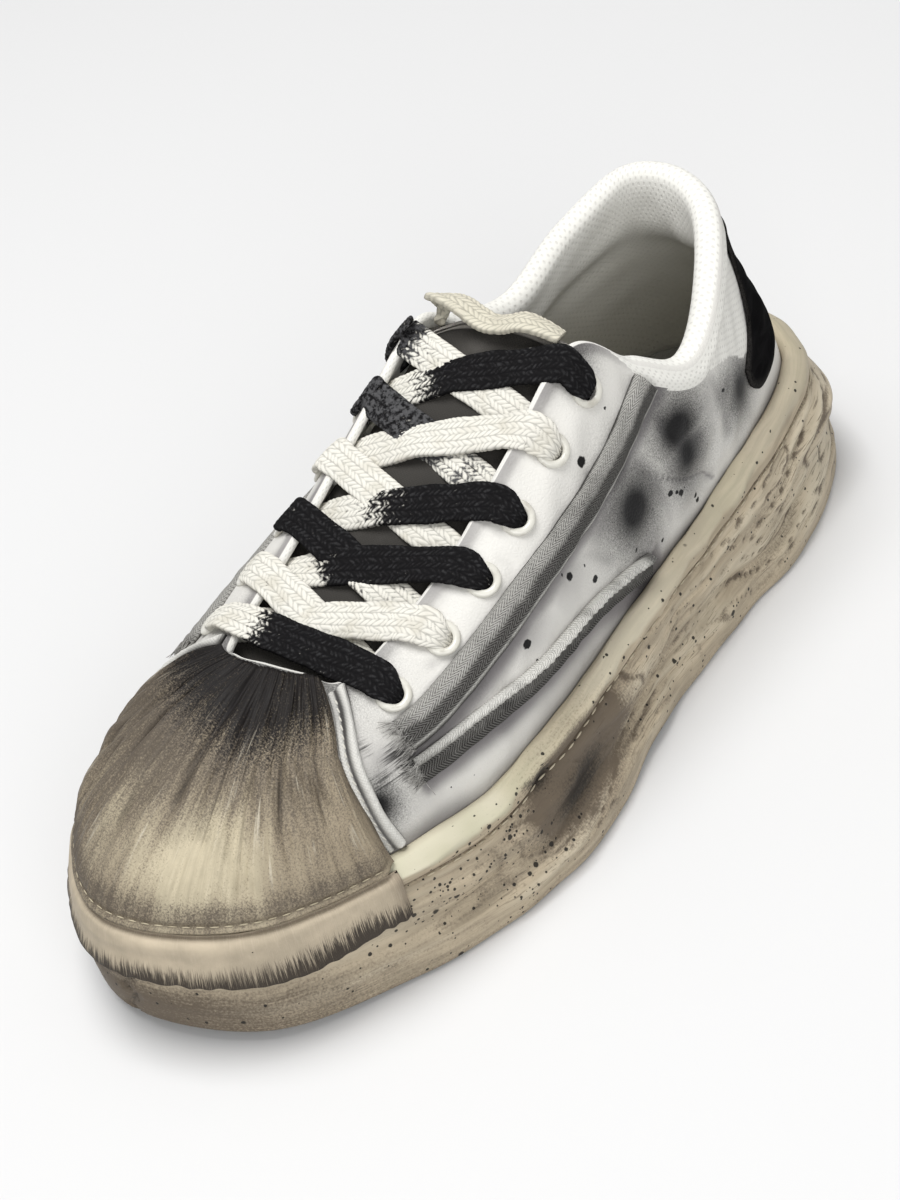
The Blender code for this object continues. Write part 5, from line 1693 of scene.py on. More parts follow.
        # Tan all over but under the painted pool of light and at the lip.
        tan = np.clip(0.92 - 1.05 * glow - 0.25 * bell(climb - 0.02, 0.02), 0, 1)
        # worn: the band up the cap where the ridges get their painted highlight
        worn = smooth((climb - 0.12) / 0.15) * smooth((0.95 - climb) / 0.3)
        edge = np.maximum(lip, 0.8 * (1 - ends))
        marks = {"ridge": ridge, "soot": np.clip(soot, 0, 1) + 0 * share, "grime_and_painted_light": np.clip(grime_and_painted_light, 0, 1),
                 "tan": tan, "worn": worn + 0 * share, "edge": edge + 0 * share}
        rubber = CapRubber("cap_rubber", roughness=0.62, bump=0.45, depth=0.22 * MM, specular=0.2)
        shell = sewn("toe_cap_shell", slab_skin(outer, inner, marks), [rubber.material()])
        settle(shell, "toe_cap", "toe_cap")
        row = int(np.argmin(np.abs(climb[0] - self.lip_at)))
        line = outer[14:-14, row] + (normal * 0.15 * MM)[14:-14, row]
        thread = Plain("lip_thread", roughness=0.8, tint=(0.50, 0.44, 0.31), dirt=(0.2, 0.16, 0.11))
        facing = normal[14:-14, row][np.linspace(0, self.across - 29, 400).astype(int)]
        sewing = stitches("toe_cap_stitches", evenly(line, 400), facing, 3.6 * MM, 0.36 * MM, 0.3 * MM,
                          thread.material(), 0.7)
        settle(sewing, "toe_cap")
        return [shell, sewing]


@dataclass
class ToeBand:
    """The tan rubber band under the cap, over the rim and the crease."""

    span: tuple[float, float] = (0.438, 0.577)
    rows: tuple = (("rim", "crease", 0.00, 0.5, -1.2, 0.7), ("rim", "crease", 0.15, 0.0, 0.5, 1.2),
                   ("rim", "crease", 0.60, 0.0, 1.3, 1.5), ("crease", "belly", 0.10, 0.0, 1.1, 2.0),
                   ("crease", "belly", 0.55, 0.0, 0.8, 1.7), ("crease", "belly", 1.05, 0.0, 0.75, 1.3))
    along: int = 420
    up: int = 44

    def build(self) -> bpy.types.Object:
        """The band, with a bitten lower edge.

        Returns:
            The finished piece.
        """
        u = np.linspace(*self.span, self.along)
        foot, out = FORM.foot(u), FORM.out(u)
        taper = np.minimum(1, 40 * np.minimum(u - u[0], u[-1] - u) / (u[-1] - u[0]) + 0.45)
        inner, outer = [], []
        for upper, lower, share, rise, clear, thick in self.rows:
            z = FORM.sole(upper + "_z", u) * (1 - share) + FORM.sole(lower + "_z", u) * share + rise * MM
            distance = FORM.sole(upper, u) * (1 - share) + FORM.sole(lower, u) * share + clear * MM
            base = foot * [1, 1, 0] + z[:, None] * UP
            inner.append(base + out * distance[:, None])
            outer.append(base + out * (distance + thick * MM * taper)[:, None])
        outer = through(outer, self.up).transpose(1, 0, 2)
        inner = through(inner, 8).transpose(1, 0, 2)
        down = np.linspace(0, 1, self.up)[None, :]
        uu = u[:, None] + 0 * down
        bitten = 0.35 * MM * ripple(uu * 260, down * 0.2, 21) * smooth((down - 0.75) / 0.25)
        swell = 0.16 * MM * ripple(uu * 60, down * 1.6, 22) - 0.5 * MM * bell(down - 0.06, 0.05)
        outer = outer + out[:, None] * swell[..., None] + bitten[..., None] * UP
        hair = 0.55 + 0.45 * bell(uu - 0.452, 0.016) + 0.10 * bell(uu - 0.50, 0.02)
        # Darker just under the cap's lip (painted shade), at the band's lateral end and towards the medial
        # side.
        grime_and_painted_light = np.maximum(0.8 * bell(uu - self.span[0], 0.004), 0.9 * bell(down - 0.05, 0.05))
        grime_and_painted_light = np.maximum(grime_and_painted_light, 0.45 * smooth((uu - 0.53) / 0.03))
        marks = {"rise": 1 - down + 0 * uu, "hair": hair, "grime_and_painted_light": grime_and_painted_light}
        rubber = BandRubber("band_rubber", roughness=0.6, bump=0.6, depth=0.25 * MM, specular=0.3)
        piece = sewn("toe_band", slab_skin(outer, inner, marks), [rubber.material()])
        return settle(piece, "toe_bumper", "toe_bumper")


@dataclass
class CupSole:
    """The cup of aged rubber: rolled rim, creased side with melted ridges, and the base lip."""

    columns: int = 641
    profile: int = 92
    hollow: tuple[float, float] = (0.330, 2.45)
    crack_u: float = 0.506
    front_u: float = 0.508
    stitch_level: float = 1.06
    stitched: tuple = ((0.02, 0.43), (0.585, 0.98))
    dirt: tuple = ((2.3, 0.329, 0.036, 2.0, 1.35), (0.35, 0.585, 0.03, 0.0, math.inf),
                   (0.22, 0.24, 0.03, 2.2, 0.8), (0.3, 0.515, 0.035, 4.0, 0.5))
    splashes: tuple = ((1.0, 0.424, 0.017, 2.0, 0.9), (0.5, 0.385, 0.03, 0.0, math.inf),
                       (0.3, 0.15, 0.035, 2.0, 0.7), (0.16, 0.24, 0.05, 0.0, math.inf),
                       (0.55, 0.595, 0.02, 0.0, math.inf), (0.14, 0.7, 0.08, 0.0, math.inf),
                       (0.2, 0.86, 0.05, 0.0, math.inf))

    def section(self, u: np.ndarray) -> tuple[np.ndarray, np.ndarray]:
        """Points of the side at each u, from inside the cup over the rim and down, with their levels.

        Args:
            u: Places round the foot.

        Returns:
            Rows of points, and a level for each row.
        """
        level = {name: FORM.sole(name, u) for name in FORM.sole_columns[1:]}
        foot, out = FORM.foot(u), FORM.out(u)
        side = lambda z, d: foot * [1, 1, 0] + out * d[:, None] + z[:, None] * UP
        names = ("rim", "crease", "belly", "dip", "lip")

        def between(at: float) -> tuple[np.ndarray, np.ndarray]:
            """Height of the side, and its distance out, at a level between two of the named ones.

            Args:
                at: The level, from 0 to 4.

            Returns:
                Heights and distances, in metres.
            """
            i = min(int(at), 3)
            t = at - i
            a, b = names[i], names[i + 1]
            return level[a + "_z"] * (1 - t) + level[b + "_z"] * t, level[a] * (1 - t) + level[b] * t

        rim = FORM.rim_v(u)
        rows = [foot - 0.3 * MM * UP + out * 0.3 * MM]
        levels = [-2.0]
        for k in (1, 2, 3):
            v = rim * k / 3
            rows.append(FORM.face(u, v) + FORM.normal(u, v) * 0.3 * MM)
            levels.append(-2 + 0.5 * k)
        bulge = ((0.0, 0.4, -4.4), (0.0, -0.2, -2.6), (0.0, -1.6, -0.6), (0.45, 0.0, 0.5),
                 (0.83, 0.0, 0.35), (1.0, 0.0, -0.5), (1.15, 0.0, 0.2), (1.6, 0.0, 0.2), (2.0, 0.0, 0.0),
                 (2.5, 0.0, 0.0), (3.0, 0.0, 0.0), (3.5, 0.0, 0.0), (4.0, 0.0, 0.0))
        for at, rise, stand in bulge:
            z, d = between(at)
            rows.append(side(z + rise * MM, d + stand * MM))
            levels.append(at + (-0.35 if rise > 0 else 0.0))
        ground = FORM.floor_line(FORM.last("fs", u))
        for at, rise, stand in ((4.4, 2.2, -0.2), (4.6, 0.7, -0.5), (4.7, 0.7, -0.9), (4.8, 3.4, -0.95)):
            rows.append(side(ground + rise * MM, level["lip"] + stand * MM))
            levels.append(at)
        return np.array(rows), np.array(levels)

    def build(self) -> list[bpy.types.Object]:
        """The cup and the stitches along its crease.

        Returns:
            The two pieces.
        """
        u = np.linspace(0, 1, self.columns)
        rows, levels = self.section(u)
        points = through(rows, self.profile)
        at = through(levels[:, None], self.profile)
        level = at + 0 * u[None, :]
        uu = u[None, :] + 0 * at
        out = FORM.out(u)
        wall = smooth((level - 0.75) / 0.6) * smooth((4.4 - level) / 0.5)
        sway = 0.5 * ripple(uu * 6, level * 0.15, 31)
        heel = np.minimum(np.mod(uu, 1.0), 1 - np.mod(uu, 1.0))
        front = bell(uu - self.front_u, 0.070)
        wild = 0.40 + 0.60 * smooth((0.24 - heel) / 0.10) + 0.35 * bell(uu - 0.30, 0.05)
        wild = wild * (1 - 0.8 * front)
        broad = ripple(uu * 9, level * 0.95 + 1.5 * sway, 35)
        line = ripple(uu * 11, level * 1.25 + 2.2 * sway, 36)
        valley = bell(line, 0.14)
        fine = ripple(uu * 34, level * 2.2 + 2.0 * sway, 33)
        height = wall * wild * MM * (0.80 * broad - 0.60 * valley) + wall * 0.10 * MM * fine
        rim_zone = smooth((level + 0.6) / 0.3) * smooth((0.95 - level) / 0.2)
        height += rim_zone * 0.35 * MM * ripple(uu * 26, level * 0.6, 34)
        hollow = patches(uu, level, (1.0, self.hollow[0], 0.024, self.hollow[1], 0.85))
        small = patches(uu, level, (1.0, 0.350, 0.010, 0.85, 0.45))
        height -= 1.6 * MM * hollow + 1.0 * MM * small
        crack = bell(uu - self.crack_u - 0.0012 * np.sin(level * 9), 0.0011) * smooth((level - 3.1) / 0.3)
        height -= 1.3 * MM * crack
        joint = bell(np.minimum(uu, 1 - uu), 0.0016) * smooth(level / 0.4)
        height -= 0.8 * MM * joint
        points = points + out[None] * height[..., None]
        edge = 0.66 + 0.16 * ripple(uu * 24, 0 * level, 37) + 0.04 * ripple(uu * 70, 0 * level, 38)
        rim_mark = smooth((level + 0.6) / 0.3) * smooth((edge - level) / 0.40)
        rim_mark = rim_mark * (1 - 0.65 * bell(uu - 0.325, 0.05) - 0.62 * smooth((0.30 - heel) / 0.10))
        # Pale: a painted highlight on the wall's outward bulges, and paler near u 0.10 except in the valleys.
        pale = wall * np.clip(1.3 * broad, 0, 1) * (0.25 + 0.75 * wild)
        pale = pale + 0.5 * bell(uu - 0.10, 0.05) * wall * (1 - valley)
        # Crease: painted shade along the crease under the rim, in the wall's valleys and where its waves
        # sink.
        crease = bell(level - 1.0, 0.06) * 0.55 + 0.75 * valley * wall * wild
        crease = crease + 0.30 * np.clip(-broad, 0, 1) * wall * wild
        black = 0.95 * hollow + 1.0 * small + 0.7 * crack + 0.65 * joint
        black = np.clip(black + patches(uu, level, (0.6, 0.362, 0.006, 0.35, 0.4)), 0, 1)
        # Darker low on the wall under the toe; the grime line below also darkens the base all round, less at
        # the front.
        low_toe_darkening = bell(uu - 0.500, 0.055) * smooth((level - 2.7) / 0.9)
        # Grime: the painted shade of the crease and valleys, the darkening low at the toe, and smudges.
        grime_and_painted_light = 1.15 * crease + 0.62 * low_toe_darkening + patches(uu, level, *self.dirt)
        grime_and_painted_light = grime_and_painted_light + 0.25 * smooth((0.07 - heel) / 0.04) * smooth((level - 1.2) / 0.5)
        grime_and_painted_light = np.clip(grime_and_painted_light + 0.28 * smooth((level - 4.1) / 0.4) * (1 - 0.6 * front), 0, 1)
        splash = patches(uu, level, *self.splashes) * smooth((level + 0.3) / 0.8) + 0.05
        flow = wall * (0.35 + 0.65 * smooth((0.45 - np.minimum(uu, 1 - uu)) / 0.08)) * (1 - 0.8 * front)
        marks = {"rim": rim_mark, "grime_and_painted_light": grime_and_painted_light, "black": black, "splash": np.clip(splash, 0, 1),
                 "flow": flow, "pale": np.clip(pale, 0, 1)}
        uv = np.stack([uu * 0.72, lengths(points).mean(axis=1)[:, None] + 0 * uu + 0.004 * sway], -1)
        rubber = CupRubber("cup_rubber", roughness=0.58, bump=0.4, depth=0.25 * MM, specular=0.3)
        cup = sewn("cup_sole", Skin(points, uv, marks), [rubber.material()])
        settle(cup, "midsole", "midsole")
        z_row = int(np.argmin(np.abs(at[:, 0] - self.stitch_level)))
        line = points[z_row] + out * 0.25 * MM
        rows_of = []
        thread = Plain("sole_thread", roughness=0.8, tint=(0.52, 0.46, 0.34),
                       dirt=(0.2, 0.16, 0.11)).material()
        for low, high in self.stitched:
            keep = (u > low) & (u < high)
            rows_of.append(stitches("dashes", line[keep], out[keep], 4.2 * MM, 0.6 * MM, 0.5 * MM, thread,
                                    0.7))
        sewing = joined("sole_stitches", rows_of)
        settle(sewing, "midsole")
        return [cup, sewing]


# ---------------------------------------------------------------- footbed and tread
@dataclass
class Footbed:
    """The cloth insole: dished at the heel, pressed by the ball and the toes."""

    thick: float = 4.0 * MM
    gap: float = 0.3 * MM
    side_gap: float = 0.8 * MM
    dish: float = 1.2 * MM
    toe_gap: float = 3.5 * MM
    along: int = 150
    across: int = 46

    def outline(self) -> tuple[float, float, Callable]:
        """First and last place along, and the lateral and medial x at each place between.

        Returns:
            The two places, and a function that gives both x.
        """
        u = np.linspace(0, 1, 2401)
        toes = smooth((FORM.last("fs", u) - 215 * MM) / (35 * MM))
        inset = -(FORM.wall + self.side_gap + self.toe_gap * toes)
        ring = FORM.foot(u) + FORM.out(u) * inset[:, None]
        s = FORM.heel_back_y - ring[:, 1]
        front, back = np.argmax(s), np.argmin(np.where(u < 0.5, s, 1))
        rear = np.argmin(np.where(u > 0.5, s, 1))
        lateral, medial = slice(back, front + 1), slice(front, rear + 1)
        x = lambda at: (np.interp(at, s[lateral], ring[lateral, 0]), np.interp(-at, -s[medial],
                                                                               ring[medial, 0]))
        return max(s[back], s[rear]), s[front], x

    def build(self) -> bpy.types.Object:
        """The insole.

        Returns:
            The finished piece.
        """
        first, last, x = self.outline()
        t = np.linspace(0, 1, self.along)
        s = first + 0.2 * MM + (last - first - 0.4 * MM) * (0.5 - 0.5 * np.cos(math.pi * t))
        lateral_x, medial_x = x(s)
        share = 0.5 - 0.5 * np.cos(math.pi * np.linspace(0, 1, self.across))
        ss = np.broadcast_to(s[:, None], (self.along, self.across))
        xx = lateral_x[:, None] + (medial_x - lateral_x)[:, None] * share
        z = FORM.footbed(ss) + self.gap + self.thick + self.dish * np.abs(2 * share - 1) ** 3
        heel = bell(ss - 30 * MM, 24 * MM) * bell(share - 0.5, 0.4)
        ball = bell(ss - 188 * MM, 26 * MM) * bell(share - 0.5, 0.42)
        z = z - 0.9 * MM * heel - 0.7 * MM * ball + 0.12 * MM * ripple(ss * 30, share * 3, 41)
        edge = np.minimum(share, 1 - share)
        z = z - 0.8 * MM * (1 - smooth(edge / 0.03))
        outer = np.stack([xx, FORM.heel_back_y - ss, z], -1)
        inner = outer.copy()[:, [0, 15, 30, self.across - 1]]
        inner[..., 2] = FORM.footbed(ss)[:, :4] + self.gap
        deep = np.clip(0.35 + 0.45 * heel + 0.4 * ball + 0.2 * smooth((ss - 120 * MM) / 0.1), 0, 1)
        cloth = Canvas("insole_cloth", roughness=0.95, bump=0.5, tint=(0.33, 0.32, 0.285),
                       deep=(0.1, 0.095, 0.08))
        piece = sewn("footbed_cloth", slab_skin(outer, inner, {"deep": deep}), [cloth.material()])
        return settle(piece, "insole", "insole")


def dress_tread() -> None:
    """Gives the tread plate its scuffed dark rubber."""
    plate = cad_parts["outsole"]
    rubber = Plain("tread_rubber", roughness=0.75, bump=0.6, depth=0.4 * MM, tint=(0.10, 0.088, 0.07),
                   dirt=(0.32, 0.27, 0.20), scale=90.0, amount=0.8)
    plate.data.materials.clear()
    plate.data.materials.append(rubber.material())
    log.info("outsole: dressed")


# ---------------------------------------------------------------- tongue
@dataclass
class Tongue:
    """The padded tongue, sunk a little under the eyestays so that the laces pass between."""

    thick: float = 3.5 * MM
    clear: float = 1.0 * MM
    handle: float = 0.33
    level: float = 1.6
    tuck: tuple[float, ...] = (13 * MM, 8 * MM, 3.5 * MM)
    beyond: float = 6 * MM
    nose: tuple[float, ...] = (0.0, 11 * MM, 5 * MM)
    nose_narrow: tuple[float, ...] = (0.72, 1.0, 1.0)
    sink: float = 2.3 * MM
    eyelets: tuple = Upper.eyelets

    def section(self, lateral_u: float, medial_u: float) -> np.ndarray:
        """The outer face across one station, from under one eyestay to under the other.

        Args:
            lateral_u: Where it starts, round the foot.
            medial_u: Where it ends.

        Returns:
            A row of points.
        """
        depth = FORM.wall + self.clear
        ends = []
        for u in (lateral_u, medial_u):
            v = np.array([FORM.below_top(u, d) for d in self.tuck])
            uu = np.full_like(v, u)
            ends.append(FORM.face(uu, v) - FORM.normal(uu, v) * depth)
        start, stop = ends[0][-1], ends[1][-1]
        chord = stop - start
        reach = self.handle * np.linalg.norm(chord)
        first = start + reach * unit(unit(start - ends[0][-2]) + self.level * unit(chord))
        last = stop + reach * unit(unit(stop - ends[1][-2]) - self.level * unit(chord))
        t = np.linspace(0, 1, 7)[1:-1, None]
        bridge = start * (1 - t)**3 + 3 * first * t * (1 - t)**2 + 3 * last * t * t * (1 - t) + stop * t**3
        return np.concatenate([ends[0], bridge, ends[1][::-1]])

    def sections(self) -> np.ndarray:
        """Every station, from the front of the throat to the top end.

        Returns:
            A row of points for each station.
        """
        lateral = np.array([0.438, 0.42, 0.395, 0.365, 0.335, 0.305])
        medial = np.interp(lateral, [a for a, _ in self.eyelets][::-1], [b for _, b in self.eyelets][::-1])
        medial = np.where(lateral > self.eyelets[0][0], FORM.mirrored(lateral), medial)
        rows = [self.section(a, b) for a, b in zip(lateral, medial)]
        rows.insert(0, (rows[0] - rows[0][5]) * np.array(self.nose_narrow) + rows[0][5] - np.array(self.nose))
        step = unit(rows[-1][5] - rows[-2][5])
        middle = rows[-1][5] * [1, 0, 0]
        for beyond, narrow in ((0.5, 0.98), (1.0, 0.94)):
            rows.append((rows[6] + step * self.beyond * beyond - middle) * [narrow, 1, 1] + middle)
        return np.array(rows)

    def surface(self, along: int = 120, across: int = 90) -> tuple[np.ndarray, np.ndarray]:
        """The sunk outer face as a dense grid, and its normals.

        Args:
            along: Rows from front to top.
            across: Points in each row.

        Returns:
            The points and the normals.
        """
        dense = through(self.sections(), along)
        dense = through(dense.transpose(1, 0, 2), across).transpose(1, 0, 2)
        normal = unit(np.cross(np.gradient(dense, axis=0), np.gradient(dense, axis=1)))
        normal = np.where(normal[..., 2:] < 0, -normal, normal)
        side = np.abs(np.linspace(-1, 1, across))
        sunk = self.sink * (0.35 + 0.65 * smooth((side - 0.2) / 0.4))
        return dense - normal * sunk[None, :, None], normal

    def build(self) -> bpy.types.Object:
        """The tongue, plump between its edges, with a bound top end.

        Returns:
            The finished piece.
        """
        face, normal = self.surface()
        rows, columns = face.shape[:2]
        t = np.linspace(0, 1, rows)[:, None]
        x = np.linspace(-1, 1, columns)[None, :]
        plump = 0.7 * MM * (1 - x**4) * smooth((1 - t) / 0.1) + 0.35 * MM * ripple(t * 6, x * 2.0, 51)
        binding = smooth((t - 0.955) / 0.01)
        plump = plump + 0.7 * MM * binding - 0.6 * MM * bell(t - 0.945, 0.008)
        outer = face + normal * plump[..., None]
        edge = np.clip(0.45 + 2.2 * (1 - np.abs(x)), 0.45, 1)
        end = 0.5 + 0.5 * smooth(t / 0.05) - 0.35 * smooth((t - 0.95) / 0.05)
        inner = (face - normal * (self.thick * edge * end)[..., None])[:, ::6]
        # Deep: painted shade below the top end, where laces and eyestays fall over it, towards the edges and
        # in the groove before the binding.
        deep = np.clip(0.30 + 0.25 * np.abs(x) + 0.55 * bell(t - 0.945, 0.012) - 0.30 * binding
                       + 0.66 * smooth((0.90 - t) / 0.08), 0, 1)
        cloth = Canvas("tongue_cloth", roughness=0.92, bump=0.45, specular=0.2, tint=(0.56, 0.53, 0.49),
                       deep=(0.045, 0.042, 0.038))
        piece = sewn("tongue_pad", slab_skin(outer, inner, {"deep": deep}), [cloth.material()])
        return settle(piece, "tongue", "tongue")


# ---------------------------------------------------------------- overlays
@dataclass
class Strip:
    """A band laid along places (u, v) on the upper, on both sides of the shoe."""

    places: Places
    width: float
    thick: float
    gap: float = 0.3 * MM
    shift: float = 0.0
    lower: float = 1.0
    along: int = 300
    across: int = 22

    def ribbon(self, side: Side, profile: Profile) -> tuple[np.ndarray, ...]:
        """The strip's outer face, its inner face, their normals and its own coordinates.

        Args:
            side: Which side of the shoe.
            profile: Height above the gap for places along (0 to 1) and across (-1 to 1), in metres.

        Returns:
            Outer points, inner points, normals, and the places along and across.
        """
        points = [(float(FORM.side(u, side)), v * (1.0 if side is Side.LATERAL else self.lower))
                  for u, v in self.places]
        line = through(points, self.along)
        e = 1e-3
        u, v = line.T
        du = (FORM.face(u + e, v) - FORM.face(u - e, v)) / (2 * e)
        dv = (FORM.face(u, v + e) - FORM.face(u, v - e)) / (2 * e)
        aside = unit(np.cross(FORM.normal(u, v), unit(np.gradient(FORM.face(u, v), axis=0))))
        steps = np.array([np.linalg.lstsq(np.stack([a, b], 1), want, rcond=None)[0]
                          for a, b, want in zip(du, dv, aside)])
        x = np.linspace(-1, 1, self.across)
        shift = self.shift * (-1 if side is Side.LATERAL else 1)
        at = line[:, None] + steps[:, None] * (x[None, :, None] * self.width / 2 + shift)
        base, normal = FORM.face(at[..., 0], at[..., 1]), FORM.normal(at[..., 0], at[..., 1])
        t = np.linspace(0, 1, self.along)[:, None] + 0 * x
        xx = x[None, :] + 0 * t
        outer = base + normal * (self.gap + profile(t, xx))[..., None]
        inner = (base + normal * self.gap * 0.3)[:, ::7]
        return outer, inner, normal, t, xx


@dataclass
class Tapes:
    """The diagonal and the bowed twill tapes, with their frayed ends."""

    rope: float = 1.5 * MM
    threads: int = 60
    thread_width: float = 0.22 * MM
    diagonal: Strip = field(default_factory=lambda: Strip(
        ((0.247, 0.92), (0.280, 0.69), (0.305, 0.61), (0.330, 0.61), (0.355, 0.63), (0.386, 0.645),
         (0.405, 0.645), (0.418, 0.645), (0.428, 0.655)), 9 * MM, 1.0 * MM, lower=0.94))
    bowed: Strip = field(default_factory=lambda: Strip(
        ((0.425, 0.494), (0.413, 0.474), (0.387, 0.435), (0.358, 0.382), (0.332, 0.348), (0.306, 0.324),
         (0.280, 0.316), (0.258, 0.312), (0.240, 0.294)), 7 * MM, 1.4 * MM, lower=0.94))

    def build(self) -> list[bpy.types.Object]:
        """Four tapes and one mesh of loose threads.

        Returns:
            The pieces.
        """
        kinds = {"side_tape": Twill("side_twill", roughness=1.0, bump=0.8, depth=0.3 * MM, specular=0.1,
                                    rib=1.25 * MM, column=1.3 * MM).material(),
                 "arch_tape": Twill("arch_twill", roughness=1.0, bump=0.8, depth=0.35 * MM,
                                    specular=0.1).material()}
        made, frays = [], []
        for side in Side:
            up = 1.0 if side is Side.LATERAL else -1.0
            for name, strip in (("side_tape", self.diagonal), ("arch_tape", self.bowed)):
                bowed = name == "arch_tape"

                def profile(t: np.ndarray, x: np.ndarray) -> np.ndarray:
                    """A rounded roll, or a flat tape with a rope-like upper edge.

                    Args:
                        t: Places along, 0 to 1.
                        x: Places across, -1 to 1.

                    Returns:
                        Heights in metres.
                    """
                    edge = 0.55 + 0.45 * smooth((1 - np.abs(x)) / 0.25)
                    rope = self.rope * np.sqrt(np.clip(1 - ((x * up - 0.70) / 0.30) ** 2, 0, 1))
                    strands = 0.24 * MM * np.sin(2 * math.pi * (t * 44 + x * up * 1.6)) * (rope > 0)
                    round_back = self.rope * np.sqrt(np.clip(1 - x * x, 0, 1))
                    full = rope + strands if bowed else round_back
                    return strip.thick * edge + full + 0.14 * MM * ripple(t * 9, x, 61)

                outer, inner, normal, t, x = strip.ribbon(side, profile)
                across = x * up
                if bowed:
                    soot = 0.76 - 0.34 * across + 0.25 * smooth((0.25 - t) / 0.25)
                    soot = soot + 0.5 * smooth((t - 0.90) / 0.1)
                    white = smooth((across - 0.32) / 0.16) * (1 - 0.85 * smooth((t - 0.90) / 0.08))
                    white = white * (0.45 + 0.55 * smooth((t - 0.05) / 0.2))
                else:
                    # Side tape: the Soot mark is mostly painted shade down the roll's lower side, with soot
                    # towards its toe end.
                    soot = 0.26 + 0.90 * smooth((across + 0.42) / 0.75) + 0.30 * smooth((t - 0.88) / 0.12)
                    soot = soot + 0.22 * bell(t - 0.35, 0.12) - 0.12 * bell(t - 0.72, 0.15)
                    white = 0.75 * bell(across - 0.74, 0.07)
                marks = {"soot": np.clip(soot, 0, 1), "white": np.clip(white, 0, 1)}
                piece = sewn(f"{name}_{side.value}_twill", slab_skin(outer, inner, marks), [kinds[name]])
                made.append(settle(piece, "tape", f"{name}_{side.value}"))
                end = outer[-1] if not bowed else outer[0]
                before = outer[-12] if not bowed else outer[11]
                frays.append((end, unit(end - before), normal[-1] if not bowed else normal[0]))
        made.append(self.fray(frays))
        return made

    def fray(self, ends: list[tuple[np.ndarray, np.ndarray, np.ndarray]]) -> bpy.types.Object:
        """Loose threads beyond each tape's cut end, as one mesh.

        Args:
            ends: Each cut end: its points, the way ahead and its normals.

        Returns:
            The finished piece.
        """
        pick = np.random.RandomState(7)
        centres, axes = [], []
        for end, ahead, normal in ends:
            for _ in range(self.threads):
                i = pick.randint(0, len(end))
                lean = unit(ahead[i] + 0.35 * pick.normal(size=3))
                lean = unit(lean - 0.55 * np.sum(lean * normal[i]) * normal[i])
                long = pick.uniform(2.5, 7.5) * MM
                aside = unit(np.cross(normal[i], lean))
                centres.append(end[i] + lean * long * 0.3 + normal[i] * pick.uniform(-0.5, 0.1) * MM)
                axes.append([lean * long, aside * self.thread_width, normal[i] * self.thread_width])
        thread = Plain("fray_thread", roughness=0.95, tint=(0.34, 0.33, 0.31), dirt=(0.012, 0.011, 0.01),
                       amount=0.98)
        piece = strewn("tape_frays", seed_bead(6, 4), np.array(centres), np.array(axes), thread.material())
        return settle(piece, "tape")


@dataclass
class Piping:
    """The rolled white cord along each side edge of the cap, with its stitches."""

    strip: Strip = field(default_factory=lambda: Strip(
        ((0.440, 0.25), (0.450, 0.49), (0.460, 0.717), (0.462, 0.94)), 5.5 * MM, 2.4 * MM, gap=0.5 * MM,
        shift=3.45 * MM, along=160))

    def build(self) -> list[bpy.types.Object]:
        """Two welts and their stitches.

        Returns:
            The pieces.
        """
        cloth = Canvas("piping_cloth", roughness=0.9, bump=0.6, tint=(0.66, 0.65, 0.61),
                       deep=(0.05, 0.047, 0.045), pitch=0.0009).material()
        thread = Plain("piping_thread", roughness=0.85, tint=(0.62, 0.6, 0.54),
                       dirt=(0.15, 0.14, 0.12)).material()
        made, rows = [], []
        for side in Side:
            near_cap = -1.0 if side is Side.LATERAL else 1.0

            def profile(t: np.ndarray, x: np.ndarray) -> np.ndarray:
                """A round welt beside the cap, and a flat flange.

                Args:
                    t: Places along, 0 to 1.
                    x: Places across, -1 to 1.

                Returns:
                    Heights in metres.
                """
                a = x * near_cap
                welt = np.sqrt(np.clip(1 - ((a - 0.38) / 0.62) ** 2, 0, 1)) * self.strip.thick
                flange = 0.8 * MM * smooth((1 + a) / 0.15) * smooth((0.6 - a) / 0.4)
                return np.maximum(np.maximum(welt, flange), 0.25 * MM) + 0.06 * MM * ripple(t * 24, x, 71)

            outer, inner, normal, t, x = self.strip.ribbon(side, profile)
            a = x * near_cap
            # Deep: painted shade at the welt's foot and beside the cap, and a little painted highlight on its
            # crest.
            deep = np.clip(0.12 + 0.75 * bell(a + 0.30, 0.20) + 0.9 * bell(a - 1.0, 0.10)
                           + 0.25 * bell(t - 0.9, 0.12) - 0.2 * bell(a - 0.38, 0.25), 0, 1)
            piece = sewn(f"cap_piping_{side.value}_welt", slab_skin(outer, inner, {"deep": deep}), [cloth])
            made.append(settle(piece, "piping", f"cap_piping_{side.value}"))
            column = int(np.argmin(np.abs(a[0] + 0.55)))
            rows.append(stitches("row", outer[4:-4, column], normal[4:-4, column], 2.4 * MM, 0.5 * MM,
                                 0.5 * MM, thread, 0.75, 0.3))
        made.append(settle(joined("piping_stitches", rows), "piping"))
        return made


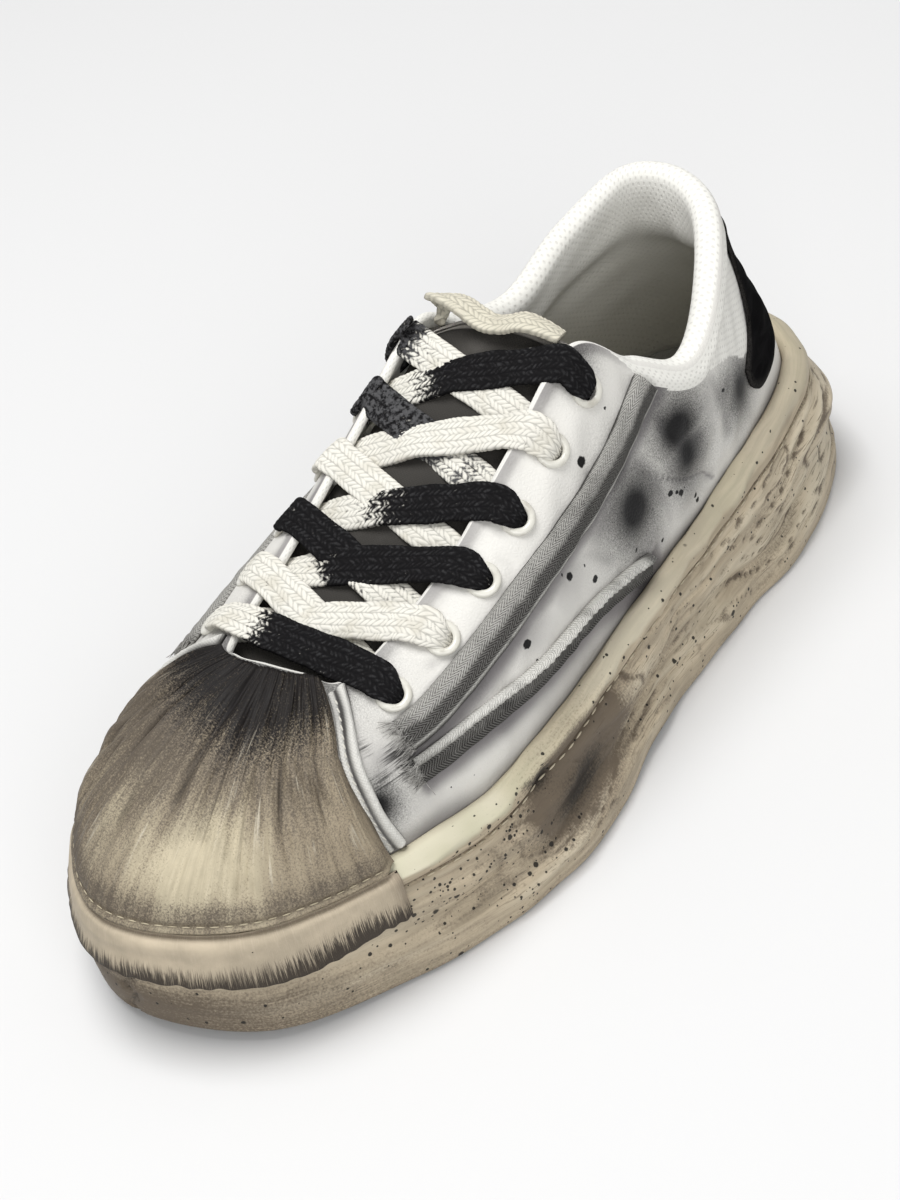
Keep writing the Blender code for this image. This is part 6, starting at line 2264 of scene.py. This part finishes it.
@dataclass
class Heel:
    """The bare suede patch round the back of the collar, and the cloth strip below it."""

    edges: tuple = (
        (-0.155, 0.80, -0.152, 0.955), (-0.148, 0.66, -0.135, 0.955), (-0.130, 0.58, -0.110, 0.955),
        (-0.085, 0.62, -0.080, 0.955), (-0.045, 0.52, -0.045, 0.955), (0.0, 0.50, 0.0, 0.955),
        (0.034, 0.475, 0.030, 0.955), (0.066, 0.32, 0.052, 0.955), (0.090, 0.31, 0.062, 0.89),
        (0.103, 0.40, 0.070, 0.73), (0.106, 0.50, 0.080, 0.61))
    strip_half: float = 0.026
    strip_top: float = 0.455
    gap: float = 0.4 * MM
    patch_thick: float = 1.2 * MM
    strip_thick: float = 1.0 * MM

    def build(self) -> list[bpy.types.Object]:
        """The patch, the strip and their stitches.

        Returns:
            The pieces.
        """
        line = through(self.edges, 260)
        share = np.linspace(0, 1, 60)[None, :]
        uu = line[:, :1] + (line[:, 2:3] - line[:, :1]) * share
        v = line[:, 1:2] + (line[:, 3:] - line[:, 1:2]) * share
        base, normal = FORM.face(uu, v), FORM.normal(uu, v)
        rim = np.minimum(np.minimum(share, 1 - share) * 60 / 4.0, np.minimum(
            np.arange(260), np.arange(260)[::-1])[:, None] / 6.0)
        thick = self.patch_thick * (0.30 + 0.70 * smooth(rim))
        thick = thick + 0.15 * MM * ripple(uu * 40, v * 5, 81)
        outer, inner = base + normal * (self.gap + thick)[..., None], (base + normal * self.gap / 2)[:, ::12]
        edge = 1 - smooth(rim / 1.4)
        suede = Suede("patch_suede", roughness=1.0, bump=0.3, depth=0.2 * MM, specular=0.03)
        patch = sewn("heel_patch_suede", slab_skin(outer, inner, {"edge": edge + 0 * thick}),
                     [suede.material()])
        settle(patch, "heel_patch", "heel_patch")
        u = np.linspace(-self.strip_half, self.strip_half, 50)[:, None]
        bottom = float(FORM.rim_v(np.array([0.0]))[0]) - 0.02
        v = np.linspace(bottom, self.strip_top, 60)[None, :]
        uu, vv = u + 0 * v, v + 0 * u
        base, normal = FORM.face(uu, vv), FORM.normal(uu, vv)
        side = 1 - np.abs(uu) / self.strip_half
        thick = self.strip_thick * (0.4 + 0.6 * smooth(side / 0.12)) + 0.1 * MM * ripple(uu * 60, vv * 4, 82)
        outer, inner = base + normal * (self.gap + thick)[..., None], (base + normal * self.gap / 2)[:, ::12]
        cloth = StripCloth("strip_cloth", roughness=0.9, bump=0.5, depth=0.2 * MM)
        strip = sewn("heel_strip_cloth", slab_skin(outer, inner), [cloth.material()])
        settle(strip, "heel_strip", "heel_strip")
        thread = Plain("heel_thread", roughness=0.85, tint=(0.6, 0.58, 0.53),
                       dirt=(0.12, 0.11, 0.1)).material()
        rows = [stitches("row", outer[i], normal[i], 2.6 * MM, 0.5 * MM, 0.45 * MM, thread) for i in (4, -5)]
        sewing = settle(joined("heel_stitches", rows), "heel_strip")
        return [patch, strip, sewing]


# ---------------------------------------------------------------- eyelets and laces
@dataclass
class Eyelets:
    """Twelve white enamelled rings, domed and chipped."""

    places: list
    ring: float = 3.75 * MM
    wire: float = 1.05 * MM
    flat: float = 0.7
    rise: float = 0.4 * MM

    def build(self) -> bpy.types.Object:
        """All the rings as one mesh.

        Returns:
            The finished piece.
        """
        enamel = Plain("eyelet_enamel", roughness=0.28, bump=0.12, depth=0.1 * MM, coat=0.5,
                       tint=(0.66, 0.645, 0.58), dirt=(0.36, 0.33, 0.27), scale=260.0,
                       amount=0.5).material()
        rings = []
        for centre, normal, _ in self.places:
            deselect()
            turn = Vector(normal).to_track_quat("Z", "Y").to_euler()
            bpy.ops.mesh.primitive_torus_add(location=tuple(centre + normal * self.rise), rotation=turn,
                                             major_segments=48, minor_segments=16, major_radius=self.ring,
                                             minor_radius=self.wire)
            bpy.context.object.scale = (1.0, 1.0, self.flat)
            bpy.ops.object.transform_apply(location=True, rotation=True, scale=True)
            rings.append(bpy.context.object)
        piece = joined("eyelet_rings", rings)
        piece.data.materials.clear()
        piece.data.materials.append(enamel)
        edit(piece, lambda: bpy.ops.mesh.faces_shade_smooth())
        nodes = [f"eyelet_{side.value}_{number}" for side in Side for number in range(1, 7)]
        return settle(piece, "eyelet", *nodes)


@dataclass(frozen=True)
class Strap:
    """One stretch of lace: from an eyelet to the far side, with where it is soaked black.

    soot and grey are places along the stretch (0 to 1) and strengths.
    """

    start: tuple[int, Side]
    stop: tuple[int, Side]
    layer: int
    closed: bool
    soot: Places
    grey: float = 0.0


@dataclass
class Laces:
    """The flat braided laces: the lowest bar and the crossings, each from its eyelet to the far edge."""

    tongue: Tongue
    places: list
    width: float = 10.6 * MM
    thick: float = 2.2 * MM
    along: int = 236
    around: int = 57
    upper: int = 43
    plait: float = 1.75 * MM
    relief: float = 0.27 * MM
    ring_height: float = 0.7 * MM
    clearance: float = 0.45 * MM
    under: float = 0.3 * MM
    slack: float = 2.2 * MM
    straps: tuple[Strap, ...] = (Strap((0, Side.LATERAL), (0, Side.MEDIAL), 1, True,
                                       ((0, 1), (0.6, 0.95), (0.74, 0.25), (0.86, 0), (1, 0))),
                                 Strap((1, Side.MEDIAL), (0, Side.LATERAL), 0, False, ((0, 0), (1, 0.05))),
                                 Strap((1, Side.LATERAL), (0, Side.MEDIAL), 1, False, ((0, 0.02), (1, 0))),
                                 Strap((2, Side.MEDIAL), (1, Side.LATERAL), 0, False,
                                       ((0, 1), (0.45, 1), (0.62, 0.4), (1, 0.2))),
                                 Strap((2, Side.LATERAL), (1, Side.MEDIAL), 1, False,
                                       ((0, 1), (0.62, 1), (0.76, 0.3), (0.9, 0), (1, 0))),
                                 Strap((3, Side.MEDIAL), (2, Side.LATERAL), 0, False, ((0, 0), (1, 0))),
                                 Strap((3, Side.LATERAL), (2, Side.MEDIAL), 1, False,
                                       ((0, 1), (0.5, 0.95), (0.68, 0.4), (0.85, 0), (1, 0))),
                                 Strap((4, Side.MEDIAL), (3, Side.LATERAL), 0, False,
                                       ((0, 1), (0.5, 0.9), (0.7, 0.5), (1, 0.4)), 0.45),
                                 Strap((4, Side.LATERAL), (3, Side.MEDIAL), 1, False, ((0, 0), (1, 0.02))),
                                 Strap((5, Side.MEDIAL), (4, Side.LATERAL), 0, False,
                                       ((0, 0.95), (0.25, 0.8), (0.4, 0.2), (0.55, 0), (1, 0)), 0.35),
                                 Strap((5, Side.LATERAL), (4, Side.MEDIAL), 1, False,
                                       ((0, 1), (0.58, 1), (0.7, 0.5), (0.8, 0), (1, 0))))

    def eye(self, place: tuple[int, Side]) -> tuple[np.ndarray, np.ndarray, float]:
        """Middle, normal and u of an eyelet."""
        row, side = place
        return self.places[2 * row + (side is Side.MEDIAL)]

    @staticmethod
    def crossing(start: np.ndarray, stop: np.ndarray, u: float) -> float:
        """Share of the way from start to stop, seen from above, at which the throat's edge near u is passed.

        Args:
            start: Where the strap starts.
            stop: Where it ends.
            u: The eyelet's place round the foot.

        Returns:
            The share.
        """
        edge = FORM.face(np.linspace(u - 0.05, u + 0.05, 201), 1.0)[:, :2]
        way = (stop - start)[:2]
        share = (edge - start[:2]) @ way / np.dot(way, way)
        off = np.linalg.norm(start[:2] + share[:, None] * way - edge, axis=1)
        return float(share[np.argmin(off)])

    @staticmethod
    def leather(u: float) -> tuple[np.ndarray, np.ndarray]:
        """The eyestay's outer face round an eyelet, as points and normals."""
        uu, vv = np.meshgrid(np.linspace(u - 0.035, u + 0.035, 41), np.linspace(0.62, 1.0, 60), indexing="ij")
        return FORM.face(uu, vv).reshape(-1, 3), FORM.normal(uu, vv).reshape(-1, 3)

    def route(self, strap: Strap, skin: tuple[np.ndarray, np.ndarray]) -> tuple[np.ndarray, np.ndarray]:
        """The strap's middle line, drawn taut over leather and tongue, and the way that its flat face looks.

        Args:
            strap: The strap.
            skin: The tongue's points and normals.

        Returns:
            Points at even distances, and a vector for each.
        """
        half = self.thick / 2
        lift = half + self.clearance
        (c0, n0, u0), (c1, n1, u1) = self.eye(strap.start), self.eye(strap.stop)
        way = (c1 - c0) * [1, 1, 0]
        reach = np.linalg.norm(way)
        leave, enter = self.crossing(c0, c1, u0), self.crossing(c0, c1, u1)

        def held(cloud: tuple, shares: np.ndarray, rise: np.ndarray | float) -> np.ndarray:
            """Distance along, height and normal of the lace where it lies on a surface.

            Args:
                cloud: The surface's points and normals.
                shares: Shares of the way across.
                rise: How far above the surface.

            Returns:
                A row for each share.
            """
            spots = (c0 + way * shares[:, None])[:, :2]
            near = np.argmin(np.sum((cloud[0][None, :, :2] - spots[:, None]) ** 2, axis=2), axis=1)
            at = cloud[0][near] + cloud[1][near] * np.broadcast_to(rise, shares.shape)[:, None]
            return np.column_stack([(at - c0) @ way / reach, at[:, 2], cloud[1][near]])

        ring = 4.0 * MM / reach
        middle = np.linspace(leave + 0.05, enter - 0.05, 22)
        layer = lift + strap.layer * self.thick * 0.9 * bell(middle - 0.5, 0.16)
        parts = [held(self.leather(u0), np.linspace(ring, leave, 9), lift + 0.2 * MM),
                 held(skin, middle, layer)]
        parts[0][0, 1] += self.ring_height
        if strap.closed:
            parts.append(held(self.leather(u1), np.linspace(enter, 1 - ring, 9), lift + 0.2 * MM))
            parts[-1][-1, 1] += self.ring_height
        else:
            under = enter + np.array([1.0, 8.0]) * MM / reach
            parts.append(held(self.leather(u1), under, -(FORM.wall + half + self.under))[:1])
        held_at = np.concatenate(parts)
        held_at = held_at[np.argsort(held_at[:, 0])]
        hull = []
        for x, z in held_at[:, :2]:
            while len(hull) > 1 and ((hull[-1][0] - hull[-2][0]) * (z - hull[-2][1])
                                     >= (hull[-1][1] - hull[-2][1]) * (x - hull[-2][0])):
                hull.pop()
            hull.append((x, z))
        hull_x, hull_z = np.array(hull).T
        if not strap.closed:
            tail = held(self.leather(u1), under, -(FORM.wall + half + self.under))[1]
            hull_x, hull_z = np.append(hull_x, tail[0]), np.append(hull_z, tail[1])
            held_at = np.concatenate([held_at, tail[None]])
        run = np.linspace(hull_x[0], hull_x[-1], 70)
        spread = np.exp(-((run[:, None] - run[None, :]) / self.slack) ** 2)
        spread /= spread.sum(axis=1, keepdims=True)
        height = spread @ np.interp(run, hull_x, hull_z)
        height[[0, -1]] = hull_z[0], hull_z[-1]
        face = np.stack([np.interp(run, held_at[:, 0], held_at[:, k]) for k in (2, 3, 4)], 1)
        face = unit(spread @ face)
        line = c0 * [1, 1, 0] + way * (run / reach)[:, None] + height[:, None] * UP
        tangent = lambda n, sign: unit(np.array([way[0], way[1], -(way[:2] @ n[:2]) / n[2]]) * sign)
        aim, back = tangent(n0, 1), tangent(n1, -1)
        first = [c0 - aim * 1.6 * MM - n0 * 2.0 * MM, c0 + aim * 1.2 * MM + n0 * 1.0 * MM]
        line, face = (np.concatenate([first, line[1::3]]),
                      np.concatenate([[unit(n0 - aim), unit(n0 - 0.4 * aim)], face[1::3]]))
        if strap.closed:
            last = [c1 + back * 1.2 * MM + n1 * 1.0 * MM, c1 - back * 1.6 * MM - n1 * 2.0 * MM]
            line, face = (np.concatenate([line, last]),
                          np.concatenate([face, [unit(n1 - 0.4 * back), unit(n1 - back)]]))
        dense, faces = through(line, 500), through(face, 500)
        return evenly(dense, self.along), unit(evenly(dense, self.along, faces))

    def outline(self) -> tuple[np.ndarray, np.ndarray, np.ndarray]:
        """The lace's section, finer on its upper face: x and z, from -1 to 1, and the girth so far.

        Returns:
            The three columns.
        """
        bend = lambda a: np.sign(a) * np.abs(a) ** 0.5
        arcs = []
        for start, count in ((0.0, self.upper), (math.pi, self.around - self.upper)):
            turn = np.linspace(start, start + math.pi, 1500)
            oval = np.stack([bend(np.cos(turn)) * self.width / 2, bend(np.sin(turn)) * self.thick / 2], -1)
            arcs.append(evenly(oval, count + 1)[:-1])
        spread = np.concatenate(arcs)
        return spread[:, 0] * 2 / self.width, spread[:, 1] * 2 / self.thick, lengths(spread)

    def plaits(self, run: np.ndarray, x: np.ndarray, z: np.ndarray, lanes: int, seed: int) -> np.ndarray:
        """Height of the plaits, 0 to 1: lanes of slanting strands, each lane leaning against the next.

        Args:
            run: Distance along the lace.
            x: Places across its section.
            z: Heights in its section.
            lanes: How many lanes lie side by side.
            seed: Picks the unevenness.

        Returns:
            A height for each place.
        """
        column = (x * 0.985 + 1) * lanes / 2
        lane = np.mod(column, 1.0)
        lean = np.where(np.mod(np.floor(column), 2) < 1, 1.0, -1.0) * np.sign(z + 1e-6)
        loose = 0.35 * ripple(run[:, None] * 130, np.floor(column)[None, :] * 3.7, seed)
        slant = lean * (lane - 0.5) * 1.1 + 0.37 * np.floor(column)
        phase = run[:, None] / self.plait + slant[None, :] + loose
        strand = np.abs(np.sin(math.pi * phase)) ** 0.8
        return strand * (np.clip(np.sin(math.pi * lane), 0, 1) ** 0.45)[None, :]

    def braided(self, line: np.ndarray, flat: np.ndarray, ends: np.ndarray, lanes: int, seed: int) -> Skin:
        """A flat braid swept along a line, its plaits in relief.

        Args:
            line: The middle line, at even distances.
            flat: The way that its flat face looks at each point.
            ends: 0 where it is gathered in an eyelet, 1 where it lies flat.
            lanes: How many lanes of plaits lie side by side.
            seed: Picks its small unevenness.

        Returns:
            The skin, with the plait mark.
        """
        along = unit(np.gradient(line, axis=0))
        across = unit(np.cross(along, flat))
        normal = np.cross(across, along)
        run = lengths(line)
        tilt = 0.16 * ripple(run * 28, 0 * run, seed) * ends
        across, normal = (across * np.cos(tilt)[:, None] + normal * np.sin(tilt)[:, None],
                          normal * np.cos(tilt)[:, None] - across * np.sin(tilt)[:, None])
        x, z, girth = self.outline()
        wide = (self.width / 2) * (0.56 + 0.44 * ends) * (1 + 0.03 * ripple(run * 70, 0 * run, seed + 1))
        deep = (self.thick / 2) * (1.25 - 0.25 * ends)
        plait = self.plaits(run, x, z, lanes, seed + 2)
        cup = 0.30 * MM * (x**2)[None, :] * ends[:, None]
        xx, zz = x[None, :] * wide[:, None], z[None, :] * deep[:, None] - cup
        out = unit(across[:, None] * (x * 0.35)[None, :, None] + normal[:, None] * z[None, :, None])
        body = line[:, None] + across[:, None] * xx[..., None] + normal[:, None] * zz[..., None]
        body = body + out * (self.relief * (plait - 0.6))[..., None]
        uv = np.stack(np.broadcast_arrays(run[:, None], girth[None, :]), -1)
        uv = np.concatenate([uv, uv[:, -1:] + [0, girth[1]]], axis=1)
        return Skin(closed_round(body), uv, {"plait": closed_round(np.clip(plait, 0, 1))})

    def sweep(self, strap: Strap, skin: tuple[np.ndarray, np.ndarray],
              material: bpy.types.Material) -> bpy.types.Object:
        """One strap as a mesh.

        Args:
            strap: The strap.
            skin: The tongue's points and normals.
            material: The braid.

        Returns:
            Its mesh.
        """
        line, flat = self.route(strap, skin)
        run = lengths(line)
        ends = smooth((run - 1.5 * MM) / (6.5 * MM))
        if strap.closed:
            ends = ends * smooth((run[-1] - run - 1.5 * MM) / (6.5 * MM))
        made = self.braided(line, flat, ends, 6, 91 + 3 * self.straps.index(strap))
        keys, values = np.array(strap.soot).T
        shape = made.points.shape[:2]
        made.marks["soot"] = np.broadcast_to(np.interp(run / run[-1], keys, values)[:, None], shape)
        made.marks["grey"] = np.full(shape, strap.grey)
        return sewn("strap", made, [material])

    def build(self) -> list[bpy.types.Object]:
        """The straps that start on each side, as one mesh a side.

        Returns:
            The two pieces.
        """
        face, normal = self.tongue.surface()
        skin = (face.reshape(-1, 3), normal.reshape(-1, 3))
        braid = Braid("lace_braid", roughness=1.0, bump=0.5, depth=0.12 * MM, specular=0.05).material()
        made = []
        for side, nodes in ((Side.LATERAL, ("lace_crossings",)), (Side.MEDIAL, ())):
            straps = [self.sweep(strap, skin, braid) for strap in self.straps if strap.start[1] is side]
            made.append(settle(joined(f"lace_straps_{side.value}", straps), "lace", *nodes))
        return made


@dataclass
class FreeLoop:
    """The lace's free loop above the top eyelets: out from under one eyestay and into the other side."""

    route: tuple = ((16.5, 95.0, 107.8), (11.5, 96.0, 109.9), (6.0, 97.2, 110.9), (1.0, 98.3, 109.2),
                    (-4.0, 98.9, 108.1), (-8.5, 98.8, 109.0), (-13.0, 98.5, 110.6), (-18.0, 98.2, 110.9),
                    (-22.3, 97.4, 108.9), (-24.0, 96.3, 105.2), (-23.8, 95.0, 101.5))
    lean: float = -0.55
    twist: float = 0.5
    along: int = 170

    def build(self, laces: Laces) -> bpy.types.Object:
        """The loop, flat and part-twisted.

        Args:
            laces: Gives the braid's section.

        Returns:
            The finished piece.
        """
        x, s, z = evenly(through(np.array(self.route) * MM, 400), self.along).T
        line = np.stack([FORM.middle_x + x, FORM.heel_back_y - s, z], -1)
        along = unit(np.gradient(line, axis=0))
        run = lengths(line)
        side = unit(np.cross(along, UP))
        angle = self.lean + self.twist * np.sin(run / run[-1] * 4.0)
        flat = np.cross(side, along) * np.cos(angle)[:, None] - side * np.sin(angle)[:, None]
        made = laces.braided(line, flat, np.ones_like(run), 4, 17)
        for mark in ("soot", "grey"):
            made.marks[mark] = np.zeros(made.points.shape[:2])
        braid = Braid("loop_braid", roughness=0.95, bump=0.6, depth=0.15 * MM, specular=0.2,
                      cream=(0.62, 0.585, 0.48))
        piece = sewn("lace_loop_braid", made, [braid.material()])
        return settle(piece, "lace", "lace_loop")


# ---------------------------------------------------------------- stage
@dataclass(frozen=True)
class Studio:
    """The camera, a pale floor and plain soft light."""

    eye: tuple[float, float, float] = (0.3898, -0.3677, 0.5307)
    azimuth: float = 47.459
    elevation: float = 42.532
    roll: float = -13.029
    lens: float = 80.08
    floor_radius: float = 6.0
    floor_grey: float = 0.71
    white: float = 0.90
    ambient: float = 0.40
    key_power: float = 18.5
    fill_power: float = 8.0

    def camera(self) -> None:
        """A camera at the eye, turned to the shoe."""
        az, el, roll = (math.radians(a) for a in (self.azimuth, self.elevation, self.roll))
        back = Vector((math.sin(az) * math.cos(el), -math.cos(az) * math.cos(el), math.sin(el)))
        right = Vector((0, 0, 1)).cross(back).normalized()
        up = back.cross(right)
        across = right * math.cos(roll) + up * math.sin(roll)
        rise = up * math.cos(roll) - right * math.sin(roll)
        deselect()
        bpy.ops.object.camera_add()
        camera = bpy.context.object
        camera.name = "camera"
        turn = Matrix((across, rise, back)).transposed().to_4x4()
        camera.matrix_world = Matrix.Translation(self.eye) @ turn
        camera.data.sensor_fit = "VERTICAL"
        camera.data.sensor_height = 36.0
        camera.data.lens = self.lens
        camera.data.clip_start = 0.01
        bpy.context.scene.camera = camera

    def floor(self) -> None:
        """A wide pale floor that keeps its tone far from the lamps."""
        deselect()
        bpy.ops.mesh.primitive_circle_add(vertices=96, radius=self.floor_radius, fill_type="NGON",
                                          location=(0, 0, 0))
        floor = bpy.context.object
        floor.name = "floor"
        mat = bpy.data.materials.new("pale_floor")
        mat.use_nodes = True
        w = Wires(mat.node_tree)
        shader = w.add("BsdfPrincipled", {"Base Color": (self.floor_grey,) * 3, "Roughness": 0.7,
                                          "Specular IOR Level": 0.1})
        far = w.shift("LENGTH", w.place(), key="Value")
        pale = w.span(far, 0.5, 1.5) * w.out(w.add("LightPath"), "Is Camera Ray")
        glow = w.add("Emission", {"Color": (self.white,) * 3, "Strength": 1.0})
        both = w.add("MixShader", {0: pale, 1: w.out(shader), 2: w.out(glow)})
        w.add("OutputMaterial", {0: w.out(both)})
        floor.data.materials.append(mat)

    def world(self) -> None:
        """An even pale sky, white behind the shoe."""
        world = bpy.data.worlds.new("studio")
        bpy.context.scene.world = world
        world.use_nodes = True
        w = Wires(world.node_tree)
        seen = w.out(w.add("LightPath"), "Is Camera Ray")
        ambient = w.add("Background", {"Color": (1.0, 1.0, 1.0), "Strength": self.ambient})
        white = w.add("Background", {"Color": (self.white,) * 3, "Strength": 1.0})
        both = w.add("MixShader", {0: seen, 1: w.out(ambient), 2: w.out(white)})
        w.add("OutputWorld", {0: w.out(both)})

    def lamp(self, name: str, place: Sequence[float], size: float, power: float) -> None:
        """A soft square lamp that looks at the shoe.

        Args:
            name: Its name.
            place: Where it hangs.
            size: Its side, in metres.
            power: In watts.
        """
        deselect()
        bpy.ops.object.light_add(type="AREA", location=place)
        lamp = bpy.context.object
        lamp.name = name
        lamp.data.size = size
        lamp.data.energy = power
        lamp.rotation_euler = (Vector((0, 0, 0.05)) - Vector(place)).to_track_quat("-Z", "Y").to_euler()

    def build(self) -> None:
        """Floor, sky and lamps."""
        self.floor()
        self.world()
        self.lamp("key", (-0.20, -0.10, 1.45), 0.8, self.key_power)
        self.lamp("fill", (1.0, -0.7, 0.8), 1.0, self.fill_power)
        bpy.context.scene.view_settings.view_transform = "Standard"


def main() -> None:
    """Builds the shoe piece by piece."""
    logging.basicConfig(level=logging.INFO, format="%(message)s")
    studio = Studio()
    studio.camera()
    upper = Upper()
    tongue = Tongue()
    FreeLoop().build(Laces(tongue, upper.places(), width=8.2 * MM, thick=2.3 * MM))
    upper.build()
    ToeCap().build()
    ToeBand().build()
    CupSole().build()
    Footbed().build()
    dress_tread()
    tongue.build()
    Tapes().build()
    Piping().build()
    Heel().build()
    Eyelets(upper.places()).build()
    Laces(tongue, upper.places()).build()
    studio.build()


if __name__ == "__main__":
    main()
